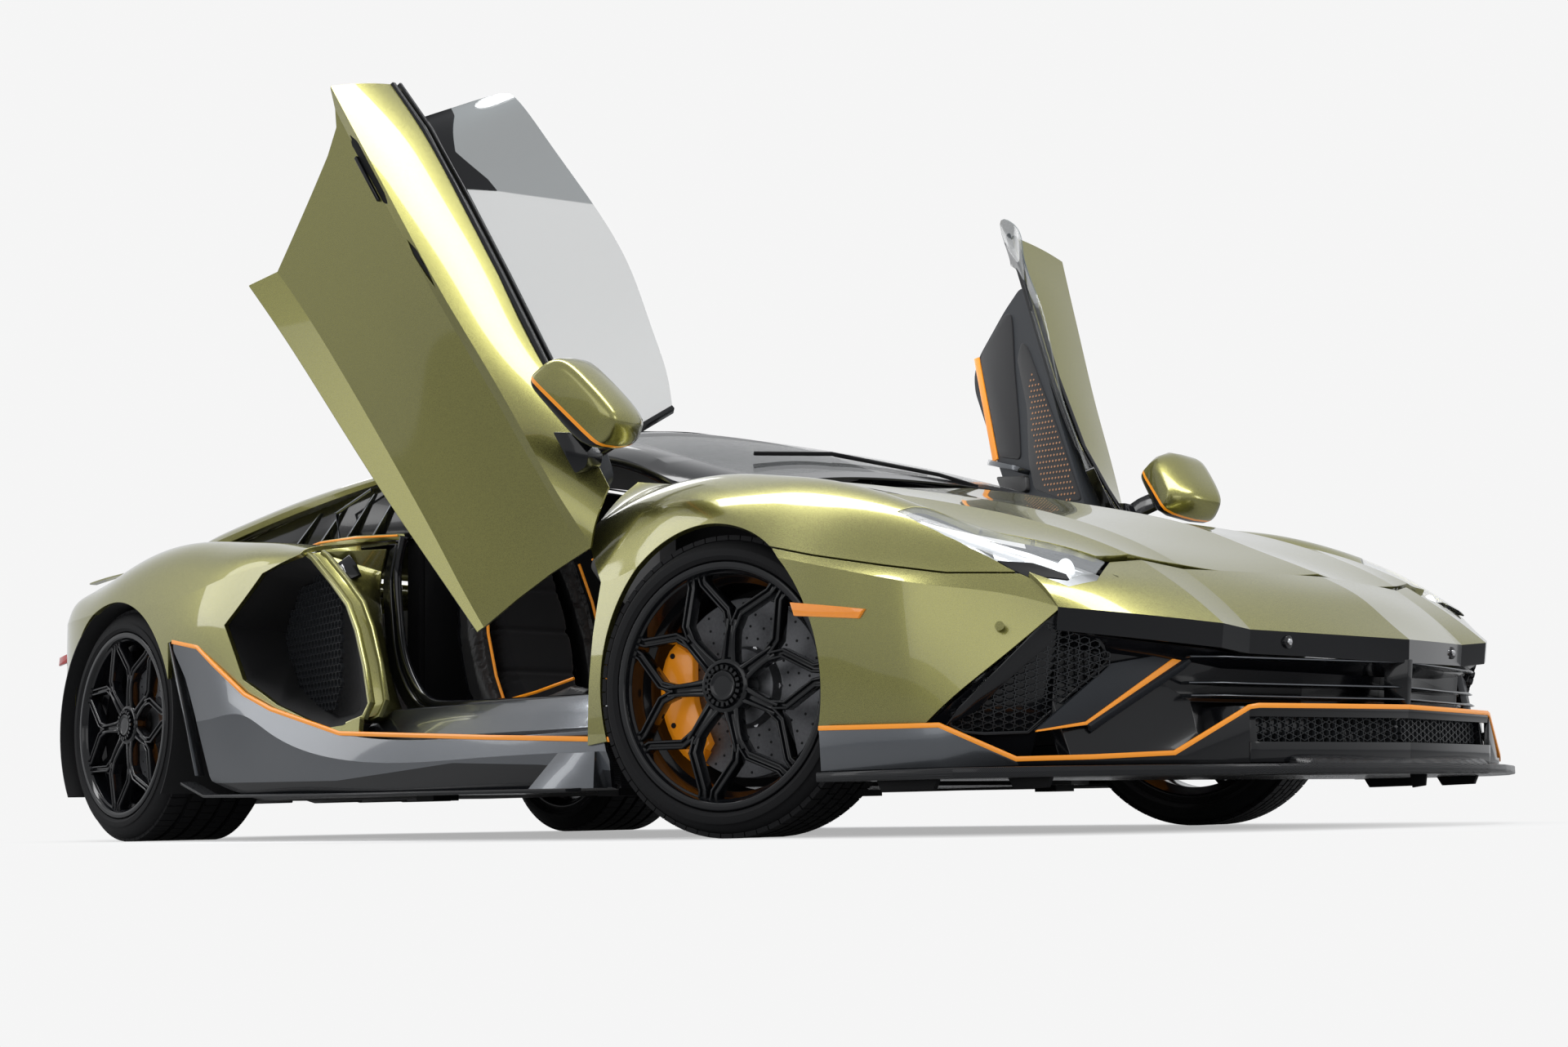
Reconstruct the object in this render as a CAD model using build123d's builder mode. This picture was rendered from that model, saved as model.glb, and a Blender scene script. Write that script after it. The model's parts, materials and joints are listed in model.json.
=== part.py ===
from build123d import *
import math
import os

os.makedirs("parts", exist_ok=True)

# Frame: +X forward, +Y to the car's left, +Z up.
# The origin is on the ground under the middle of the car. All sizes are in millimetres.
# Stations along the car are measured from a datum that lies DATUM behind the middle,
# and save() moves every finished piece from that datum to the origin.
LENGTH = 4868
WIDTH = 2098
HEIGHT = 1136
DATUM = -57
NOSE = LENGTH / 2 - DATUM
TAIL = -LENGTH / 2 - DATUM
WHEELBASE = 2700
FRONT_AXLE = 1334
REAR_AXLE = FRONT_AXLE - WHEELBASE
HALF_WIDTH = WIDTH / 2

WALL = 22
PANEL_GAP = 5
REACH = 1400

# Steering: the front wheels stand turned to the car's left, about upright kingpins.
STEER_REST = 15.5
KINGPIN_Y = 790

# Doors: a slanted hinge in the front fender swings each door up and forward.
DOOR_OPEN = 58
DOOR_HINGE = (1074, -899, 681)
DOOR_AXIS = (-0.019, 0.937, 0.348)

# Wheels: x, half track, tyre radius, tyre width, rim flange radius, disc radius, disc face.
FRONT_WHEEL = dict(x=FRONT_AXLE, y=860, radius=330.5, width=255, flange=272, disc=200)
REAR_WHEEL = dict(x=REAR_AXLE, y=840, radius=355.5, width=355, flange=285, disc=190)
SPOKES = 7
SPOKE_START = 80
HUB_RADIUS = 62
DISC_INSET = 118
DISC_THICKNESS = 34
BRAKE_GAP = 5.5
FRONT_ARCH = (1364, 330, 356)
REAR_ARCH = (REAR_AXLE, 355.5, 376)


def save(shape, node):
    """Move one finished piece from the datum to the origin and write it under its node name."""
    placed = shape.moved(Location((DATUM, 0, 0)))
    placed.label = node
    export_step(placed, f"parts/{node}.step")


def save_pair(shape, stem):
    """Write a right-hand piece and its mirror image."""
    save(shape, f"{stem}_right")
    save(shape.mirror(Plane.XZ), f"{stem}_left")


def wall_outline(outer, wall):
    """Close an open row of points into a wall that lies on the row's left, with mitred corners."""
    normals = []
    for (a0, b0), (a1, b1) in zip(outer, outer[1:]):
        run = math.hypot(a1 - a0, b1 - b0)
        normals.append(((b0 - b1) / run, (a1 - a0) / run))
    inner = []
    for (a, b), before, after in zip(outer, [normals[0]] + normals, normals + [normals[-1]]):
        mitre = wall / (1 + before[0] * after[0] + before[1] * after[1])
        inner.append((a + (before[0] + after[0]) * mitre, b + (before[1] + after[1]) * mitre))
    return outer + inner[::-1]


def loft_solid(sections, plane=Plane.YZ):
    """Ruled solid through closed outlines: sections are (station, outline) along the plane's normal."""
    with BuildPart() as piece:
        for station, outline in sections:
            with BuildSketch(plane.offset(station)):
                with BuildLine():
                    Polyline(*outline, close=True)
                make_face()
        loft(ruled=True)
    return piece.part


def skin(sections, wall=WALL):
    """Right-hand body panel through rows of (half width, z) points, centre side first."""
    rows = []
    for x, row in sections:
        rows.append((x, wall_outline([(-y, z) for y, z in row], wall)))
    return loft_solid(rows)


def cover(sections, wall=WALL):
    """Full-width panel from rows of half widths that start on the centre line."""
    rows = []
    for x, row in sections:
        left = [(y, z) for y, z in row[::-1]]
        right = [(-y, z) for y, z in row[1:]]
        rows.append((x, wall_outline(left + right, wall)))
    return loft_solid(rows)


def side_prism(outline, y_from, y_to):
    """Prism across the car between two y planes, from an (x, z) outline."""
    with BuildPart() as piece:
        with BuildSketch(Plane.XZ.offset(-max(y_from, y_to))):
            with BuildLine():
                Polyline(*outline, close=True)
            make_face()
        extrude(amount=abs(y_to - y_from))
    return piece.part


def plan_prism(outline, z_from, z_to):
    """Upright prism from an (x, y) outline."""
    with BuildPart() as piece:
        with BuildSketch(Plane.XY.offset(z_from)):
            with BuildLine():
                Polyline(*outline, close=True)
            make_face()
        extrude(amount=z_to - z_from)
    return piece.part


def cylinder_y(x, z, radius, y_from, y_to):
    """Round bar across the car."""
    with BuildPart() as piece:
        with BuildSketch(Plane.XZ.offset(-max(y_from, y_to))):
            with Locations((x, z)):
                Circle(radius)
        extrude(amount=abs(y_to - y_from))
    return piece.part


def cylinder_x(centre, radius, x_from, x_to):
    """Round bar along the car, about a (y, z) centre."""
    with BuildPart() as piece:
        with BuildSketch(Plane.YZ.offset(x_from)):
            with Locations(centre):
                Circle(radius)
        extrude(amount=x_to - x_from)
    return piece.part


def joined(*shapes):
    """Union of touching shapes as one piece."""
    with BuildPart() as piece:
        for shape in shapes:
            add(shape)
    return piece.part


def cut(shape, *tools):
    """A piece with tools taken away."""
    with BuildPart() as piece:
        add(shape)
        for tool in tools:
            add(tool, mode=Mode.SUBTRACT)
    return piece.part


def kept(shape, *tools):
    """The part of a piece that lies inside every tool."""
    with BuildPart() as piece:
        add(shape)
        for tool in tools:
            add(tool, mode=Mode.INTERSECT)
    return piece.part


def both_sides(shape):
    """A right-hand shape and its mirror image in one node."""
    with BuildPart() as piece:
        add(shape)
        add(shape.mirror(Plane.XZ))
    return piece.part


def mirrored_plan(half):
    """Close a row of (x, half width) points into an (x, y) outline that is alike on both sides."""
    return [(x, -y) for x, y in half] + [(x, y) for x, y in half[::-1] if y > 0]


def block(x_from, x_to, y_from, y_to, z_from, z_to):
    """Plain block between two corners."""
    return plan_prism([(x_from, y_from), (x_to, y_from), (x_to, y_to), (x_from, y_to)], z_from, z_to)


# ---------------------------------------------------------------- wheels
# Each wheel is revolved about the X = 0, Z = 0 line of its own plane and then set on its axle.

def tyre(size):
    """Low-profile tyre with a hollow bead seat that the rim fills."""
    half = size["width"] / 2
    outer = size["radius"]
    bead = size["flange"] - 12
    with BuildPart() as piece:
        with BuildSketch(Plane.XY):
            with BuildLine():
                Polyline(
                    (bead, half - 15), (size["flange"] + 1, half - 15), (size["flange"] + 4, half - 1),
                    (outer - 26, half), (outer - 6, half - 14), (outer, half - 36),
                    (outer, 36 - half), (outer - 6, 14 - half), (outer - 26, -half),
                    (size["flange"] + 4, 1 - half), (size["flange"] + 1, 15 - half), (bead, 15 - half),
                    close=True)
            make_face()
        revolve(axis=Axis.Y)
    return piece.part


def forked_spoke(fork, reach, spread):
    """Flat outline of one spoke that splits in two at the fork radius."""
    near = (reach * math.cos(spread - 0.07), reach * math.sin(spread - 0.07))
    far = (reach * math.cos(spread), reach * math.sin(spread))
    with BuildSketch() as spoke:
        with BuildLine():
            Polyline((HUB_RADIUS - 6, -17), (fork, -13), (far[0], -far[1]), (near[0], -near[1]),
                     (fork + 26, 0), near, far, (fork, 13), (HUB_RADIUS - 6, 17), close=True)
        make_face()
    return spoke.sketch


def rim(size, start_angle):
    """Barrel, hub and seven forked spokes; the outer face is on the -Y side."""
    half = size["width"] / 2
    seat = size["flange"] - 12.5
    face = -half + 18
    with BuildPart() as piece:
        with BuildSketch(Plane.XY):
            with BuildLine():
                Polyline(
                    (seat, half - 15), (seat, 14.5 - half), (size["flange"], 14 - half),
                    (size["flange"], 3 - half), (seat - 12, 3 - half), (seat - 16, 60 - half),
                    (seat - 34, 70 - half), (seat - 34, half - 50), (seat - 14, half - 30),
                    (seat - 14, half - 15), close=True)
            make_face()
        revolve(axis=Axis.Y)
        with BuildSketch(Plane.XY):
            with BuildLine():
                Polyline((0, face + 62), (0, face - 4), (30, face - 4), (36, face + 6),
                         (HUB_RADIUS, face + 10), (HUB_RADIUS, face + 62), close=True)
            make_face()
        revolve(axis=Axis.Y)
        reach = seat - 8
        fork = reach * 0.58
        spread = math.radians(180 / SPOKES - 3)
        with BuildSketch(Plane.XZ.offset(-face - 14)):
            with PolarLocations(0, SPOKES, start_angle=start_angle):
                add(forked_spoke(fork, reach, spread))
        extrude(amount=14)
    return piece.part


def brake_disc(size):
    """Vented disc with its hat, inboard of the spokes."""
    half = size["width"] / 2
    near = -half + DISC_INSET
    with BuildPart() as piece:
        with BuildSketch(Plane.XY):
            with BuildLine():
                Polyline((0, near - 32), (84, near - 32), (92, near), (size["disc"], near),
                         (size["disc"], near + DISC_THICKNESS), (80, near + DISC_THICKNESS), (80, near - 22),
                         (0, near - 22), close=True)
            make_face()
        revolve(axis=Axis.Y)
    return piece.part


def caliper(size, middle_angle):
    """Brake caliper astride the disc, centred on an angle in the wheel's side view."""
    half = size["width"] / 2
    near = -half + DISC_INSET
    outer = size["flange"] - 52
    inner = size["disc"] - 76
    with BuildPart() as piece:
        with BuildSketch(Plane.XZ.offset(-(near - 34))):
            Circle(outer)
            Circle(inner, mode=Mode.SUBTRACT)
            with BuildLine():
                Polyline((0, 0), (400, 230), (400, 400), (-400, 400), (-400, -400), (400, -400), (400, -230),
                         close=True)
            make_face(mode=Mode.SUBTRACT)
        extrude(amount=-104)
        with BuildSketch(Plane.XZ.offset(-(near - BRAKE_GAP))):
            Circle(size["disc"] + BRAKE_GAP)
        extrude(amount=-(DISC_THICKNESS + 2 * BRAKE_GAP), mode=Mode.SUBTRACT)
    return piece.part.rotate(Axis.Y, -middle_angle)


def wheel_place(size, side, steer):
    """Location of a wheel's middle: side -1 right, +1 left; the outer face always looks outward."""
    if not steer:
        return Location((size["x"], side * size["y"], size["radius"]), (0, 0, 0 if side < 0 else 180))
    offset = size["y"] - KINGPIN_Y
    turn = math.radians(steer)
    centre = (size["x"] - side * offset * math.sin(turn), side * (KINGPIN_Y + offset * math.cos(turn)),
              size["radius"])
    return Location(centre, (0, 0, steer if side < 0 else steer + 180))


def knuckle(size, ahead):
    """Upright that carries a front hub and caliper; its steering arm points ahead (1) or back (-1)."""
    half = size["width"] / 2
    near = -half + DISC_INSET
    with BuildPart() as piece:
        with BuildSketch(Plane.XZ.offset(-(near + 44))):
            Circle(74)
        extrude(amount=-70)
        with BuildSketch(Plane.XZ.offset(-(near + 66))):
            Rectangle(64, 330)
        extrude(amount=-34)
        with BuildSketch(Plane.XZ.offset(-(near + 44))):
            with Locations((ahead * 110, 0)):
                Rectangle(150, 60)
        extrude(amount=-24)
    return piece.part


for side_name, side in (("right", -1), ("left", 1)):
    # The caliper sits behind the axle in front and ahead of it at the back.
    for axle, size, steer, caliper_angle in (
            ("front", FRONT_WHEEL, STEER_REST, 180), ("rear", REAR_WHEEL, 0, 0)):
        place = wheel_place(size, side, steer)
        angle = caliper_angle if side < 0 else 180 - caliper_angle
        save(tyre(size).moved(place), f"tyre_{axle}_{side_name}")
        save(rim(size, SPOKE_START).moved(place), f"rim_{axle}_{side_name}")
        save(brake_disc(size).moved(place), f"brake_disc_{axle}_{side_name}")
        if steer:
            save(caliper(size, angle).moved(place), f"caliper_front_{side_name}")
            save(knuckle(size, -side).moved(place), f"knuckle_{side_name}")
rear_caliper = caliper(REAR_WHEEL, 0).moved(wheel_place(REAR_WHEEL, -1, 0))
save(both_sides(rear_caliper), "calipers_rear")


# ---------------------------------------------------------------- front of the body
# Body tables hold one row for each station x: points (half width, z) from the middle outward.

HOOD_ROWS = [  # ridge, inner crease, outer crease, side gap
    (2284, [(0, 547), (405, 501), (520, 496), (600, 478)]),
    (2205, [(0, 582), (412, 554), (526, 550), (588, 539)]),
    (2100, [(0, 627), (418, 612), (545, 604), (635, 589)]),
    (1955, [(0, 690), (426, 672), (575, 660), (698, 633)]),
    (1800, [(0, 738), (440, 722), (610, 706), (735, 677)]),
    (1600, [(0, 788), (468, 770), (640, 755), (736, 731)]),
    (1400, [(0, 836), (505, 812), (660, 797), (728, 773)]),
    (1250, [(0, 866), (540, 838), (670, 822), (706, 803)]),
]
FRONT_SIDE_ROWS = [  # side gap, crest, upper flank, shoulder, crease, pinstripe, bottom
    (905, [(805, 850), (865, 800), (925, 742), (972, 690), (1000, 600), (1003, 240), (1003, 150)]),
    (1060, [(743, 830), (825, 826), (930, 775), (985, 690), (1006, 590), (1008, 238), (1005, 150)]),
    (1186, [(732, 812), (815, 828), (910, 795), (978, 725), (1008, 620), (1008, 235), (1006, 150)]),
    (1300, [(738, 795), (815, 820), (912, 790), (982, 715), (1009, 615), (1009, 232), (1006, 150)]),
    (1436, [(748, 766), (815, 800), (912, 768), (984, 695), (1009, 610), (1009, 230), (1006, 150)]),
    (1567, [(754, 738), (818, 776), (908, 738), (982, 612), (1005, 592), (1000, 229), (998, 150)]),
    (1718, [(754, 700), (818, 735), (905, 690), (978, 582), (999, 560), (985, 226), (985, 150)]),
    (1860, [(740, 660), (822, 682), (898, 632), (945, 552), (968, 528), (965, 225), (965, 150)]),
    (1994, [(702, 620), (800, 622), (868, 575), (902, 527), (930, 498), (935, 222), (935, 150)]),
    (2090, [(656, 594), (760, 575), (797, 545), (818, 527), (850, 482), (875, 215), (880, 150)]),
    (2196, [(606, 540), (705, 520), (750, 500), (770, 485), (800, 446), (822, 215), (830, 150)]),
]
FRONT_SIDE = skin(FRONT_SIDE_ROWS)
HOOD_FRONT = [(2274, 0), (2205, 412), (2170, 528), (2158, 590)]
HEADLIGHT_PLAN = [(2160, -585), (2192, -690), (2119, -786), (2045, -818), (1802, -832), (1900, -738)]
DOOR_FRONT = [(880, 100), (955, 100), (955, 228), (966, 353), (982, 464), (1014, 586), (960, 676), (912, 738),
              (912, 756), (880, 756)]
BUMPER_GAP = [(1556, 618), (1699, 584), (1994, 527), (2119, 524), (2135, 600), (2230, 600), (2230, 100),
              (1556, 100)]
INTAKE_CORNER = [(2250, 490), (2202, 445), (1960, 220), (1900, 100), (2250, 100)]


def shifted(outline, dx, dy):
    """An outline moved in its own plane."""
    return [(a + dx, b + dy) for a, b in outline]


def grown(outline, amount):
    """An outline pushed out from its middle by an amount."""
    middle_a = sum(a for a, b in outline) / len(outline)
    middle_b = sum(b for a, b in outline) / len(outline)
    points = []
    for a, b in outline:
        reach = math.hypot(a - middle_a, b - middle_b)
        points.append((a + (a - middle_a) / reach * amount, b + (b - middle_b) / reach * amount))
    return points


HEADLIGHT_PRISM = plan_prism(HEADLIGHT_PLAN, 420, 760)
HEADLIGHT_HOLE = plan_prism(grown(HEADLIGHT_PLAN, PANEL_GAP), 400, 780)
FRONT_WELL = cylinder_y(FRONT_ARCH[0], FRONT_ARCH[1], FRONT_ARCH[2], -REACH, -600)
DOOR_NOTCH = side_prism(DOOR_FRONT, -REACH, -700)
BUMPER_ZONE = side_prism(BUMPER_GAP, -REACH, -560)
BUMPER_HOLE = side_prism(shifted(BUMPER_GAP, -PANEL_GAP, PANEL_GAP), -REACH, -560)

PINSTRIPE = [(1031, 226), (550, 248), (-125, 283), (-467, 363), (-604, 411), (-846, 559), (-985, 582)]
BELOW_PINSTRIPE = [(1200, 222)] + [(x, z + 4) for x, z in PINSTRIPE[1:]] + [(-985, 100), (1200, 100)]
SKIRT_HOLE = side_prism(BELOW_PINSTRIPE, -REACH, -700)
fender = cut(FRONT_SIDE, HEADLIGHT_HOLE, FRONT_WELL, DOOR_NOTCH, BUMPER_HOLE, SKIRT_HOLE)
save(both_sides(fender), "front_fenders")
save(both_sides(kept(FRONT_SIDE, HEADLIGHT_PRISM)), "headlights")

hood_plan = mirrored_plan([(1200, 760), (2158, 760)] + HOOD_FRONT[::-1])
hood_hole_plan = mirrored_plan([(1200, 600)] + shifted(HOOD_FRONT[::-1], PANEL_GAP + 1, 5))
save(kept(cover(HOOD_ROWS, 16), plan_prism(hood_plan, 400, 900)), "hood")

NOSE_SECTIONS = [  # half width: hood gap, upper face, lower face, edge, band bottom, as (x, z)
    (0, [(2268, 551), (2375, 492), (2437, 438), (NOSE - 4, 394), (NOSE - 7, 344)]),
    (408, [(2200, 552), (2275, 496), (2330, 448), (2374, 406), (2367, 358)]),
    (505, [(2168, 567), (2250, 512), (2322, 460), (2379, 414), (2371, 366)]),
    (770, [(2130, 522), (2158, 501), (2192, 469), (2217, 442), (2209, 397)]),
]
nose_half = loft_solid([(half, wall_outline(row, -WALL)) for half, row in NOSE_SECTIONS], Plane.XZ)
bumper_corner = kept(cut(FRONT_SIDE, FRONT_WELL, side_prism(INTAKE_CORNER, -REACH, -560)), BUMPER_ZONE)
bumper_half = cut(joined(nose_half, bumper_corner), HEADLIGHT_HOLE)
save(cut(both_sides(bumper_half), plan_prism(hood_hole_plan, 480, 900)), "front_bumper")

FASCIA_SECTIONS = [  # half width: upper lip, slat face, lower bar, bottom, as (x, z)
    (0, [(2450, 336), (2400, 300), (2472, 252), (2440, 140)]),
    (400, [(2330, 344), (2300, 300), (2350, 254), (2335, 140)]),
    (640, [(2240, 368), (2200, 300), (2240, 200), (2250, 140)]),
    (790, [(2146, 376), (2110, 300), (2130, 200), (2140, 140)]),
]
fascia_half = loft_solid([(half, wall_outline(row, -14)) for half, row in FASCIA_SECTIONS], Plane.XZ)
frame_outline = shifted(INTAKE_CORNER, PANEL_GAP, -PANEL_GAP)
intake_frame = kept(cut(FRONT_SIDE, FRONT_WELL), side_prism(frame_outline, -REACH, -600))
fascia = both_sides(joined(fascia_half, intake_frame))
save(cut(fascia, cylinder_x((-300, 250), 20, 2200, 2500)), "front_grille")

SPLITTER_PLAN = mirrored_plan([(2030, 560), (1790, 860), (1716, 960), (1716, 1008), (2094, 1003), (2210, 880),
                               (2330, 690), (2425, 480), (2470, 330), (NOSE, 0)])
save(plan_prism(SPLITTER_PLAN, 112, 134), "splitter")

# ---------------------------------------------------------------- cabin roof, glass and doors

ROOF_ROWS = [
    (-150, [(0, 1128), (300, 1114), (540, 1076), (640, 1032)]),
    (100, [(0, HEIGHT), (300, 1122), (550, 1083), (648, 1038)]),
    (345, [(0, 1121), (300, 1107), (540, 1068), (630, 1030)]),
]
PILLAR_SECTIONS = [  # inner top, outer top, outer bottom, inner bottom, as (half width, z)
    (340, [(570, 1058), (634, 1026), (624, 1000), (564, 1032)]),
    (690, [(592, 985), (692, 950), (682, 924), (586, 958)]),
    (955, [(627, 905), (737, 855), (727, 829), (621, 878)]),
    (1150, [(648, 838), (720, 800), (712, 774), (642, 810)]),
]
WINDSCREEN_ROWS = [
    (352, [(0, 1118), (300, 1104), (556, 1060)]),
    (682, [(0, 1042), (300, 1030), (578, 986)]),
    (993, [(0, 957), (330, 943), (625, 894)]),
    (1236, [(0, 873), (400, 859), (652, 826)]),
]
pillar = loft_solid([(x, [(-y, z) for y, z in row]) for x, row in PILLAR_SECTIONS])
REAR_POST = [(-330, 852), (-272, 852), (-60, 1022), (-140, 1030)]
rear_post = side_prism(REAR_POST, -650, -628)
save(joined(cover(ROOF_ROWS, 20), both_sides(pillar), both_sides(rear_post)), "roof")
save(cover(WINDSCREEN_ROWS, 6), "windscreen")

DOOR_ROWS = [  # belt, ridge, under the ridge, flank, step, sill flap
    (-335, [(790, 812), (1001, 771), (986, 740), (984, 560), (992, 338), (1015, 262)]),
    (-180, [(790, 805), (1001, 746), (988, 715), (986, 550), (993, 338), (1015, 261)]),
    (0, [(798, 783), (1001, 719), (990, 690), (987, 520), (994, 337), (1015, 259)]),
    (270, [(815, 745), (1001, 677), (991, 650), (988, 500), (995, 316), (1015, 245)]),
    (540, [(848, 712), (1000, 648), (991, 620), (988, 470), (996, 287), (1015, 231)]),
    (700, [(885, 704), (999, 626), (992, 600), (989, 450), (998, 268), (1014, 227)]),
    (830, [(925, 699), (998, 607), (993, 585), (991, 430), (1001, 250), (1012, 224)]),
    (1005, [(965, 690), (988, 590), (991, 560), (994, 420), (1003, 232), (1008, 218)]),
]
DOOR_OUTLINE = [(-339, 860), (-327, 766), (-251, 709), (-219, 642), (-117, 337), (-141, 262), (-141, 200),
                (949, 200), (949, 228), (960, 353), (976, 464), (1002, 586), (939, 664), (889, 723), (869, 860)]
DOOR_TRIM = [(48, 322), (48, 640), (60, 700), (540, 655), (740, 630), (840, 560), (840, 340), (700, 300)]
DOOR_GLASS_ROWS = [
    (-165, [(682, 984), (779, 800)]),
    (38, [(682, 990), (786, 776)]),
    (252, [(682, 981), (803, 742)]),
    (444, [(682, 964), (824, 715)]),
    (610, [(692, 914), (848, 702)]),
    (732, [(705, 870), (872, 698)]),
    (800, [(720, 838), (895, 694)]),
]
hinge_right = Axis(DOOR_HINGE, DOOR_AXIS)


def opened(shape):
    """A right-hand door piece swung from closed to its rest position."""
    return shape.rotate(hinge_right, DOOR_OPEN)


# Near the hinge the door is only a hem deep, so that its front edge passes outside the fender.
DOOR_WALL = 20
DOOR_HEM = 6
HEM_X = 880
door_prism = side_prism(DOOR_OUTLINE, -REACH, -700)
door_main = kept(skin(DOOR_ROWS, DOOR_WALL), door_prism, block(-500, HEM_X, -REACH, -700, 100, 900))
door_front = kept(skin(DOOR_ROWS, DOOR_HEM), door_prism, block(HEM_X - 2, 1100, -REACH, -700, 100, 900))
door_shell = joined(door_main, door_front)
door_trim = side_prism(DOOR_TRIM, -976, -880)
HANDLE_SLOT = [(-205, 722), (-178, 722), (-8, 700), (0, 686), (-24, 688), (-190, 711)]
handle_slot = side_prism(HANDLE_SLOT, -1040, -985)
door_glass = skin(DOOR_GLASS_ROWS, 5)
mirror_arm = plan_prism([(775, -930), (825, -930), (800, -985), (770, -985)], 720, 742)
MIRROR_SECTIONS = [  # distance out from the car's middle: outline as (x, z)
    (955, [(690, 790), (780, 770), (850, 800), (840, 880), (760, 905), (690, 885)]),
    (1055, [(655, 800), (770, 770), (900, 815), (880, 905), (760, 912), (664, 880)]),
    (1130, [(668, 812), (770, 800), (860, 826), (850, 880), (760, 890), (676, 870)]),
]
mirror_head = loft_solid(MIRROR_SECTIONS, Plane.XZ)
mirror_foot = side_prism([(770, 715), (830, 715), (815, 800), (780, 800)], -985, -955)

save_pair(opened(joined(cut(door_shell, handle_slot), door_trim)), "door")
save_pair(opened(door_glass), "door_glass")
save_pair(opened(joined(mirror_head, mirror_foot, mirror_arm)), "mirror")

# ---------------------------------------------------------------- rear of the body

REAR_SIDE_ROWS = [  # deck edge, crest, shoulder, flank, lower flank, bottom
    (20, [(690, 845), (740, 790), (792, 742), (925, 704), (938, 660), (938, 290)]),
    (-120, [(690, 848), (742, 795), (794, 758), (930, 724), (942, 680), (944, 290)]),
    (-335, [(685, 852), (745, 815), (798, 776), (938, 744), (955, 700), (950, 290)]),
    (-350, [(685, 852), (790, 832), (965, 806), (1001, 766), (985, 600), (952, 292)]),
    (-600, [(675, 856), (800, 846), (965, 838), (1015, 790), (1008, 640), (975, 420)]),
    (-800, [(668, 862), (800, 866), (960, 860), (1026, 800), (1034, 690), (1012, 450)]),
    (-1000, [(662, 875), (798, 878), (955, 884), (1031, 815), (1045, 720), (1036, 450)]),
    (-1366, [(655, 900), (790, 902), (950, 868), (1031, 790), (HALF_WIDTH, 715), (1047, 430)]),
    (-1600, [(640, 905), (770, 900), (930, 830), (1010, 770), (1038, 700), (1030, 430)]),
    (-1780, [(620, 905), (750, 895), (900, 810), (975, 770), (998, 700), (990, 430)]),
    (-1990, [(600, 900), (720, 885), (830, 800), (885, 760), (900, 690), (892, 430)]),
    (-2160, [(592, 895), (680, 870), (770, 790), (800, 750), (806, 680), (800, 430)]),
    (-2262, [(584, 888), (648, 862), (716, 795), (742, 752), (748, 682), (741, 430)]),
]
INTAKE_OUTLINE = [(-828, 615), (-583, 761), (-345, 790), (-345, 770), (-130, 497), (-60, 351), (-110, 305),
                  (-265, 295), (-666, 427), (-787, 540)]
BELOW_SKIRT = [(-919, 474), (-865, 353), (-806, 187), (-736, 125), (-150, 117), (1022, 112)]
SKIRT_OUTLINE = [(x, z - 4) for x, z in PINSTRIPE] + BELOW_SKIRT
REAR_SIDE = skin(REAR_SIDE_ROWS)
REAR_WELL = cylinder_y(REAR_ARCH[0], REAR_ARCH[1], REAR_ARCH[2], -REACH, -600)
quarter = cut(REAR_SIDE, REAR_WELL, side_prism(INTAKE_OUTLINE, -REACH, -960), SKIRT_HOLE)
BUTTRESS_SECTIONS = [
    (-200, [(612, 1062), (675, 1030), (665, 1000), (602, 1034)]),
    (-418, [(636, 1052), (705, 1022), (695, 985), (624, 1018)]),
    (-900, [(654, 1030), (725, 985), (715, 945), (642, 990)]),
    (-1353, [(660, 995), (735, 955), (725, 915), (648, 950)]),
    (-1560, [(650, 940), (735, 915), (725, 880), (640, 890)]),
]
buttress = loft_solid([(x, [(-y, z) for y, z in row]) for x, row in BUTTRESS_SECTIONS])
save(both_sides(joined(quarter, buttress)), "rear_quarters")

QUARTER_WINDOW = [(-262, 874), (-960, 902), (-1180, 934), (-420, 972), (-215, 985)]
save(both_sides(side_prism(QUARTER_WINDOW, -678, -672)), "quarter_windows")

side_skirt = side_prism(SKIRT_OUTLINE, -979, -954)
BLADE = [(-902, 161), (-736, 122), (1070, 106), (1070, 118), (-736, 134), (-902, 171)]
skirt_blade = side_prism(BLADE, -1040, -975)
steered_room = cylinder_y(FRONT_ARCH[0], FRONT_ARCH[1], FRONT_ARCH[2] + 18, -REACH, -600)
save(both_sides(cut(joined(side_skirt, skirt_blade), steered_room)), "side_skirts")

intake_mesh = plan_prism([(-300, -900), (-720, -800), (-724, -790), (-304, -890)], 320, 715)
save(both_sides(intake_mesh), "side_intakes")

ENGINE_COVER_ROWS = [
    (-178, [(0, 1116), (300, 1102), (500, 1068), (555, 1044)]),
    (-600, [(0, 1085), (300, 1074), (500, 1050), (585, 1022)]),
    (-1036, [(0, 1035), (300, 1028), (500, 1012), (602, 986)]),
    (-1400, [(0, 985), (300, 980), (520, 968), (602, 950)]),
    (-1780, [(0, 925), (300, 922), (520, 915), (584, 904)]),
]
save(cover(ENGINE_COVER_ROWS, 18), "engine_cover")

WING_PROFILE = [(-1830, 902), (-1870, 914), (-2000, 912), (-2140, 900), (-2140, 894), (-2000, 896),
                (-1870, 892)]
save(side_prism(WING_PROFILE, -560, 560), "rear_wing")

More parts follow.
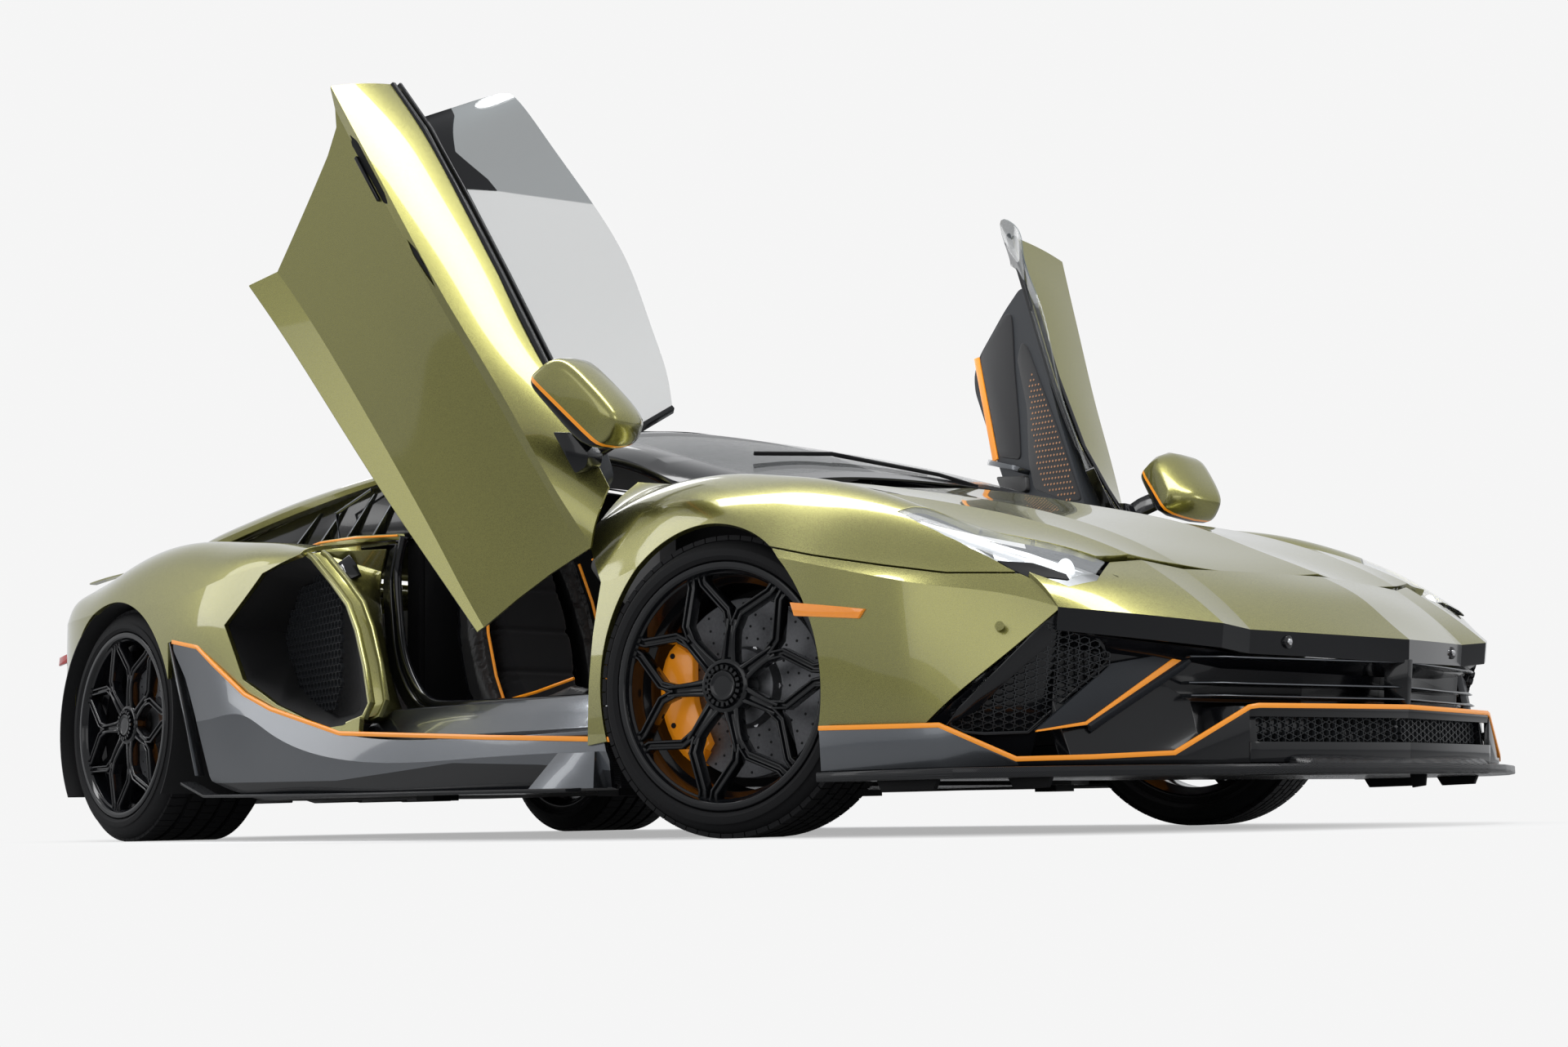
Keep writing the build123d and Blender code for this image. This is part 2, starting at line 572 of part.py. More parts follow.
tail_face = [(-2268, 744), (-2352, 560), (TAIL, 300), (TAIL, -300), (-2352, -560), (-2268, -744)]
tail_inner = [(-2266, -700), (-2326, -560), (-2351, -300), (-2351, 300), (-2326, 560), (-2266, 700)]
EXHAUST = (0, 510)
tail_upper = plan_prism(tail_face + tail_inner, 560, 884)
tail_lower = plan_prism(tail_face + tail_inner, 300, 562)
tail_deck = plan_prism([(-1796, -556), (-2330, -556), (-2330, 556), (-1796, 556)], 864, 876)
light_hole = plan_prism([(-2400, -720), (-2200, -720), (-2200, -330), (-2400, -330)], 700, 770)
with BuildPart() as plate_holes:
    with BuildSketch(Plane.YZ.offset(TAIL - 20)):
        with GridLocations(178, 1, 2, 1):
            Circle(3)
    extrude(amount=100)
plate_tool = plate_holes.part.moved(Location((0, 0, 640)))
with BuildPart() as exhaust_hole:
    with BuildSketch(Plane.YZ.offset(TAIL - 20)):
        with Locations(EXHAUST):
            RegularPolygon(125, 6)
    extrude(amount=120)
tail = joined(tail_upper, tail_lower, tail_deck)
save(cut(tail, both_sides(light_hole), plate_tool, exhaust_hole.part), "rear_bumper")
light_block = kept(plan_prism(tail_face + tail_inner, 704, 766),
                   plan_prism([(-2400, -716), (-2200, -716), (-2200, -334), (-2400, -334)], 690, 780))
save(both_sides(light_block), "tail_lights")
with BuildPart() as exhaust:
    with BuildSketch(Plane.YZ.offset(TAIL + 4)):
        with Locations((-52, 510), (52, 510)):
            Circle(50)
            Circle(44, mode=Mode.SUBTRACT)
    extrude(amount=240)
    with BuildSketch(Plane.YZ.offset(TAIL + 244)):
        with Locations(EXHAUST):
            Rectangle(230, 100)
    extrude(amount=60)
save(exhaust.part, "exhaust")
DIFFUSER_PROFILE = [(-1800, 128), (-1800, 140), (-2362, 300), (-2362, 288)]
with BuildPart() as diffuser:
    add(side_prism(DIFFUSER_PROFILE, -620, 620))
    fin = side_prism([(-1830, 140), (-1830, 112), (-2350, 150), (-2362, 296), (-2300, 282)], -4, 4)
    for fin_y in (-520, -330, -140, 140, 330, 520):
        add(fin.moved(Location((0, fin_y, 0))))
save(diffuser.part, "diffuser")

# ---------------------------------------------------------------- tub, cabin and running gear

JACK_PAD_Z = 100
FLOOR_Z = 118
FLOOR_TOP = 150
SILL = [(-740, FLOOR_Z), (-862, FLOOR_Z), (-872, 300), (-860, 345), (-760, 345), (-740, 300)]
sill = loft_solid([(-60, SILL), (898, SILL)])
tub_floor = block(-270, 900, -745, 745, FLOOR_Z, FLOOR_TOP)
tunnel = block(-268, 780, -130, 130, FLOOR_TOP - 5, 380)
save(joined(tub_floor, tunnel, both_sides(sill)), "tub")
rear_bulkhead = block(-330, -270, -655, 655, FLOOR_Z, 850)
front_bulkhead = block(925, 960, -560, 560, FLOOR_Z, 760)
front_post = side_prism([(900, FLOOR_Z), (935, FLOOR_Z), (960, 560), (960, 770), (900, 770)], -738, -555)
save(joined(rear_bulkhead, front_bulkhead, both_sides(front_post)), "bulkheads")
front_rail = block(960, 2180, -430, -370, 190, 290)
crash_beam = block(2180, 2215, -560, 560, 200, 300)
TOW_EYE = (-300, 250)
TOW_EYE_RADIUS = 8
with BuildPart() as tow_boss:
    with BuildSketch(Plane.YZ.offset(2214)):
        with Locations(TOW_EYE):
            Circle(16)
    extrude(amount=46)
tow_thread = cylinder_x(TOW_EYE, TOW_EYE_RADIUS, 2220, 2300)
rear_rail = block(-2150, -330, -430, -370, 285, 345)
rear_beam = block(-2255, -2215, -560, 560, 370, 432)
rear_beam_leg = block(-2215, -2150, -430, -370, 285, 430)
front_tower = block(1250, 1420, -470, -400, 285, 640)
rear_tower = block(-1460, -1280, -470, -410, 295, 760)
jack_pad_front = block(780, 860, -840, -760, JACK_PAD_Z, FLOOR_Z)
jack_pad_rear = block(0, 80, -840, -760, JACK_PAD_Z, FLOOR_Z)
right_half = [front_rail, rear_rail, rear_beam_leg, front_tower, rear_tower]
subframes = joined(crash_beam, rear_beam, tow_boss.part, *[both_sides(shape) for shape in right_half])
save(cut(subframes, tow_thread), "subframes")
save(both_sides(joined(jack_pad_front, jack_pad_rear)), "jack_pads")

LUGGAGE = (1480, 2000, 350, 330, 610)


def open_box(x_from, x_to, half, z_from, z_to, wall):
    """Box with no lid."""
    outer = block(x_from, x_to, -half, half, z_from, z_to)
    return cut(outer, block(x_from + wall, x_to - wall, wall - half, half - wall, z_from + wall, z_to + 10))


save(open_box(*LUGGAGE, 12), "luggage_tub")
save(block(-1240, -420, -330, 330, 180, 700), "engine_block")
TRAY = 8
front_tray = block(975, 2020, -540, 540, 140, 140 + TRAY)
rear_tray = block(-1780, -345, -640, 640, 122, 122 + TRAY)
save(joined(front_tray, rear_tray), "underbody")

SEAT_BASE = [(-60, 190), (400, 190), (440, 330), (420, 360), (40, 290), (-60, 300)]
SEAT_BACK = [(-60, 190), (60, 300), (-110, 640), (-170, 900), (-250, 900), (-235, 600), (-130, 190)]
SEAT_MIDDLE = -395
SEAT_HALF = 225
seat_base = side_prism(SEAT_BASE, SEAT_MIDDLE - SEAT_HALF, SEAT_MIDDLE + SEAT_HALF)
seat_back = side_prism(SEAT_BACK, SEAT_MIDDLE - SEAT_HALF, SEAT_MIDDLE + SEAT_HALF)
save(both_sides(joined(seat_base, seat_back)), "seats")
DASH = [(600, 640), (560, 690), (640, 760), (895, 772), (895, 420), (790, 420)]
save(side_prism(DASH, -700, 700), "dashboard")
with BuildPart() as steering_wheel:
    with BuildSketch(Plane.XZ):
        with Locations((165, 0)):
            Circle(15)
    revolve(axis=Axis.Z)
    with BuildSketch(Plane.XY.offset(-12)):
        Rectangle(330, 26)
        Circle(60)
    extrude(amount=24)
    with BuildSketch(Plane.XY.offset(-60)):
        Circle(22)
    extrude(amount=50)
save(steering_wheel.part.moved(Location((490, 395, 700), (0, -68, 0))), "steering_wheel")

with BuildPart() as arms:
    for axle_x, hub_z, inner, outer in ((FRONT_AXLE, 330, 430, 700), (REAR_AXLE, 355, 430, 640)):
        for dz in (-115, 105):
            for dx in (-170, 170):
                add(plan_prism([(axle_x + dx - 14, -inner), (axle_x + dx + 14, -inner), (axle_x + 20, -outer),
                                (axle_x - 20, -outer)], hub_z + dz - 12, hub_z + dz + 12))
save(both_sides(arms.part), "suspension_arms")
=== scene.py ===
"""Finishes and detailed shells of a mid-engined two-seater with scissor doors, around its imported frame."""
import json
import logging
import math
from dataclasses import dataclass, field
from enum import Enum
from typing import Callable, Iterable, Optional, Sequence

import bmesh
import bpy
import numpy as np
from mathutils import Matrix, Vector

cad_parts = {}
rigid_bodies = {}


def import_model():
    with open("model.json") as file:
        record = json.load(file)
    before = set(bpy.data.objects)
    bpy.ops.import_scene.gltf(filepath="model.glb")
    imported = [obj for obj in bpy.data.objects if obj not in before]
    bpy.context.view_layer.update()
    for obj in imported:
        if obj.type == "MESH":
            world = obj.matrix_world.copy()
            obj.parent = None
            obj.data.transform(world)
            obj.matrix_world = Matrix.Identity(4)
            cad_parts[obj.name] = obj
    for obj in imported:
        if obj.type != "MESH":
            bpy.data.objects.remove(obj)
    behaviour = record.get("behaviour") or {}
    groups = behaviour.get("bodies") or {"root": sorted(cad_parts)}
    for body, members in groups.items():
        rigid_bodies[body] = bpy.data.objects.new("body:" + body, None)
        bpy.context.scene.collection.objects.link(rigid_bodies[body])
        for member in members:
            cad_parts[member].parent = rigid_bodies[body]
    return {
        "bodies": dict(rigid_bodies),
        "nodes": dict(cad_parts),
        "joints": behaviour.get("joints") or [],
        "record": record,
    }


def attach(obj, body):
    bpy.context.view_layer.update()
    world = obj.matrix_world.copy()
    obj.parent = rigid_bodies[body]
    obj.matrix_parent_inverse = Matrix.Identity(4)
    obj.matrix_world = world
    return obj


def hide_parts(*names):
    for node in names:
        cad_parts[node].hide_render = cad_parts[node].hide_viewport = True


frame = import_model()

logging.basicConfig(level=logging.INFO, format="%(message)s")
LOG = logging.getLogger("car")

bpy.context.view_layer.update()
MM = 0.001
DATUM = -57.0  # stations are measured from a line this far behind the middle, in millimetres
FRONT_AXLE = 1334.0
REAR_AXLE = -1366.0
NOSE = 2491.0
TAIL = -2377.0
STEP = 13.0  # usual size of a skin's cells
EPS = 0.02  # a point this near a cut counts as on its upper side
DOOR_OPEN = math.radians(58)
DOOR_HINGE = (1074.0, -899.0, 681.0)
DOOR_AXIS = (-0.019, 0.937, 0.348)

Row = tuple[float, Sequence[tuple[float, float]]]
Outline = Sequence[tuple[float, float]]
Point = tuple[float, float, float]
Quad = tuple[float, float, float, float]


class View(Enum):
    """A flat view in which an outline is drawn, as the two axes that it keeps."""

    SIDE = (0, 2)
    PLAN = (0, 1)
    END = (1, 2)


class Body(Enum):
    """The bodies that visible pieces ride on."""

    ROOT = "root"
    HOOD = "hood"
    COVER = "engine_cover"
    WING = "rear_wing"
    DOOR_RIGHT = "door_right"
    DOOR_LEFT = "door_left"


def metres(points: np.ndarray) -> np.ndarray:
    """Turn datum millimetres into the frame's metres."""
    moved = np.asarray(points, float) * MM
    moved[..., 0] += DATUM * MM
    return moved


def unit(vectors: np.ndarray) -> np.ndarray:
    """Vectors at length one."""
    length = np.linalg.norm(vectors, axis=-1, keepdims=True)
    return vectors / np.maximum(length, 1e-9)


def spline(knots: Sequence[float], values: np.ndarray, at: np.ndarray, fair: float = 0.0) -> np.ndarray:
    """Run a natural cubic through a table, faired if asked.

    Args:
        knots: increasing stations.
        values: one entry for each station.
        at: where the curve is wanted.
        fair: how far bumps are smoothed out; 0 keeps every value.

    Returns:
        The curve's values at the wanted stations.
    """
    knots = np.asarray(knots, float)
    values = np.asarray(values, float)
    count = len(knots)
    flat = values.reshape(count, -1)
    step = np.diff(knots)
    bend = np.zeros_like(flat)
    if count > 2:
        pull = np.zeros((count, count - 2))
        stiff = np.zeros((count - 2, count - 2))
        for k in range(count - 2):
            pull[k:k + 3, k] = (1 / step[k], -1 / step[k] - 1 / step[k + 1], 1 / step[k + 1])
            stiff[k, k] = (step[k] + step[k + 1]) / 3
            if k:
                stiff[k - 1, k] = stiff[k, k - 1] = step[k] / 6
        bend[1:-1] = np.linalg.solve(stiff + fair * pull.T @ pull, pull.T @ flat)
        flat = flat - fair * pull @ bend[1:-1]
    k = np.clip(np.searchsorted(knots, at) - 1, 0, count - 2)
    after = ((at - knots[k]) / step[k])[:, None]
    before = 1 - after
    curve = before * flat[k] + after * flat[k + 1]
    width = step[k][:, None]
    curve += ((before ** 3 - before) * bend[k] + (after ** 3 - after) * bend[k + 1]) * width ** 2 / 6
    return curve.reshape(len(at), *values.shape[1:])


def rounded(outline: Outline, radius: float, steps: int = 5) -> list[tuple[float, float]]:
    """Round an outline's corners with short arcs.

    Args:
        outline: corners in order, closed.
        radius: setback along the sides, cut down at short sides.
        steps: points in each arc.

    Returns:
        The rounded outline.
    """
    corners = [np.array(p, float) for p in outline]
    points = []
    for before, here, after in zip(corners[-1:] + corners[:-1], corners, corners[1:] + corners[:1]):
        back, ahead = before - here, after - here
        reach = min(radius, np.linalg.norm(back) * 0.45, np.linalg.norm(ahead) * 0.45)
        start = here + back / np.linalg.norm(back) * reach
        stop = here + ahead / np.linalg.norm(ahead) * reach
        for t in np.linspace(0, 1, steps):
            bent = start * (1 - t) ** 2 + here * 2 * t * (1 - t) + stop * t ** 2
            points.append((float(bent[0]), float(bent[1])))
    return points


def within(points: np.ndarray, outline: Outline) -> np.ndarray:
    """Which flat points lie inside a closed outline."""
    inside = np.zeros(len(points), bool)
    x, y = points[:, 0], points[:, 1]
    corners = list(outline)
    for (x0, y0), (x1, y1) in zip(corners, corners[1:] + corners[:1]):
        if y0 != y1:
            inside ^= ((y0 > y) != (y1 > y)) & (x < (x1 - x0) * (y - y0) / (y1 - y0) + x0)
    return inside


@dataclass
class Sheet:
    """A skin of triangles with a normal and a finish number of its own at every corner."""

    points: np.ndarray
    faces: np.ndarray
    normals: np.ndarray
    tags: np.ndarray

    def cut(self, value: Callable[[np.ndarray], np.ndarray],
            near: Optional[Callable[[np.ndarray], np.ndarray]] = None) -> "Sheet":
        """Split triangles along a zero line without taking any away.

        Args:
            value: signed distance at points.
            near: which crossing points may be used.

        Returns:
            The split sheet.
        """
        side = value(self.points)
        side = np.where(np.abs(side) < EPS, EPS, side)
        faces = self.faces
        pairs = np.stack([faces, np.roll(faces, -1, 1)], 2).reshape(-1, 2)
        ordered = np.sort(pairs, 1)
        edges, place = np.unique(ordered, axis=0, return_inverse=True)
        low, high = side[edges[:, 0]], side[edges[:, 1]]
        split = low * high < 0
        share = np.where(split, low / np.where(split, low - high, 1), 0)[:, None]
        middle = self.points[edges[:, 0]] * (1 - share) + self.points[edges[:, 1]] * share
        if near is not None:
            split &= near(middle)
        number = np.full(len(edges), -1)
        number[split] = np.arange(split.sum()) + len(self.points)
        points = np.vstack([self.points, middle[split]])
        place = place.reshape(-1, 3)
        added = number[place]
        weight = share[place][:, :, 0]
        weight = np.where(faces < np.roll(faces, -1, 1), weight, 1 - weight)
        count = (added >= 0).sum(1)
        whole = count == 0
        new_faces, new_normals, new_tags = [faces[whole]], [self.normals[whole]], [self.tags[whole]]
        for wanted in (1, 2):
            for turn in range(3):
                order = [(turn + k) % 3 for k in range(3)]
                hit = added[:, order] >= 0
                chosen = (count == wanted) & (hit[:, 0] & ~hit[:, 1] if wanted == 2 else hit[:, 0])
                if wanted == 2:
                    chosen &= hit[:, 2]
                if not chosen.any():
                    continue
                f, n, t = faces[chosen][:, order], self.normals[chosen][:, order], self.tags[chosen]
                a, w = added[chosen][:, order], weight[chosen][:, order][:, :, None]
                p, pn = a[:, 0], unit(n[:, 0] * (1 - w[:, 0]) + n[:, 1] * w[:, 0])
                if wanted == 1:
                    shapes = [((f[:, 0], n[:, 0]), (p, pn), (f[:, 2], n[:, 2])),
                              ((p, pn), (f[:, 1], n[:, 1]), (f[:, 2], n[:, 2]))]
                else:
                    q, qn = a[:, 2], unit(n[:, 2] * (1 - w[:, 2]) + n[:, 0] * w[:, 2])
                    shapes = [((f[:, 0], n[:, 0]), (p, pn), (q, qn)),
                              ((p, pn), (f[:, 1], n[:, 1]), (f[:, 2], n[:, 2])),
                              ((p, pn), (f[:, 2], n[:, 2]), (q, qn))]
                for shape in shapes:
                    new_faces.append(np.stack([corner[0] for corner in shape], 1))
                    new_normals.append(np.stack([corner[1] for corner in shape], 1))
                    new_tags.append(t)
        return Sheet(points, np.vstack(new_faces), np.vstack(new_normals), np.concatenate(new_tags))

    def pick(self, chosen: np.ndarray) -> "Sheet":
        """Only the chosen triangles."""
        return Sheet(self.points, self.faces[chosen], self.normals[chosen], self.tags[chosen])

    def split(self, outline: Outline, view: View) -> tuple["Sheet", np.ndarray]:
        """Cut along a closed outline.

        Args:
            outline: corners in the view.
            view: the flat view that the outline is drawn in.

        Returns:
            The split sheet and which of its triangles lie inside.
        """
        a, b = view.value
        sheet = self
        corners = list(outline)
        for (a0, b0), (a1, b1) in zip(corners, corners[1:] + corners[:1]):
            run = math.hypot(a1 - a0, b1 - b0)
            if run < 1e-6:
                continue
            da, db = (a1 - a0) / run, (b1 - b0) / run
            margin = 2.5 * STEP

            def across(p: np.ndarray) -> np.ndarray:
                return (p[:, b] - b0) * da - (p[:, a] - a0) * db

            def beside(p: np.ndarray) -> np.ndarray:
                along = (p[:, a] - a0) * da + (p[:, b] - b0) * db
                return (along > -margin) & (along < run + margin)

            sheet = sheet.cut(across, beside)
        middle = sheet.points[sheet.faces].mean(1)
        return sheet, within(middle[:, [a, b]], outline)

    def inside(self, outline: Outline, view: View = View.SIDE) -> "Sheet":
        """The part within an outline."""
        sheet, chosen = self.split(outline, view)
        return sheet.pick(chosen)

    def outside(self, outline: Outline, view: View = View.SIDE) -> "Sheet":
        """The part beyond an outline."""
        sheet, chosen = self.split(outline, view)
        return sheet.pick(~chosen)

    def painted(self, outline: Outline, tag: int, view: View = View.SIDE) -> "Sheet":
        """The same sheet with another finish within an outline."""
        sheet, chosen = self.split(outline, view)
        tags = sheet.tags.copy()
        tags[chosen] = tag
        return Sheet(sheet.points, sheet.faces, sheet.normals, tags)

    def off_circle(self, centre: tuple[float, float], radius: float, view: View = View.SIDE) -> "Sheet":
        """The part outside a circle."""
        a, b = view.value

        def clear(p: np.ndarray) -> np.ndarray:
            return np.hypot(p[:, a] - centre[0], p[:, b] - centre[1]) - radius

        sheet = self.cut(clear)
        return sheet.pick(clear(sheet.points[sheet.faces].mean(1)) > 0)

    def mirrored(self) -> "Sheet":
        """The same skin on the car's other side."""
        flip = np.array([1.0, -1.0, 1.0])
        return Sheet(self.points * flip, self.faces[:, ::-1], self.normals[:, ::-1] * flip, self.tags)

    def lifted(self, amount: float) -> "Sheet":
        """The same skin moved out along its normals."""
        total = np.zeros_like(self.points)
        for corner in range(3):
            np.add.at(total, self.faces[:, corner], self.normals[:, corner])
        return Sheet(self.points + unit(total) * amount, self.faces, self.normals, self.tags)

    def joined(self, *others: "Sheet") -> "Sheet":
        """This sheet and others as one."""
        sheets = [self, *others]
        starts = np.cumsum([0] + [len(s.points) for s in sheets])
        return Sheet(np.vstack([s.points for s in sheets]),
                     np.vstack([s.faces + k for s, k in zip(sheets, starts)]),
                     np.vstack([s.normals for s in sheets]), np.concatenate([s.tags for s in sheets]))

    def welded(self) -> "Sheet":
        """The same skin with coincident points merged and empty triangles dropped."""
        rounded_points = np.round(self.points / 0.05).astype(np.int64)
        _, first, place = np.unique(rounded_points, axis=0, return_index=True, return_inverse=True)
        faces = place.reshape(-1)[self.faces]
        sound = (faces[:, 0] != faces[:, 1]) & (faces[:, 1] != faces[:, 2]) & (faces[:, 2] != faces[:, 0])
        used, faces_flat = np.unique(faces[sound], return_inverse=True)
        return Sheet(self.points[first][used], faces_flat.reshape(-1, 3), self.normals[sound],
                     self.tags[sound])

    def walled(self, wall: float, lip: float = 1.2) -> "Sheet":
        """Close the skin into a panel with an inner face and a rounded rim.

        Args:
            wall: thickness inwards.
            lip: radius of the rim's outer edge.

        Returns:
            A closed sheet.
        """
        skin = self.welded()
        count = len(skin.points)
        normal = np.zeros_like(skin.points)
        for corner in range(3):
            np.add.at(normal, skin.faces[:, corner], skin.normals[:, corner])
        normal = unit(normal)
        edges = np.concatenate([skin.faces[:, [k, (k + 1) % 3]] for k in range(3)])
        owner = np.tile(skin.tags, 3)
        key = edges[:, 0] * count + edges[:, 1]
        back = edges[:, 1] * count + edges[:, 0]
        open_edges = ~np.isin(key, back)
        rim, rim_tags = edges[open_edges], owner[open_edges]
        outward = np.zeros_like(skin.points)
        run = unit(skin.points[rim[:, 1]] - skin.points[rim[:, 0]])
        for corner in range(2):
            np.add.at(outward, rim[:, corner], np.cross(run, normal[rim[:, corner]]))
        outward = unit(outward)
        on_rim = np.zeros(count, bool)
        on_rim[rim.ravel()] = True
        shift = np.where(on_rim[:, None], outward * lip, 0)
        ring = skin.points + shift - normal * lip
        inner = skin.points + shift - normal * wall
        points = np.vstack([skin.points, inner, ring])
        a, b = rim[:, 0], rim[:, 1]
        bands = []
        for (p, q), (np_, nq) in ((((a, b), (a + 2 * count, b + 2 * count)), ((normal[a], normal[b]),
            (outward[a], outward[b]))),
                                  (((a + 2 * count, b + 2 * count), (a + count, b + count)),
                                   ((outward[a], outward[b]), (outward[a], outward[b])))):
            bands.append((np.stack([p[0], q[0], q[1]], 1), np.stack([np_[0], nq[0], nq[1]], 1)))
            bands.append((np.stack([p[0], q[1], p[1]], 1), np.stack([np_[0], nq[1], np_[1]], 1)))
        faces = np.vstack([skin.faces, skin.faces[:, ::-1] + count] + [f for f, _ in bands])
        normals = np.vstack([skin.normals, -skin.normals[:, ::-1]] + [n for _, n in bands])
        tags = np.concatenate([skin.tags, skin.tags] + [rim_tags] * len(bands))
        return Sheet(points, faces, normals, tags)


def skin(rows: Sequence[Row], creases: Sequence[int] = (), along: int = 0, step: float = STEP,
         fair: float = 2e4, crowns: Optional[dict[int, float]] = None, outward: Point = (0.0, -1.0, 0.3),
         side: float = -1.0, cells: Optional[Sequence[int]] = None) -> Sheet:
    """Loft a smooth skin through a table of sections.

    Args:
        rows: for each station, the section's points from the middle of the car outwards.
        creases: columns at which the skin folds.
        along: axis of the stations, 0 for X with (half width, z) points, 1 for Y with (x, z) points.
        step: size of the cells.
        fair: smoothing along the stations.
        crowns: rise of a strip between two creases above its own chord, by the strip's number.
        outward: a direction that the skin faces.
        side: -1 for the right of the car, 1 for the left.
        cells: how many cells each strip is wide, where skins must share an edge.

    Returns:
        The skin as an open sheet.
    """
    rows = sorted(rows)
    stations = np.array([row[0] for row in rows])
    table = np.array([row[1] for row in rows], float)
    at = np.linspace(stations[0], stations[-1], max(2, round(abs(stations[-1] - stations[0]) / step) + 1))
    columns = spline(stations, table, at, fair)
    bounds = [0, *creases, table.shape[1] - 1]
    grids, normals = [], []
    for strip, (first, last) in enumerate(zip(bounds, bounds[1:])):
        part = columns[:, first:last + 1]
        runs = np.linalg.norm(np.diff(part, axis=1), axis=2).mean(0)
        knots = np.concatenate([[0], np.cumsum(runs)])
        t = np.linspace(0, knots[-1], cells[strip] + 1 if cells else max(2, round(knots[-1] / step) + 1))
        flat = spline(knots, part.transpose(1, 0, 2), t).transpose(1, 0, 2)
        rise = (crowns or {}).get(strip, 0.0)
        if rise:
            chord = unit(part[:, -1] - part[:, 0])
            share = t / knots[-1]
            bow = 4 * rise * share * (1 - share)
            across = np.stack([-chord[:, 1], chord[:, 0]], 1)
            flat = flat + across[:, None] * bow[None, :, None]
        where = np.broadcast_to(at[:, None], flat.shape[:2])
        if along == 0:
            grid = np.stack([where, side * flat[:, :, 0], flat[:, :, 1]], 2)
        else:
            grid = np.stack([flat[:, :, 0], side * where, flat[:, :, 1]], 2)
        grids.append(grid)
        normals.append(unit(np.cross(np.gradient(grid, axis=0), np.gradient(grid, axis=1))))
    width = [grid.shape[1] for grid in grids]
    starts = np.cumsum([0] + [w - 1 for w in width])
    total = starts[-1] + 1
    points = np.zeros((len(at), total, 3))
    for grid, start in zip(grids, starts):
        points[:, start:start + grid.shape[1]] = grid
    faces, corners = [], []
    i = np.arange(len(at) - 1)[:, None]
    for normal, start, w in zip(normals, starts, width):
        j = np.arange(w - 1)[None]
        cells = [(i, j), (i + 1, j), (i + 1, j + 1), (i, j + 1)]
        number = [np.broadcast_to(a * total + start + b, (len(at) - 1, w - 1)).ravel() for a, b in cells]
        bent = [normal[np.broadcast_to(a, (len(at) - 1, w - 1)), np.broadcast_to(b,
            (len(at) - 1, w - 1))].reshape(-1, 3)
                for a, b in cells]
        for triple in ((0, 1, 2), (0, 2, 3)):
            faces.append(np.stack([number[k] for k in triple], 1))
            corners.append(np.stack([bent[k] for k in triple], 1))
    faces_all, corners_all = np.vstack(faces), np.vstack(corners)
    if (corners_all.reshape(-1, 3) @ np.array(outward)).mean() < 0:
        faces_all, corners_all = faces_all[:, ::-1], -corners_all[:, ::-1]
    return Sheet(points.reshape(-1, 3), faces_all, corners_all, np.zeros(len(faces_all), int))


def full_width(rows: Sequence[Row]) -> list[Row]:
    """Sections given for one half, from the middle outwards, run across the whole width."""
    return [(x, [(-y, z) for y, z in points[::-1] if y > 0] + list(points)) for x, points in rows]


def turn_sheet(sheet: Sheet, matrix: Matrix) -> Sheet:
    """Move a sheet by a matrix in datum millimetres."""
    turn = np.array(matrix.to_3x3())
    shift = np.array(matrix.translation)
    return Sheet(sheet.points @ turn.T + shift, sheet.faces, sheet.normals @ turn.T, sheet.tags)


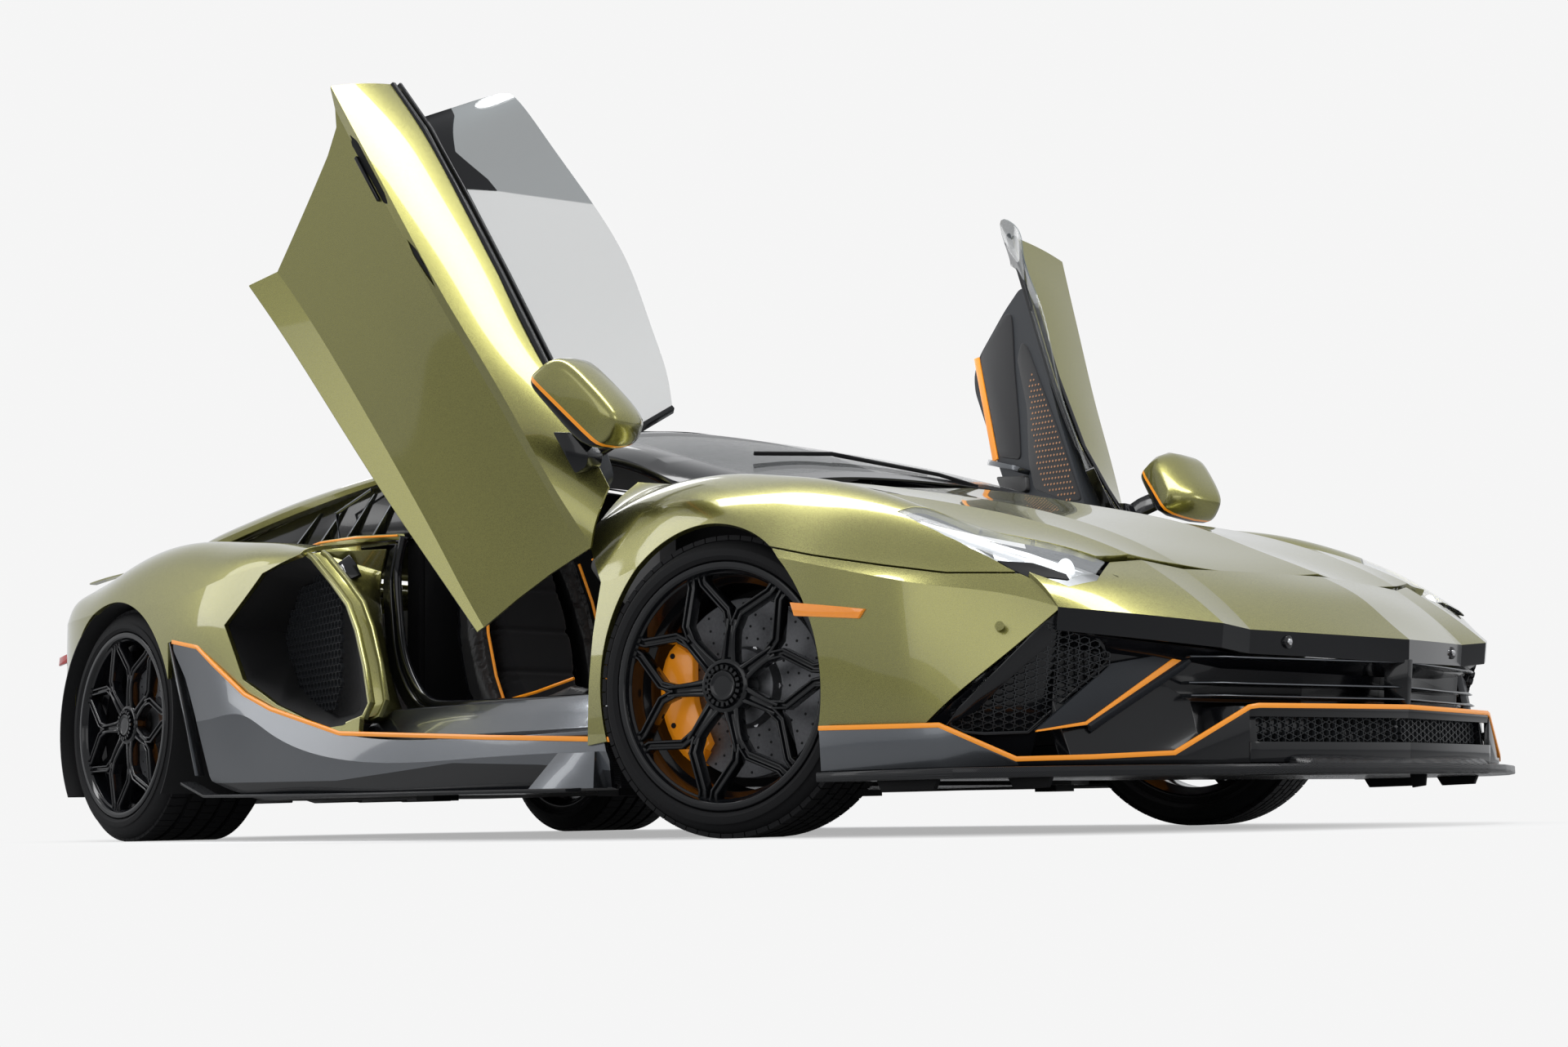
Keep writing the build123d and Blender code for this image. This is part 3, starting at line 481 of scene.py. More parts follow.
@dataclass(frozen=True)
class Finish:
    """A surface finish: its colour and gloss, with a fine grain in its colour, roughness and relief."""

    name: str
    colour: tuple[float, float, float]
    metallic: float = 0.0
    roughness: float = 0.5
    coat: float = 0.0
    coat_roughness: float = 0.03
    specular: float = 0.5
    sheen: float = 0.0
    grain: float = 300.0
    mottle: float = 0.06
    relief: float = 0.02
    # Emission: real light in the lamps, painted light on the orange parts and the pale lamp insides, which
    # give none.
    glow: float = 0.0

    def build(self) -> bpy.types.Material:
        """Make the material once and return it."""
        name = f"look_{self.name}"
        known = bpy.data.materials.get(name)
        if known:
            return known
        material = bpy.data.materials.new(name)
        material.use_nodes = True
        nodes, links = material.node_tree.nodes, material.node_tree.links
        shader = nodes["Principled BSDF"]
        self.plain(shader)
        place = nodes.new("ShaderNodeTexCoord").outputs["Object"]
        self.pattern(nodes, links, shader, place)
        return material

    def plain(self, shader: bpy.types.Node) -> None:
        """Set the values that are the same all over."""
        for socket, value in (("Metallic", self.metallic), ("Roughness", self.roughness), ("Coat Weight",
            self.coat),
                              ("Coat Roughness", self.coat_roughness), ("Sheen Weight", self.sheen),
                              ("Specular IOR Level", self.specular)):
            shader.inputs[socket].default_value = value
        shader.inputs["Base Color"].default_value = (*self.colour, 1)
        if self.glow:
            shader.inputs["Emission Color"].default_value = (*self.colour, 1)
            shader.inputs["Emission Strength"].default_value = self.glow

    def pattern(self, nodes: bpy.types.Nodes, links: bpy.types.NodeLinks, shader: bpy.types.Node,
                place: bpy.types.NodeSocket) -> None:
        """Add fine mottling to the colour and roughness, and a small relief."""
        noise = nodes.new("ShaderNodeTexNoise")
        noise.inputs["Scale"].default_value = self.grain
        noise.inputs["Detail"].default_value = 3
        links.new(place, noise.inputs["Vector"])
        self.tinted(nodes, links, shader, noise.outputs["Fac"], self.mottle)
        self.raised(nodes, links, shader, noise.outputs["Fac"], self.relief)

    def tinted(self, nodes: bpy.types.Nodes, links: bpy.types.NodeLinks, shader: bpy.types.Node,
               factor: bpy.types.NodeSocket, amount: float) -> None:
        """Vary the base colour and roughness a little with a factor."""
        mix = nodes.new("ShaderNodeMix")
        mix.data_type = "RGBA"
        mix.inputs["A"].default_value = (*[c * (1 - amount) for c in self.colour], 1)
        mix.inputs["B"].default_value = (*[min(1, c * (1 + amount)) for c in self.colour], 1)
        links.new(factor, mix.inputs["Factor"])
        links.new(mix.outputs["Result"], shader.inputs["Base Color"])
        rough = nodes.new("ShaderNodeMapRange")
        rough.inputs["To Min"].default_value = self.roughness * (1 - amount)
        rough.inputs["To Max"].default_value = min(1.0, self.roughness * (1 + amount))
        links.new(factor, rough.inputs["Value"])
        links.new(rough.outputs["Result"], shader.inputs["Roughness"])

    def raised(self, nodes: bpy.types.Nodes, links: bpy.types.NodeLinks, shader: bpy.types.Node,
               height: bpy.types.NodeSocket, strength: float, depth: float = 0.0005) -> None:
        """Give the surface a relief from a height."""
        if not strength:
            return
        bump = nodes.new("ShaderNodeBump")
        bump.inputs["Strength"].default_value = strength
        bump.inputs["Distance"].default_value = depth
        links.new(height, bump.inputs["Height"])
        links.new(bump.outputs["Normal"], shader.inputs["Normal"])


@dataclass(frozen=True)
class FlakePaint(Finish):
    """Metallic paint: fine flakes that catch the light one by one, under a clear coat."""

    flake: float = 2200.0

    def pattern(self, nodes: bpy.types.Nodes, links: bpy.types.NodeLinks, shader: bpy.types.Node,
                place: bpy.types.NodeSocket) -> None:
        """Add flakes to the colour and the relief under the coat."""
        cells = nodes.new("ShaderNodeTexVoronoi")
        cells.inputs["Scale"].default_value = self.flake
        links.new(place, cells.inputs["Vector"])
        grey = nodes.new("ShaderNodeSeparateColor")
        links.new(cells.outputs["Color"], grey.inputs["Color"])
        self.tinted(nodes, links, shader, grey.outputs["Red"], self.mottle)
        self.raised(nodes, links, shader, grey.outputs["Green"], self.relief, 0.0002)


@dataclass(frozen=True)
class Weave(Finish):
    """Twill-woven carbon cloth under lacquer."""

    tow: float = 0.0022

    def pattern(self, nodes: bpy.types.Nodes, links: bpy.types.NodeLinks, shader: bpy.types.Node,
                place: bpy.types.NodeSocket) -> None:
        """Lay diagonal steps of over and under tows along X and Y."""
        turn = nodes.new("ShaderNodeMapping")
        turn.inputs["Rotation"].default_value = (0, 0, math.radians(45))
        turn.inputs["Scale"].default_value = (1 / self.tow,) * 3
        links.new(place, turn.inputs["Vector"])
        checks = nodes.new("ShaderNodeTexChecker")
        checks.inputs["Scale"].default_value = 1.0
        links.new(turn.outputs["Vector"], checks.inputs["Vector"])
        self.tinted(nodes, links, shader, checks.outputs["Fac"], self.mottle)
        waves = nodes.new("ShaderNodeTexWave")
        waves.inputs["Scale"].default_value = 0.5
        links.new(turn.outputs["Vector"], waves.inputs["Vector"])
        self.raised(nodes, links, shader, waves.outputs["Fac"], self.relief, 0.0004)


@dataclass(frozen=True)
class Glazing(Finish):
    """Thin tinted glass or clear plastic, seen through."""

    clear: float = 0.6

    def pattern(self, nodes: bpy.types.Nodes, links: bpy.types.NodeLinks, shader: bpy.types.Node,
                place: bpy.types.NodeSocket) -> None:
        """Mix the glossy face with a tinted see-through one."""
        noise = nodes.new("ShaderNodeTexNoise")
        noise.inputs["Scale"].default_value = self.grain
        links.new(place, noise.inputs["Vector"])
        self.tinted(nodes, links, shader, noise.outputs["Fac"], self.mottle)
        shader.inputs["Alpha"].default_value = 1 - self.clear
        shader.inputs["Specular IOR Level"].default_value = 0.8


class Kit:
    """Every finish on the car."""

    PAINT = FlakePaint("paint_olive", (0.246, 0.236, 0.070), metallic=0.90, roughness=0.28, coat=1.0,
                       mottle=0.25, relief=0.05)
    GLOSS = Finish("gloss_black", (0.006, 0.0065, 0.008), roughness=0.14, coat=0.25, specular=0.25, grain=900,
                   mottle=0.2, relief=0.01)
    MATT = Finish("matt_black", (0.009, 0.009, 0.010), roughness=0.55, specular=0.2, grain=700, mottle=0.15,
                  relief=0.08)
    # Near-black for dark insides; also for dark studs, blocks and cups that are painted shade in holes, slots
    # and a scoop.
    DARK_AND_PAINTED_SHADE = Finish("inner_dark_and_painted_shade", (0.006, 0.006, 0.007), roughness=0.8, grain=500, mottle=0.2, relief=0.1)
    GREY = FlakePaint("satin_grey", (0.115, 0.123, 0.135), metallic=0.9, roughness=0.24, coat=0.6,
                      mottle=0.12, relief=0.03)
    # The orange parts glow a little: painted light that brightens them, though they are no lamps.
    ORANGE_PAINTED_GLOW = Finish("line_orange_painted_glow", (1.0, 0.33, 0.012), roughness=0.32, coat=0.4, grain=400, mottle=0.04,
                    relief=0.01, glow=0.18)
    CARBON = Weave("woven_carbon", (0.010, 0.0105, 0.012), roughness=0.42, coat=0.2, specular=0.25,
                   mottle=0.75, relief=0.25)
    RUBBER = Finish("tyre_rubber", (0.008, 0.008, 0.009), roughness=0.72, specular=0.25, grain=450,
                    mottle=0.12, relief=0.12)
    DISC = Finish("disc_face", (0.13, 0.132, 0.14), metallic=0.55, roughness=0.42, grain=160, mottle=0.35,
                  relief=0.1)
    ALLOY = Finish("cast_alloy", (0.42, 0.42, 0.43), metallic=0.9, roughness=0.42, grain=350, mottle=0.12,
                   relief=0.1)
    STEEL = Finish("bright_steel", (0.55, 0.55, 0.56), metallic=1.0, roughness=0.22, grain=500, mottle=0.1,
                   relief=0.02)
    GLASS = Glazing("screen_glass", (0.05, 0.062, 0.066), roughness=0.02, coat=1.0, mottle=0.02, clear=0.62)
    SIDE_GLASS = Glazing("door_glass", (0.36, 0.38, 0.38), roughness=0.03, coat=0.4, mottle=0.02, clear=0.74)
    SHADED_GLASS = Glazing("shaded_glass", (0.07, 0.10, 0.11), roughness=0.03, coat=0.5, mottle=0.02,
                           clear=0.52)
    LENS = Glazing("lamp_lens", (0.75, 0.78, 0.80), roughness=0.02, coat=1.0, mottle=0.02, clear=0.82)
    RED = Glazing("lamp_red", (0.55, 0.012, 0.010), roughness=0.08, coat=1.0, mottle=0.1, clear=0.12)
    AMBER = Finish("lamp_amber", (1.0, 0.30, 0.02), roughness=0.12, coat=1.0, grain=120, mottle=0.12,
                   relief=0.2, glow=0.15)
    MIRROR = Finish("reflector", (0.85, 0.86, 0.88), metallic=1.0, roughness=0.08, grain=200, mottle=0.05,
                    relief=0.1)
    # The pale lamp insides glow: painted light that lifts the shade inside the headlight covers; they give no
    # light.
    PALE_PAINTED_GLOW = Finish("lamp_pale_painted_glow", (0.62, 0.64, 0.66), metallic=0.4, roughness=0.25, coat=0.6, grain=250,
                  mottle=0.15, relief=0.1, glow=0.4)
    MESH = Finish("mesh_black", (0.030, 0.032, 0.035), roughness=0.30, specular=0.3, grain=800, mottle=0.15,
                  relief=0.1)
    SLAT = Finish("slat_black", (0.016, 0.018, 0.021), roughness=0.18, coat=0.3, specular=0.3, grain=800,
                  mottle=0.1, relief=0.02)
    LED = Finish("lamp_light", (0.95, 0.97, 1.0), roughness=0.2, grain=100, mottle=0.02, relief=0.0, glow=0.9)
    SUEDE = Finish("suede_black", (0.014, 0.014, 0.016), roughness=0.92, sheen=0.3, specular=0.2, grain=1400,
                   mottle=0.45, relief=0.35)
    HIDE = Finish("hide_black", (0.018, 0.018, 0.019), roughness=0.45, grain=650, mottle=0.1, relief=0.4)
    TRIM = Finish("trim_grey", (0.026, 0.029, 0.034), roughness=0.42, specular=0.25, grain=800, mottle=0.1,
                  relief=0.15)
    COPPER = Finish("dot_copper", (0.55, 0.27, 0.13), roughness=0.6, grain=900, mottle=0.1, relief=0.1)


def mesh_object(name: str, sheet: Sheet, finishes: Sequence[Finish]) -> bpy.types.Object:
    """Make a Blender object from a closed sheet.

    Args:
        name: the piece's name.
        sheet: closed skin in datum millimetres.
        finishes: one for each tag.

    Returns:
        The object, at the origin, with its place in its mesh.
    """
    mesh = bpy.data.meshes.new(name)
    mesh.from_pydata(metres(sheet.points).tolist(), [], sheet.faces.tolist())
    for finish in finishes:
        mesh.materials.append(finish.build())
    mesh.polygons.foreach_set("material_index", sheet.tags.astype(np.int32))
    mesh.polygons.foreach_set("use_smooth", np.ones(len(sheet.faces), bool))
    mesh.normals_split_custom_set(unit(sheet.normals.reshape(-1, 3)).tolist())
    piece = bpy.data.objects.new(name, mesh)
    bpy.context.scene.collection.objects.link(piece)
    return piece


class Maker:
    """Gathers the closed solids of one piece, in datum millimetres."""

    def __init__(self) -> None:
        """Start with nothing."""
        self.bm = bmesh.new()

    def add(self, points: Sequence[Point], faces: Sequence[Sequence[int]], tag: int = 0,
            smooth: bool = False) -> None:
        """Add one mesh.

        Args:
            points: its corners.
            faces: corner numbers.
            tag: finish number.
            smooth: whether its faces are shaded round.
        """
        corners = [self.bm.verts.new(p) for p in points]
        for face in faces:
            if len(set(face)) < 3:
                continue
            made = self.bm.faces.new([corners[k] for k in face])
            made.material_index = tag
            made.smooth = smooth

    def loft(self, rings: Sequence[Sequence[Point]], tag: int = 0, smooth: bool = False, closed: bool = False,
             caps: bool = True) -> None:
        """Join rings of points with equal counts into a closed solid.

        Args:
            rings: cross-sections in order.
            tag: finish number.
            smooth: whether the sides are shaded round.
            closed: whether the last ring joins the first.
            caps: whether the ends are closed.
        """
        count = len(rings[0])
        points = [tuple(float(v) for v in p) for ring in rings for p in ring]
        faces = []
        spans = len(rings) if closed else len(rings) - 1
        for i in range(spans):
            a, b = i * count, ((i + 1) % len(rings)) * count
            faces += [(a + j, a + (j + 1) % count, b + (j + 1) % count, b + j) for j in range(count)]
        corners = [self.bm.verts.new(p) for p in points]
        for face in faces:
            made = self.bm.faces.new([corners[k] for k in face])
            made.material_index = tag
            made.smooth = smooth
        if not closed and caps:
            for ring in (corners[:count], corners[-count:]):
                made = self.bm.faces.new(ring)
                made.material_index = tag

    def prism(self, outline: Outline, view: View, near: float, far: float, tag: int = 0,
              draft: float = 0.0) -> None:
        """Extrude an outline along the axis that its view leaves out.

        Args:
            outline: corners in the view.
            view: the view.
            near: first level along the third axis.
            far: last level.
            tag: finish number.
            draft: how far the far outline shrinks towards its middle, as a share.
        """
        third = ({0, 1, 2} - set(view.value)).pop()
        middle = np.mean(np.array(outline, float), axis=0)

        def ring(level: float, shrink: float) -> list[np.ndarray]:
            made = []
            for p in outline:
                spot = np.zeros(3)
                spot[list(view.value)] = middle + (np.array(p, float) - middle) * (1 - shrink)
                spot[third] = level
                made.append(spot)
            return made

        self.loft([ring(near, 0), ring(far, draft)], tag)

    def box(self, low: Point, high: Point, tag: int = 0) -> None:
        """Add a block between two corners."""
        outline = [(low[0], low[1]), (high[0], low[1]), (high[0], high[1]), (low[0], high[1])]
        self.prism(outline, View.PLAN, low[2], high[2], tag)

    def sweep(self, path: Sequence[Point], profile: Outline, up: Sequence[float] = (0, 0, 1), tag: int = 0,
              smooth: bool = False, closed: bool = False) -> None:
        """Run a profile along a path.

        Args:
            path: the points that it follows.
            profile: (sideways, up) corners of the section.
            up: which way the profile's second axis leans.
            tag: finish number.
            smooth: whether the sides are shaded round.
            closed: whether the path is a loop.
        """
        spots = [np.array(p, float) for p in path]
        rings = []
        for k, spot in enumerate(spots):
            before = spots[k - 1] if k or closed else spot
            after = spots[(k + 1) % len(spots)] if k < len(spots) - 1 or closed else spot
            along = unit(after - before)
            side = unit(np.cross(along, np.array(up, float)))
            high = np.cross(side, along)
            lean_in, lean_out = unit(spot - before), unit(after - spot)
            if 0 < k < len(spots) - 1 or closed:
                stretch = 1 / max(0.35, math.sqrt((1 + float(np.clip(lean_in @ lean_out, -1, 1))) / 2))
            else:
                stretch = 1.0
            rings.append([spot + side * a * stretch + high * b for a, b in profile])
        self.loft(rings, tag, smooth, closed)

    def tube(self, path: Sequence[Point], radius: float, sides: int = 10, tag: int = 0, closed: bool = False,
             up: Sequence[float] = (0, 0, 1)) -> None:
        """Run a round section along a path."""
        ring = [(radius * math.cos(a), radius * math.sin(a)) for a in np.linspace(0, math.tau, sides,
            endpoint=False)]
        self.sweep(path, ring, up, tag, True, closed)

    def lathe(self, profile: Outline, centre: Point, axis: int = 1, steps: int = 96, tag: int = 0,
              smooth: bool = True) -> None:
        """Turn a closed profile of (along, radius) corners about an axis through a centre."""
        a, b = [k for k in range(3) if k != axis]
        rings = []
        for angle in np.linspace(0, math.tau, steps, endpoint=False):
            ring = []
            for along, radius in profile:
                spot = np.array(centre, float)
                spot[axis] += along
                spot[a] += radius * math.cos(angle)
                spot[b] += radius * math.sin(angle)
                ring.append(spot)
            rings.append(ring)
        earlier = set(self.bm.verts)
        self.loft(rings, tag, smooth, closed=True)
        fresh = [vert for vert in self.bm.verts if vert not in earlier]
        bmesh.ops.remove_doubles(self.bm, verts=fresh, dist=0.01)
        loose = [edge for edge in self.bm.edges if not edge.link_faces]
        bmesh.ops.delete(self.bm, geom=loose, context="EDGES")

    def object(self, name: str, finishes: Sequence[Finish], bevel: float = 0.0, angle: float = 32.0,
               matrix: Optional[Matrix] = None, mirror: bool = False,
               recalc: bool = True) -> bpy.types.Object:
        """Finish the piece.

        Args:
            name: the piece's name.
            finishes: one for each tag.
            bevel: width of rounded edges in millimetres.
            angle: faces that meet at more than this are shaded apart.
            matrix: a move in datum millimetres.
            mirror: whether the other side of the car gets the same.
            recalc: whether faces are turned outwards.

        Returns:
            The object, in metres, at the origin.
        """
        bm = self.bm
        if recalc:
            bmesh.ops.recalc_face_normals(bm, faces=bm.faces)
        if matrix is not None:
            bmesh.ops.transform(bm, matrix=matrix, verts=bm.verts)
            if matrix.determinant() < 0:
                bmesh.ops.reverse_faces(bm, faces=bm.faces)
        if mirror:
            copy = bmesh.ops.duplicate(bm, geom=bm.verts[:] + bm.edges[:] + bm.faces[:])["geom"]
            verts = [g for g in copy if isinstance(g, bmesh.types.BMVert)]
            faces = [g for g in copy if isinstance(g, bmesh.types.BMFace)]
            bmesh.ops.scale(bm, vec=(1, -1, 1), verts=verts)
            bmesh.ops.reverse_faces(bm, faces=faces)
        bmesh.ops.scale(bm, vec=(MM,) * 3, verts=bm.verts)
        bmesh.ops.translate(bm, vec=(DATUM * MM, 0, 0), verts=bm.verts)
        mesh = bpy.data.meshes.new(name)
        bm.to_mesh(mesh)
        bm.free()
        for finish in finishes:
            mesh.materials.append(finish.build())
        piece = bpy.data.objects.new(name, mesh)
        bpy.context.scene.collection.objects.link(piece)
        if bevel:
            rounding = piece.modifiers.new("edges", "BEVEL")
            rounding.width = bevel * MM
            rounding.segments = 2
            rounding.limit_method = "ANGLE"
            rounding.angle_limit = math.radians(angle)
            rounding.harden_normals = False
            piece = flattened(piece)
        shade(piece.data, angle)
        return piece


def shade(mesh: bpy.types.Mesh, angle: float) -> None:
    """Shade a mesh round, apart from edges sharper than an angle."""
    mesh.polygons.foreach_set("use_smooth", np.ones(len(mesh.polygons), bool))
    mesh.set_sharp_from_angle(angle=math.radians(angle))


def flattened(piece: bpy.types.Object) -> bpy.types.Object:
    """Turn an object's modifiers into a plain mesh."""
    evaluated = piece.evaluated_get(bpy.context.evaluated_depsgraph_get())
    mesh = bpy.data.meshes.new_from_object(evaluated)
    piece.modifiers.clear()
    old = piece.data
    piece.data = mesh
    bpy.data.meshes.remove(old)
    mesh.name = piece.name
    return piece


def settle(piece: bpy.types.Object, body: Body | str, slot: Optional[str] = None,
           *nodes: str) -> bpy.types.Object:
    """Hang a finished piece on its body and hide the CAD nodes that it stands for.

    Args:
        piece: the object, in place.
        body: the body that it moves with.
        slot: the record's material slot; not used.
        nodes: CAD nodes that it replaces.

    Returns:
        The piece.
    """
    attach(piece, body.value if isinstance(body, Body) else body)
    if nodes:
        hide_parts(*nodes)
    LOG.info("%s: %d faces", piece.name, len(piece.data.polygons))
    return piece


class Shape(Enum):
    """What a scatter tree sets on each of its points."""

    RING = "ring"
    STUD = "stud"
    BLOCK = "block"


@dataclass
class Scatter:
    """A Geometry Nodes tree: one small shape on every point of a mesh, turned by the point's own angles."""

    name: str
    shape: Shape
    size: float
    depth: float
    wall: float = 1.0
    sides: int = 6
    finish: Finish = Kit.MATT

    def tree(self) -> bpy.types.GeometryNodeTree:
        """Build the tree, with sizes as named inputs in metres."""
        tree = bpy.data.node_groups.new(self.name, "GeometryNodeTree")
        face = tree.interface
        face.new_socket("Geometry", in_out="INPUT", socket_type="NodeSocketGeometry")
        for title in ("Size", "Depth", "Wall"):
            face.new_socket(title, in_out="INPUT", socket_type="NodeSocketFloat")
        face.new_socket("Geometry", in_out="OUTPUT", socket_type="NodeSocketGeometry")
        nodes, links = tree.nodes, tree.links
        start, end = nodes.new("NodeGroupInput"), nodes.new("NodeGroupOutput")
        shape = self.element(nodes, links, start)
        turn = nodes.new("GeometryNodeInputNamedAttribute")
        turn.data_type = "FLOAT_VECTOR"
        turn.inputs["Name"].default_value = "turn"
        stretch = nodes.new("GeometryNodeInputNamedAttribute")
        stretch.data_type = "FLOAT_VECTOR"
        stretch.inputs["Name"].default_value = "stretch"
        spin = nodes.new("FunctionNodeEulerToRotation")
        links.new(turn.outputs["Attribute"], spin.inputs["Euler"])
        place = nodes.new("GeometryNodeInstanceOnPoints")
        links.new(start.outputs["Geometry"], place.inputs["Points"])
        links.new(shape, place.inputs["Instance"])
        links.new(spin.outputs["Rotation"], place.inputs["Rotation"])
        links.new(stretch.outputs["Attribute"], place.inputs["Scale"])
        real = nodes.new("GeometryNodeRealizeInstances")
        links.new(place.outputs["Instances"], real.inputs["Geometry"])
        coat = nodes.new("GeometryNodeSetMaterial")
        coat.inputs["Material"].default_value = self.finish.build()
        links.new(real.outputs["Geometry"], coat.inputs["Geometry"])
        links.new(coat.outputs["Geometry"], end.inputs["Geometry"])
        return tree

    def element(self, nodes: bpy.types.Nodes, links: bpy.types.NodeLinks,
                start: bpy.types.Node) -> bpy.types.NodeSocket:
        """The shape that is repeated, in the tree's own sizes."""
        if self.shape is Shape.BLOCK:
            joined = nodes.new("ShaderNodeCombineXYZ")
            for axis, title in (("X", "Size"), ("Y", "Wall"), ("Z", "Depth")):
                links.new(start.outputs[title], joined.inputs[axis])
            cube = nodes.new("GeometryNodeMeshCube")
            links.new(joined.outputs["Vector"], cube.inputs["Size"])
            return cube.outputs["Mesh"]
        if self.shape is Shape.STUD:
            stud = nodes.new("GeometryNodeMeshCylinder")
            stud.inputs["Vertices"].default_value = self.sides
            links.new(start.outputs["Size"], stud.inputs["Radius"])
            links.new(start.outputs["Depth"], stud.inputs["Depth"])
            return stud.outputs["Mesh"]
        loop = nodes.new("GeometryNodeCurvePrimitiveCircle")
        loop.inputs["Resolution"].default_value = self.sides
        links.new(start.outputs["Size"], loop.inputs["Radius"])
        section = nodes.new("GeometryNodeCurvePrimitiveQuadrilateral")
        links.new(start.outputs["Wall"], section.inputs["Width"])
        links.new(start.outputs["Depth"], section.inputs["Height"])
        wall = nodes.new("GeometryNodeCurveToMesh")
        links.new(loop.outputs["Curve"], wall.inputs["Curve"])
        links.new(section.outputs["Curve"], wall.inputs["Profile Curve"])
        return wall.outputs["Mesh"]

    def spread(self, places: Sequence[Point], turns: Sequence[Point],
               stretches: Optional[Sequence[Point]] = None, angle: float = 30.0) -> bpy.types.Object:
        """Set the shape on every place.

        Args:
            places: centres in datum millimetres.
            turns: Euler angles for each place.
            stretches: scale for each place, 1 if left out.
            angle: faces that meet at more than this are shaded apart.

        Returns:
            The plain mesh object.
        """
        mesh = bpy.data.meshes.new(self.name)
        mesh.from_pydata(metres(np.array(places, float)).tolist(), [], [])
        for title, values in (("turn", turns), ("stretch", stretches or [(1, 1, 1)] * len(places))):
            attribute = mesh.attributes.new(title, "FLOAT_VECTOR", "POINT")
            attribute.data.foreach_set("vector", np.array(values, np.float32).ravel())
        piece = bpy.data.objects.new(self.name, mesh)
        bpy.context.scene.collection.objects.link(piece)
        modifier = piece.modifiers.new("scatter", "NODES")
        tree = self.tree()
        modifier.node_group = tree
        sizes = {"Size": self.size, "Depth": self.depth, "Wall": self.wall}
        for item in tree.interface.items_tree:
            if item.item_type == "SOCKET" and item.in_out == "INPUT" and item.name in sizes:
                modifier[item.identifier] = sizes[item.name] * MM
        piece = flattened(piece)
        shade(piece.data, angle)
        return piece


def carried(piece: bpy.types.Object, matrix: Matrix) -> bpy.types.Object:
    """Move a finished piece by a matrix in datum millimetres."""
    shift = Matrix.Translation((DATUM * MM, 0, 0))
    inside = matrix.copy()
    inside.translation = matrix.translation * MM
    piece.data.transform(shift @ inside @ shift.inverted())
    if matrix.determinant() < 0:
        piece.data.flip_normals()
    return piece


def merged(name: str, *pieces: bpy.types.Object) -> bpy.types.Object:
    """Join plain mesh objects into the first one, keeping each face's finish."""
    bpy.ops.object.select_all(action="DESELECT")
    for piece in pieces:
        piece.select_set(True)
    bpy.context.view_layer.objects.active = pieces[0]
    bpy.ops.object.join()
    pieces[0].name = name
    pieces[0].data.name = name
    return pieces[0]


@dataclass(frozen=True)
class Stuffing:
    """How a block is blown up into a pad by Blender's Cloth."""

    cell: float = 6.0
    pressure: float = 4.0
    frames: int = 20
    cap: float = 24.0

    def fill(self, piece: bpy.types.Object) -> bpy.types.Object:
        """Swell a closed block and keep the result as a plain mesh.

        Args:
            piece: the block, a little smaller than the pad.

        Returns:
            The pad; the block itself while only the frame is checked.
        """
        cells = piece.modifiers.new("cells", "REMESH")
        cells.mode = "VOXEL"
        cells.voxel_size = self.cell * MM
        piece = flattened(piece)
        before = self.places(piece)
        cloth = piece.modifiers.new("stuffing", "CLOTH")
        cloth.settings.use_pressure = True
        cloth.settings.uniform_pressure_force = self.pressure
        cloth.settings.effector_weights.gravity = 0.0
        cloth.collision_settings.use_collision = False
        cloth.point_cache.frame_end = self.frames
        for frame in range(1, self.frames + 1):
            bpy.context.scene.frame_set(frame)
        piece = flattened(piece)
        bpy.context.scene.frame_set(1)
        moved = self.places(piece) - before
        length = np.linalg.norm(moved, axis=1, keepdims=True)
        capped = before + moved * np.minimum(1.0, self.cap * MM / np.maximum(length, 1e-9))
        piece.data.vertices.foreach_set("co", capped.ravel().astype(np.float32))
        return piece

    @staticmethod
    def places(piece: bpy.types.Object) -> np.ndarray:
        """Every point of a mesh, in metres."""
        flat = np.empty(len(piece.data.vertices) * 3, np.float32)
        piece.data.vertices.foreach_get("co", flat)
        return flat.reshape(-1, 3).astype(float)

    @staticmethod
    def channel(piece: bpy.types.Object, way: Point, places: Sequence[float], deep: float = 5.0,
                wide: float = 6.0) -> None:
        """Press sewn channels across a pad.

        Args:
            piece: the pad.
            way: the direction in which the channels follow one another.
            places: where they are along it, in final millimetres.
            deep: their depth.
            wide: their half width.
        """
        bm = bmesh.new()
        bm.from_mesh(piece.data)
        bm.normal_update()
        for vert in bm.verts:
            along = vert.co.dot(Vector(way)) / MM
            press = sum(math.exp(-((along - place) / wide) ** 2) for place in places)
            vert.co -= vert.normal * deep * MM * min(press, 1.0)
        bm.to_mesh(piece.data)
        bm.free()
        shade(piece.data, 60)


def mirrored(piece: bpy.types.Object, name: str) -> bpy.types.Object:
    """Copy a piece to the other side of the car."""
    twin = bpy.data.objects.new(name, piece.data.copy())
    bpy.context.scene.collection.objects.link(twin)
    return carried(twin, Matrix.Diagonal((1, -1, 1, 1)))




FRONT_ARCH = ((1364.0, 330.0), 356.0)
REAR_ARCH = ((REAR_AXLE, 355.5), 376.0)
GAP = 2.6  # half of a seam, with the rim's lip


def banded(maker: Maker, upper: Sequence[Point], lower: Sequence[Point], inward: Point, tag: int = 0) -> None:
    """Add a wall that hangs between an upper and a lower path and is thickened inwards."""
    push = np.array(inward, float)
    maker.loft([[np.array(u, float), np.array(v, float), np.array(v, float) + push, np.array(u, float) + push]
                for u, v in zip(upper, lower)], tag)


def between(a: Point, b: Point, share: float) -> tuple[float, float, float]:
    """A point part of the way from one to another."""
    return tuple(float(p + (q - p) * share) for p, q in zip(a, b))


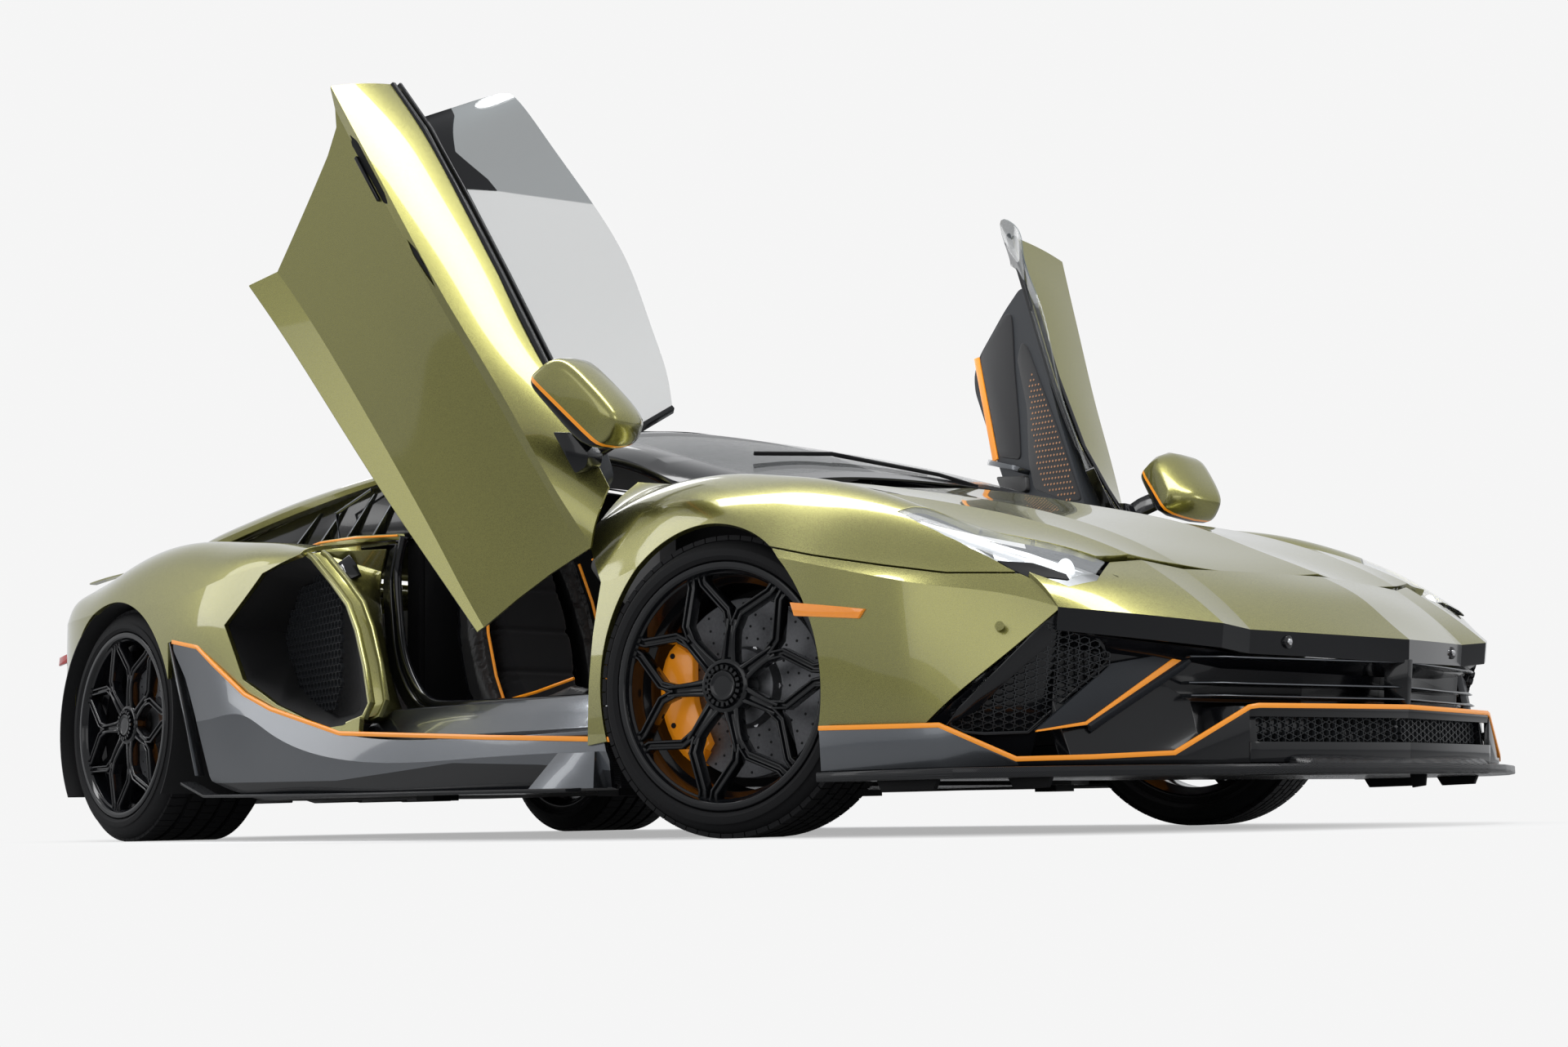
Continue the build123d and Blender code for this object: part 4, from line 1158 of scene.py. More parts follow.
def hex_field(corner: Point, across: Point, down: Point, outline: Outline, pitch: float, turn: Point,
              squeeze: float = 1.0) -> tuple[list[Point], list[Point]]:
    """Centres of a honeycomb within a flat outline.

    Args:
        corner: where the outline's (0, 0) lies.
        across: direction of its first axis.
        down: direction of its second axis.
        outline: corners in millimetres along the two axes.
        pitch: distance between neighbouring cells.
        turn: Euler angles that lay a cell on the plane.
        squeeze: height of a cell as a share of its width.

    Returns:
        Centres and turns.
    """
    a, b = unit(np.array(across, float)), unit(np.array(down, float))
    area = np.array(outline, float)
    low, high = area.min(0), area.max(0)
    rise = pitch * math.sqrt(3) / 2 * squeeze
    spots = []
    for row in range(int((high[1] - low[1]) / rise) + 2):
        for column in range(int((high[0] - low[0]) / pitch) + 2):
            spots.append((low[0] + (column + (row % 2) / 2) * pitch, low[1] + row * rise))
    spots = np.array(spots)
    spots = spots[within(spots, outline)]
    places = [tuple(np.array(corner, float) + a * u + b * v) for u, v in spots]
    return places, [turn] * len(places)


@dataclass
class FrontBody:
    """Hood, fenders, nose, headlight covers and beds, and the hood's side channels."""

    wall: float = 14.0
    hood_rows: Sequence[Row] = (  # centre, inner crease, outer crease, side gap
        (2284, ((0, 548), (405, 502), (520, 497), (604, 478))),
        (2205, ((0, 583), (412, 555), (526, 552), (606, 538))),
        (2100, ((0, 627), (418, 612), (545, 604), (652, 586))),
        (1955, ((0, 690), (426, 672), (575, 661), (712, 628))),
        (1800, ((0, 738), (440, 722), (610, 707), (744, 672))),
        (1600, ((0, 788), (468, 770), (640, 756), (751, 728))),
        (1400, ((0, 836), (505, 812), (660, 798), (743, 769))),
        (1250, ((0, 866), (540, 838), (670, 823), (732, 801))))
    side_rows: Sequence[Row] = (  # side gap, crest, upper flank, shoulder, crease, pinstripe, bottom
        (900, ((805, 852), (868, 803), (925, 745), (972, 690), (1001, 600), (1003, 240), (1003, 150))),
        (1060, ((743, 830), (825, 827), (930, 778), (985, 690), (1007, 590), (1008, 238), (1005, 150))),
        (1186, ((737, 813), (818, 829), (915, 797), (980, 725), (1009, 620), (1008, 235), (1006, 150))),
        (1300, ((741, 793), (818, 821), (915, 791), (984, 716), (1010, 615), (1009, 232), (1006, 150))),
        (1436, ((749, 764), (818, 800), (914, 768), (985, 697), (1010, 610), (1009, 230), (1006, 150))),
        (1567, ((755, 736), (818, 776), (909, 738), (983, 640), (1006, 595), (1001, 229), (998, 150))),
        (1718, ((754, 698), (818, 735), (905, 692), (974, 598), (999, 562), (985, 226), (985, 150))),
        (1860, ((739, 657), (822, 682), (896, 634), (940, 560), (968, 528), (962, 225), (962, 150))),
        (1994, ((703, 617), (800, 622), (864, 578), (900, 529), (930, 498), (932, 222), (932, 150))),
        (2090, ((656, 590), (760, 574), (797, 548), (820, 522), (850, 482), (874, 215), (878, 150))),
        (2200, ((606, 536), (700, 517), (748, 498), (772, 480), (799, 446), (820, 215), (826, 150))))
    nose_rows: Sequence[Row] = (  # hood gap, upper face, lower face, edge, band bottom, as (x, z)
        (0, ((2280, 546), (2374, 493), (2436, 439), (2488, 394), (2484, 345))),
        (204, ((2249, 546), (2328, 496), (2387, 445), (2434, 400), (2429, 352))),
        (408, ((2213, 544), (2277, 496), (2331, 449), (2374, 406), (2368, 358))),
        (505, ((2180, 560), (2252, 513), (2323, 461), (2379, 414), (2372, 366))),
        (650, ((2150, 545), (2210, 508), (2262, 464), (2300, 430), (2293, 383))),
        (800, ((2126, 524), (2152, 503), (2180, 474), (2201, 446), (2195, 401))))
    hood_front: Outline = ((2274, 0), (2205, 412), (2170, 528), (2158, 590))
    headlight: Outline = ((2160, -587), (2200, -680), (2186, -752), (2126, -800), (2056, -824), (2013, -844),
                          (1961, -860), (1903, -870), (1838, -872), (1874, -800), (1930, -726), (2040, -684))
    lamp_chin: Outline = ((2040, -840), (2126, -812), (2196, -752), (2176, -744), (2118, -776))
    shoulder: Outline = ((1500, 631), (1556, 619), (1699, 585), (1860, 552), (1994, 527), (2119, 522))
    door_edge: Outline = ((955, 100), (955, 228), (966, 353), (982, 464), (1009, 588), (946, 668), (897, 728),
                          (880, 800), (700, 900), (700, 100))

    def build(self) -> None:
        """Make every piece of the front."""
        self.hood()
        side = skin(self.side_rows, (4, 5), crowns={1: 5.0})
        self.fenders(side)
        self.bumper(side)
        self.headlights(side)
        self.hood_seal()

    def hood(self) -> None:
        """The lid over the luggage space, with a fold down its middle and a flat band up each side."""
        sheet = skin(full_width(self.hood_rows), (1, 2, 3, 4, 5), outward=(0, 0, 1),
                     crowns={0: -3, 1: -2, 2: -7, 3: -7, 4: -2, 5: -3}, side=-1.0)
        front = [(x - GAP, y) for x, y in self.hood_front]
        right_half = [(x, -y) for x, y in front[::-1]]
        corners = (1240, 790), (2158 - GAP, 790)  # at the screen and where the lid starts to narrow
        plan = [(x, -y) for x, y in corners] + right_half + front[1:] + list(corners[::-1])
        sheet = sheet.inside(plan, View.PLAN)
        settle(mesh_object("hood_lid", sheet.walled(self.wall), [Kit.PAINT]), Body.HOOD, "paint", "hood")

    def hood_seal(self) -> None:
        """The dark channel under each of the hood's side gaps."""
        maker = Maker()
        for side in (-1, 1):
            path = [(x, side * (points[3][0] + 3), points[3][1] - 22)
                    for x, points in sorted(self.hood_rows)[:-1]]
            maker.sweep(path, [(-14, -8), (14, -8), (14, 0), (-14, 0)])
        settle(maker.object("hood_channel", [Kit.DARK_AND_PAINTED_SHADE]), Body.ROOT, "matte_black")

    def fenders(self, side: Sheet) -> None:
        """Both front fenders, from the hood's gap down to the bumper's shoulder line."""
        over = [(x, z + GAP) for x, z in self.shoulder]
        keep = over + [(2119, 700), (2119, 1000), (800, 1000), (800, 200), (1031, 222), (1200, 222),
                       (1200, 631)]
        panel = side.inside(keep).outside(self.door_edge).off_circle(*FRONT_ARCH)
        panel = panel.outside(self.grown(self.headlight, GAP), View.PLAN)
        closed = panel.walled(self.wall)
        settle(mesh_object("front_fender_panels", closed.joined(closed.mirrored()), [Kit.PAINT]), Body.ROOT,
               "paint", "front_fenders")

    def grown(self, outline: Outline, amount: float) -> list[tuple[float, float]]:
        """An outline pushed out from its middle."""
        middle = np.mean(np.array(outline, float), axis=0)
        return [tuple(np.array(p) + unit(np.array(p, float) - middle) * amount) for p in outline]

    def bumper(self, side: Sheet) -> None:
        """The nose skin in its three facets, its black band, and the corners behind it."""
        cells = (16, 6)
        facets = []
        for first, last in ((0, 2), (2, 3), (3, 5)):
            sheet = skin(self.nose_rows[first:last + 1], (3,), along=1, outward=(1, 0, 1), cells=cells)
            facets.append(sheet)
        nose = facets[0].joined(*facets[1:])
        nose = nose.outside(self.grown(self.headlight, GAP), View.PLAN)
        band = nose.points[nose.faces].mean(1)
        nose.tags = np.where(self.below_edge(band), 1, 0)
        corner = [(x, z - GAP) for x, z in self.shoulder]
        zone = corner + [(2135, 700), (2230, 700), (2230, 474), (2202, 445), (1962, 222), (1500, 222)]
        panel = side.inside(zone).off_circle(*FRONT_ARCH).outside(self.grown(self.headlight, GAP), View.PLAN)
        panel = panel.outside([(2119, -795), (2300, -795), (2300, 0), (2119, 0)], View.PLAN)
        right = nose.joined(panel)
        closed = self.one_wall(right.joined(right.mirrored()))
        settle(mesh_object("front_bumper_skin", closed, [Kit.PAINT, Kit.GLOSS]), Body.ROOT, "paint",
               "front_bumper")

    def below_edge(self, middle: np.ndarray) -> np.ndarray:
        """Which points of the nose lie on its black band, under the edge."""
        half = np.abs(middle[:, 1])
        rows = sorted(self.nose_rows)
        edge_x = np.interp(half, [r[0] for r in rows], [r[1][3][0] for r in rows])
        edge_z = np.interp(half, [r[0] for r in rows], [r[1][3][1] for r in rows])
        return (middle[:, 2] < edge_z - 1) & (middle[:, 0] > edge_x - 14)

    def one_wall(self, sheet: Sheet) -> Sheet:
        """Thicken a sheet whose halves meet on the middle of the car."""
        return sheet.walled(self.wall)

    def headlights(self, side: Sheet) -> None:
        """Clear covers, with the lamp units beneath them."""
        lens = side.inside(self.headlight, View.PLAN)
        cover = lens.lifted(-1.0).painted(self.lamp_chin, 1, View.PLAN).walled(3.0)
        piece = mesh_object("headlight_covers", cover.joined(cover.mirrored()), [Kit.LENS, Kit.MATT])
        settle(piece, Body.ROOT, "glass", "headlights")
        # The beds are pale with a painted glow that lifts the shade inside the covers; they are no lamps.
        bed = lens.lifted(-34.0).walled(8.0)
        settle(mesh_object("headlight_beds", bed.joined(bed.mirrored()), [Kit.PALE_PAINTED_GLOW]), Body.ROOT,
               "matte_black")
@dataclass
class FrontFascia:
    """What is below the nose's edge: intakes, vanes, slats, grille, grey side lips, orange line, splitter."""

    # columns: half width, x and z of the band's bottom, x of the lower lip
    back_rows: Sequence[Quad] = (
        (0, 2484, 345, 2462), (204, 2429, 352, 2450), (408, 2368, 358, 2412), (505, 2372, 366, 2378),
        (650, 2293, 383, 2318), (760, 2226, 398, 2250))
    line: Sequence[Point] = (  # the orange line, from the wheel to the middle
        (1723, -1003, 224), (2021, -961, 219), (2160, -893, 149), (2249, -768, 151), (2332, -620, 157),
        (2401, -461, 247), (2409, -440, 250), (2440, -250, 251), (2479, 0, 252))
    foot: Sequence[Point] = (
        (1723, -999, 136), (2021, -957, 136), (2160, -886, 136), (2249, -762, 136), (2332, -612, 136),
        (2397, -458, 136), (2406, -438, 136), (2437, -250, 136), (2466, 0, 136))
    mesh: Sequence[Point] = ((2167, -803, 419), (2194, -756, 408), (2215, -715, 393), (2220, -695, 372),
                             (2219, -678, 340), (2164, -727, 280), (2096, -784, 204), (2046, -859, 202),
                             (2024, -893, 205), (2010, -924, 221), (2031, -911, 252), (2069, -880, 299),
                             (2124, -836, 366))
    step: Sequence[Point] = ((2162, -808, 415), (2170, -792, 404), (2168, -786, 390), (2160, -788, 376),
                             (2123, -819, 338), (2076, -859, 284), (2048, -882, 250), (2026, -905, 233),
                             (2012, -924, 226), (2031, -913, 256), (2069, -884, 303), (2122, -838, 366))
    vane: Sequence[Point] = ((2156, -828, 205), (2202, -724, 214), (2303, -495, 366), (2286, -534, 362),
                             (2225, -675, 337), (2218, -690, 322))
    stripe: Sequence[Point] = ((2157, -826, 206), (2200, -729, 222), (2290, -525, 363), (2303, -495, 366),
                               (2206, -715, 217), (2156, -828, 202))
    cell_high: float = 15.0
    cell_wide: float = 21.0
    rail: Sequence[Point] = ((2203, -722, 209), (2311, -478, 366))
    plan: Outline = ((1790, 860), (1716, 962), (1716, 1008), (2094, 1003), (2210, 882), (2330, 692),
                     (2425, 482), (2470, 330), (2485, 180), (NOSE, 0))

    def build(self) -> None:
        """Make every piece."""
        self.fascia()
        self.honeycombs()
        self.splitter()

    def plate(self, maker: Maker, points: Sequence[Point], thick: float, tag: int) -> None:
        """A flat polygon thickened against the way it faces, outwards and forwards."""
        spots = np.array(points, float)
        normal = np.cross(spots[2] - spots[0], spots[1] - spots[0])
        for k in range(3, len(spots)):
            normal = normal + np.cross(spots[k] - spots[0], spots[k - 1] - spots[0])
        normal = unit(normal)
        if normal @ np.array((1.0, -0.6, 0)) < 0:
            normal = -normal
        maker.loft([spots, spots - normal * thick], tag)

    def fascia(self) -> None:
        """The dark backing and the panels in front of it."""
        back = Maker()
        back.loft([[(x - 22, -y, z - 2), (x - 70, -y, z - 26), (x - 82, -y, 262), (lip - 70, -y, 170),
                    (lip - 60, -y, 137), (lip - 90, -y, 137), (x - 110, -y, 262), (x - 90, -y, z + 10)]
                    for y, x, z, lip in self.back_rows], 0)
        back.loft([[(2196, -792, 440), (2186, -760, 432), (2150, -770, 420), (2150, -800, 430)],
                   [(1966, -938, 222), (2090, -770, 150), (2060, -770, 150), (1950, -905, 200)]], 0)
        self.plate(back, self.vane, 12, 1)
        self.plate(back, [tuple(np.array(p) + (2.5, -1.2, 0)) for p in self.stripe], 8, 2)
        back.sweep(self.rail, [(-5, -9), (5, -9), (5, 9), (-5, 9)], (0.5, 0, 0.8), tag=1)
        self.plate(back, self.step, -9, 0)
        rim = [tuple(np.array(p) + (3, -2, 0)) for p in self.mesh]
        back.sweep(rim, [(-3.5, -5), (3.5, -5), (3.5, 5), (-3.5, 5)], (1, -0.8, 0), tag=0, closed=True)
        upper = [np.array(p) + (0, 0, -3) for p in self.line]
        banded(back, [tuple(p) for p in upper[:3]], self.foot[:3], (-4, 10, 0), 3)
        banded(back, [tuple(p) for p in upper[2:6]], self.foot[2:6], (-10, 6, 0), 0)
        for low, high in ((228, 249), (137, 178)):
            top = [(x, y, high) for x, y, _ in self.line[5:]]
            foot = [(x - 3, y, low) for x, y, _ in self.line[5:]]
            banded(back, top, foot, (-14, 0, 0), 0)
        back.sweep(self.line, [(-2.5, -5), (2.5, -5), (2.5, 5), (-2.5, 5)], (0, 0, 1), tag=2)
        back.loft([[(2350, -500, 137), (2362, -452, 137), (2340, -452, 137)],
                   [(2382, -476, 208), (2386, -468, 208), (2378, -468, 208)]], 4)
        back.loft([[(2250, -430, 137), (2398, -430, 137), (2380, -475, 137), (2250, -475, 137)],
                   [(2250, -430, 250), (2390, -430, 250), (2372, -475, 250), (2250, -475, 250)]], 0)
        for z, x_out, depth in ((346, 0, 74), (294, -6, 84), (268, -2, 60)):
            path = [(2318 + x_out, -540, z + 4), (2352 + x_out, -468, z + 4), (2366 + x_out, -408, z + 3),
                    (2424 + x_out, -204, z + 1), (2476 + x_out, 0, z)]
            back.sweep(path, [(-depth, -3), (2, -2), (4, 0), (2, 3), (-depth, 5)], (0, 0, 1), tag=5)
            # A thin grey strip along each slat's front edge is a painted highlight.
            back.sweep(path, [(1, -1.4), (4.6, -1.4), (4.6, 1.4), (1, 1.4)], (0, 0, 1), tag=3)
        piece = back.object("front_fascia", [Kit.GLOSS, Kit.TRIM, Kit.ORANGE_PAINTED_GLOW, Kit.GREY, Kit.CARBON, Kit.SLAT],
                            bevel=1.2, mirror=True)
        middle = Maker()
        middle.loft([[(2488, -10, 352), (2488, 10, 352), (2440, 26, 352), (2440, -26, 352)],
                     [(2478, -7, 256), (2478, 7, 256), (2430, 20, 256), (2430, -20, 256)]], 0)
        for y in (-316, 316):
            x = 2403 if abs(y) else 0
            middle.tube([(x - 16, y, 383), (x, y, 382)], 14, 20, tag=0, up=(0, 0, 1))
            middle.tube([(x - 10, y, 383), (x + 4, y, 382)], 7, 16, tag=1, up=(0, 0, 1))
        settle(merged("front_grille_full", piece, middle.object("front_middle", [Kit.GLOSS, Kit.STEEL],
                                                                bevel=1.5)), Body.ROOT,
               "gloss_black", "front_grille")

    def wide_cells(self, name: str, corner: Point, across: Point, outline: Outline,
                   normal: Point) -> bpy.types.Object:
        """A honeycomb whose cells are wider than tall, on one flat field.

        Args:
            name: the piece's name.
            corner: where the outline's (0, 0) lies.
            across: direction of the outline's first axis; its second axis points up the field.
            outline: corners along the two axes.
            normal: the way the field faces.

        Returns:
            The cells as one mesh.
        """
        along = unit(np.array(across, float))
        rising = unit(np.cross(np.array(normal, float), along))
        if rising[2] < 0:
            rising = -rising
        face = Matrix((rising, along, np.cross(rising, along))).transposed()
        places, turns = hex_field(corner, tuple(rising), tuple(along), [(v, u) for u, v in outline],
                                  self.cell_high, tuple(face.to_euler()),
                                  self.cell_wide / (self.cell_high * math.sqrt(3) / 2))
        comb = Scatter(name, Shape.RING, self.cell_high * 0.53, 9, 1.5, finish=Kit.MESH)
        return comb.spread(places, turns, [(1.0, self.cell_wide / self.cell_high, 1.0)] * len(places))

    def honeycombs(self) -> None:
        """Wide hexagonal cells in both outer intakes and across the lower opening."""
        spots = np.array(self.mesh, float)
        normal = unit(np.cross(spots[4] - spots[9], spots[0] - spots[9]))
        if normal[0] < 0:
            normal = -normal
        corner = spots[9] - normal * 14
        across = unit((spots[4] - spots[10]) * (1, 1, 0))
        rising = unit(np.cross(normal, across))
        rising = rising * math.copysign(1, rising[2])
        flat = [(float((p - spots[9]) @ across), float((p - spots[9]) @ rising)) for p in spots]
        pieces = [self.wide_cells("intake_cells", tuple(corner), tuple(across), flat, tuple(normal)),
                  self.wide_cells("lower_cells", (2376, -428, 182), (42, 224, 0), [(0, 0), (228, 0),
                      (228, 48), (0, 48)], (224, -42, 0)),
                  self.wide_cells("middle_cells", (2418, -204, 182), (30, 204, 0), [(0, 0), (206, 0),
                      (206, 48), (0, 48)],
                                  (204, -30, 0))]
        right = merged("right_cells", *pieces)
        settle(merged("front_honeycombs", right, mirrored(right, "left_cells")), Body.ROOT, "matte_black")

    def splitter(self) -> None:
        """The woven splitter with its raised middle, edge and deflector blocks."""
        maker = Maker()
        outline = [(x, -y) for x, y in self.plan] + [(x, y) for x, y in self.plan[::-1] if y > 0]
        maker.prism(outline, View.PLAN, 114, 134, draft=0.0)
        middle = np.array([(2300, -350), (2442, -362), (2468, -330), (2480, -180), (2488, 0), (2480, 180),
                           (2468, 330), (2442, 362), (2300, 350)])
        rings = []
        for z, pull in ((112, 0), (132, 0), (144, -10), (150, -26)):
            rings.append([(x + (pull if x > 2310 else 0), y * (1 + pull / 900), z) for x, y in middle])
        maker.loft(rings, 0)
        body = maker.object("splitter_blade", [Kit.CARBON], bevel=3.0)
        under = Maker()
        for x0, x1, y in ((1790, 1960, -900), (2060, 2170, -800), (1790, 1960, 900), (2060, 2170, 800)):
            under.prism([(x0, 114), (x1, 114), (x1 - 10, 94), (x0 + 14, 92)], View.SIDE, y - 6, y + 6)
        under.prism([(2380, 114), (2420, 114), (2416, 88), (2384, 84)], View.SIDE, 150, 156)
        blocks = under.object("splitter_blocks", [Kit.MATT], bevel=1.0)
        settle(merged("splitter_full", body, blocks), Body.ROOT, "carbon", "splitter")


@dataclass
class Lamps:
    """The insides of the headlights, the side markers and the parking sensors."""

    def build(self) -> None:
        """Make all lamps and sensors."""
        self.headlights()
        self.markers()

    def headlights(self) -> None:
        """Bright reflectors, one of them pale with a painted glow, a lens, a bar of light and a dark lower
        trim under each cover.
        """
        maker = Maker()
        maker.loft([[(2150, -604, 512), (2176, -690, 488), (2120, -770, 498), (2090, -700, 530)],
                    [(2140, -610, 482), (2164, -690, 460), (2112, -764, 468), (2080, -700, 500)]], 0)
        # This part is pale with a painted glow, though it gives no light.
        maker.loft([[(2096, -640, 548), (2106, -760, 520), (2040, -800, 548), (1960, -726, 594)],
                    [(2090, -646, 520), (2098, -756, 492), (2034, -792, 520), (1960, -726, 566)]], 1)
        maker.loft([[(1960, -728, 606), (2030, -796, 566), (1900, -816, 622), (1856, -800, 640)],
                    [(1960, -728, 590), (2030, -790, 550), (1900, -808, 606), (1860, -796, 626)]], 0)
        for x, y, z, radius in ((2118, -690, 530, 26), (2080, -748, 540, 20)):
            maker.lathe([(0, 0), (0, radius * 0.7), (12, radius), (16, radius), (4, radius * 0.6), (4, 0)],
                        (x, y, z), axis=0, steps=24, tag=2)
        maker.loft([[(2060, -772, 548), (2112, -772, 520), (2112, -764, 524), (2060, -764, 552)],
                    [(2060, -776, 536), (2112, -776, 508), (2112, -768, 512), (2060, -768, 540)]], 2)
        maker.tube([(1850, -818, 648), (1960, -786, 606), (2060, -716, 566), (2150, -620, 516)], 5, 8, tag=2)
        maker.loft([[(2020, -818, 548), (2112, -786, 508), (2140, -756, 500), (2100, -768, 520)],
                    [(2020, -814, 538), (2112, -780, 498), (2140, -750, 490), (2100, -762, 508)]], 3)
        settle(maker.object("headlight_units", [Kit.MIRROR, Kit.PALE_PAINTED_GLOW, Kit.LED, Kit.MATT], bevel=1.5,
                            mirror=True), Body.ROOT, "glass")

    def markers(self) -> None:
        """Amber side markers ahead of the front wheels, red ones behind, and flush sensors."""
        maker = Maker()
        face = np.array([(1652, -1013, 489), (1745, -1000, 476), (1840, -983, 462), (1825, -985, 443),
                         (1745, -999, 451), (1663, -1012, 459)], float)
        maker.loft([face, face + (0, 12, 0)], 0)
        maker.prism([(-2070, 610), (-2010, 620), (-2014, 590), (-2074, 582)], View.SIDE, -893, -884, tag=1)
        settle(maker.object("side_markers", [Kit.AMBER, Kit.RED], bevel=2.0, mirror=True), Body.ROOT,
               "orange")
        dots = Maker()
        for x, y, z, toward in ((2112, -876, 412, (0.75, -0.66, 0)), (2296, -600, 430, (0.95, -0.3, 0.1))):
            out = np.array(toward)
            spot = np.array((x, y, z))
            dots.tube([spot - out * 10, spot + out * 3], 9, 20)
            dots.tube([spot - out * 10, spot + out * 4.2], 5.5, 16)
        settle(dots.object("parking_sensors", [Kit.PAINT], mirror=True), Body.ROOT, "paint")


@dataclass(frozen=True)
class WheelSize:
    """One axle's wheel, its brake and its place, with the wheel's outer face on the -Y side."""

    axle: str
    x: float
    y: float
    radius: float
    width: float
    flange: float
    disc: float
    steer: float
    blocks: int

    @property
    def half(self) -> float:
        """Half of the tyre's width."""
        return self.width / 2

    @property
    def seat(self) -> float:
        """Radius of the bead seat."""
        return self.flange - 12.5

    @property
    def face(self) -> float:
        """Level of the spokes' faces."""
        return 14 - self.half

    @property
    def disc_face(self) -> float:
        """Level of the disc's outer face."""
        return 118 - self.half

    def place(self, side: int) -> Matrix:
        """Where the wheel's middle stands, -1 for the right side."""
        turn = math.radians(self.steer)
        offset = self.y - 790 if self.steer else 0.0
        base = 790 if self.steer else self.y
        centre = (self.x - side * offset * math.sin(turn), side * (base + offset * math.cos(turn)),
                  self.radius)
        return Matrix.Translation(centre) @ Matrix.Rotation(turn + (math.pi if side > 0 else 0.0), 4, "Z")


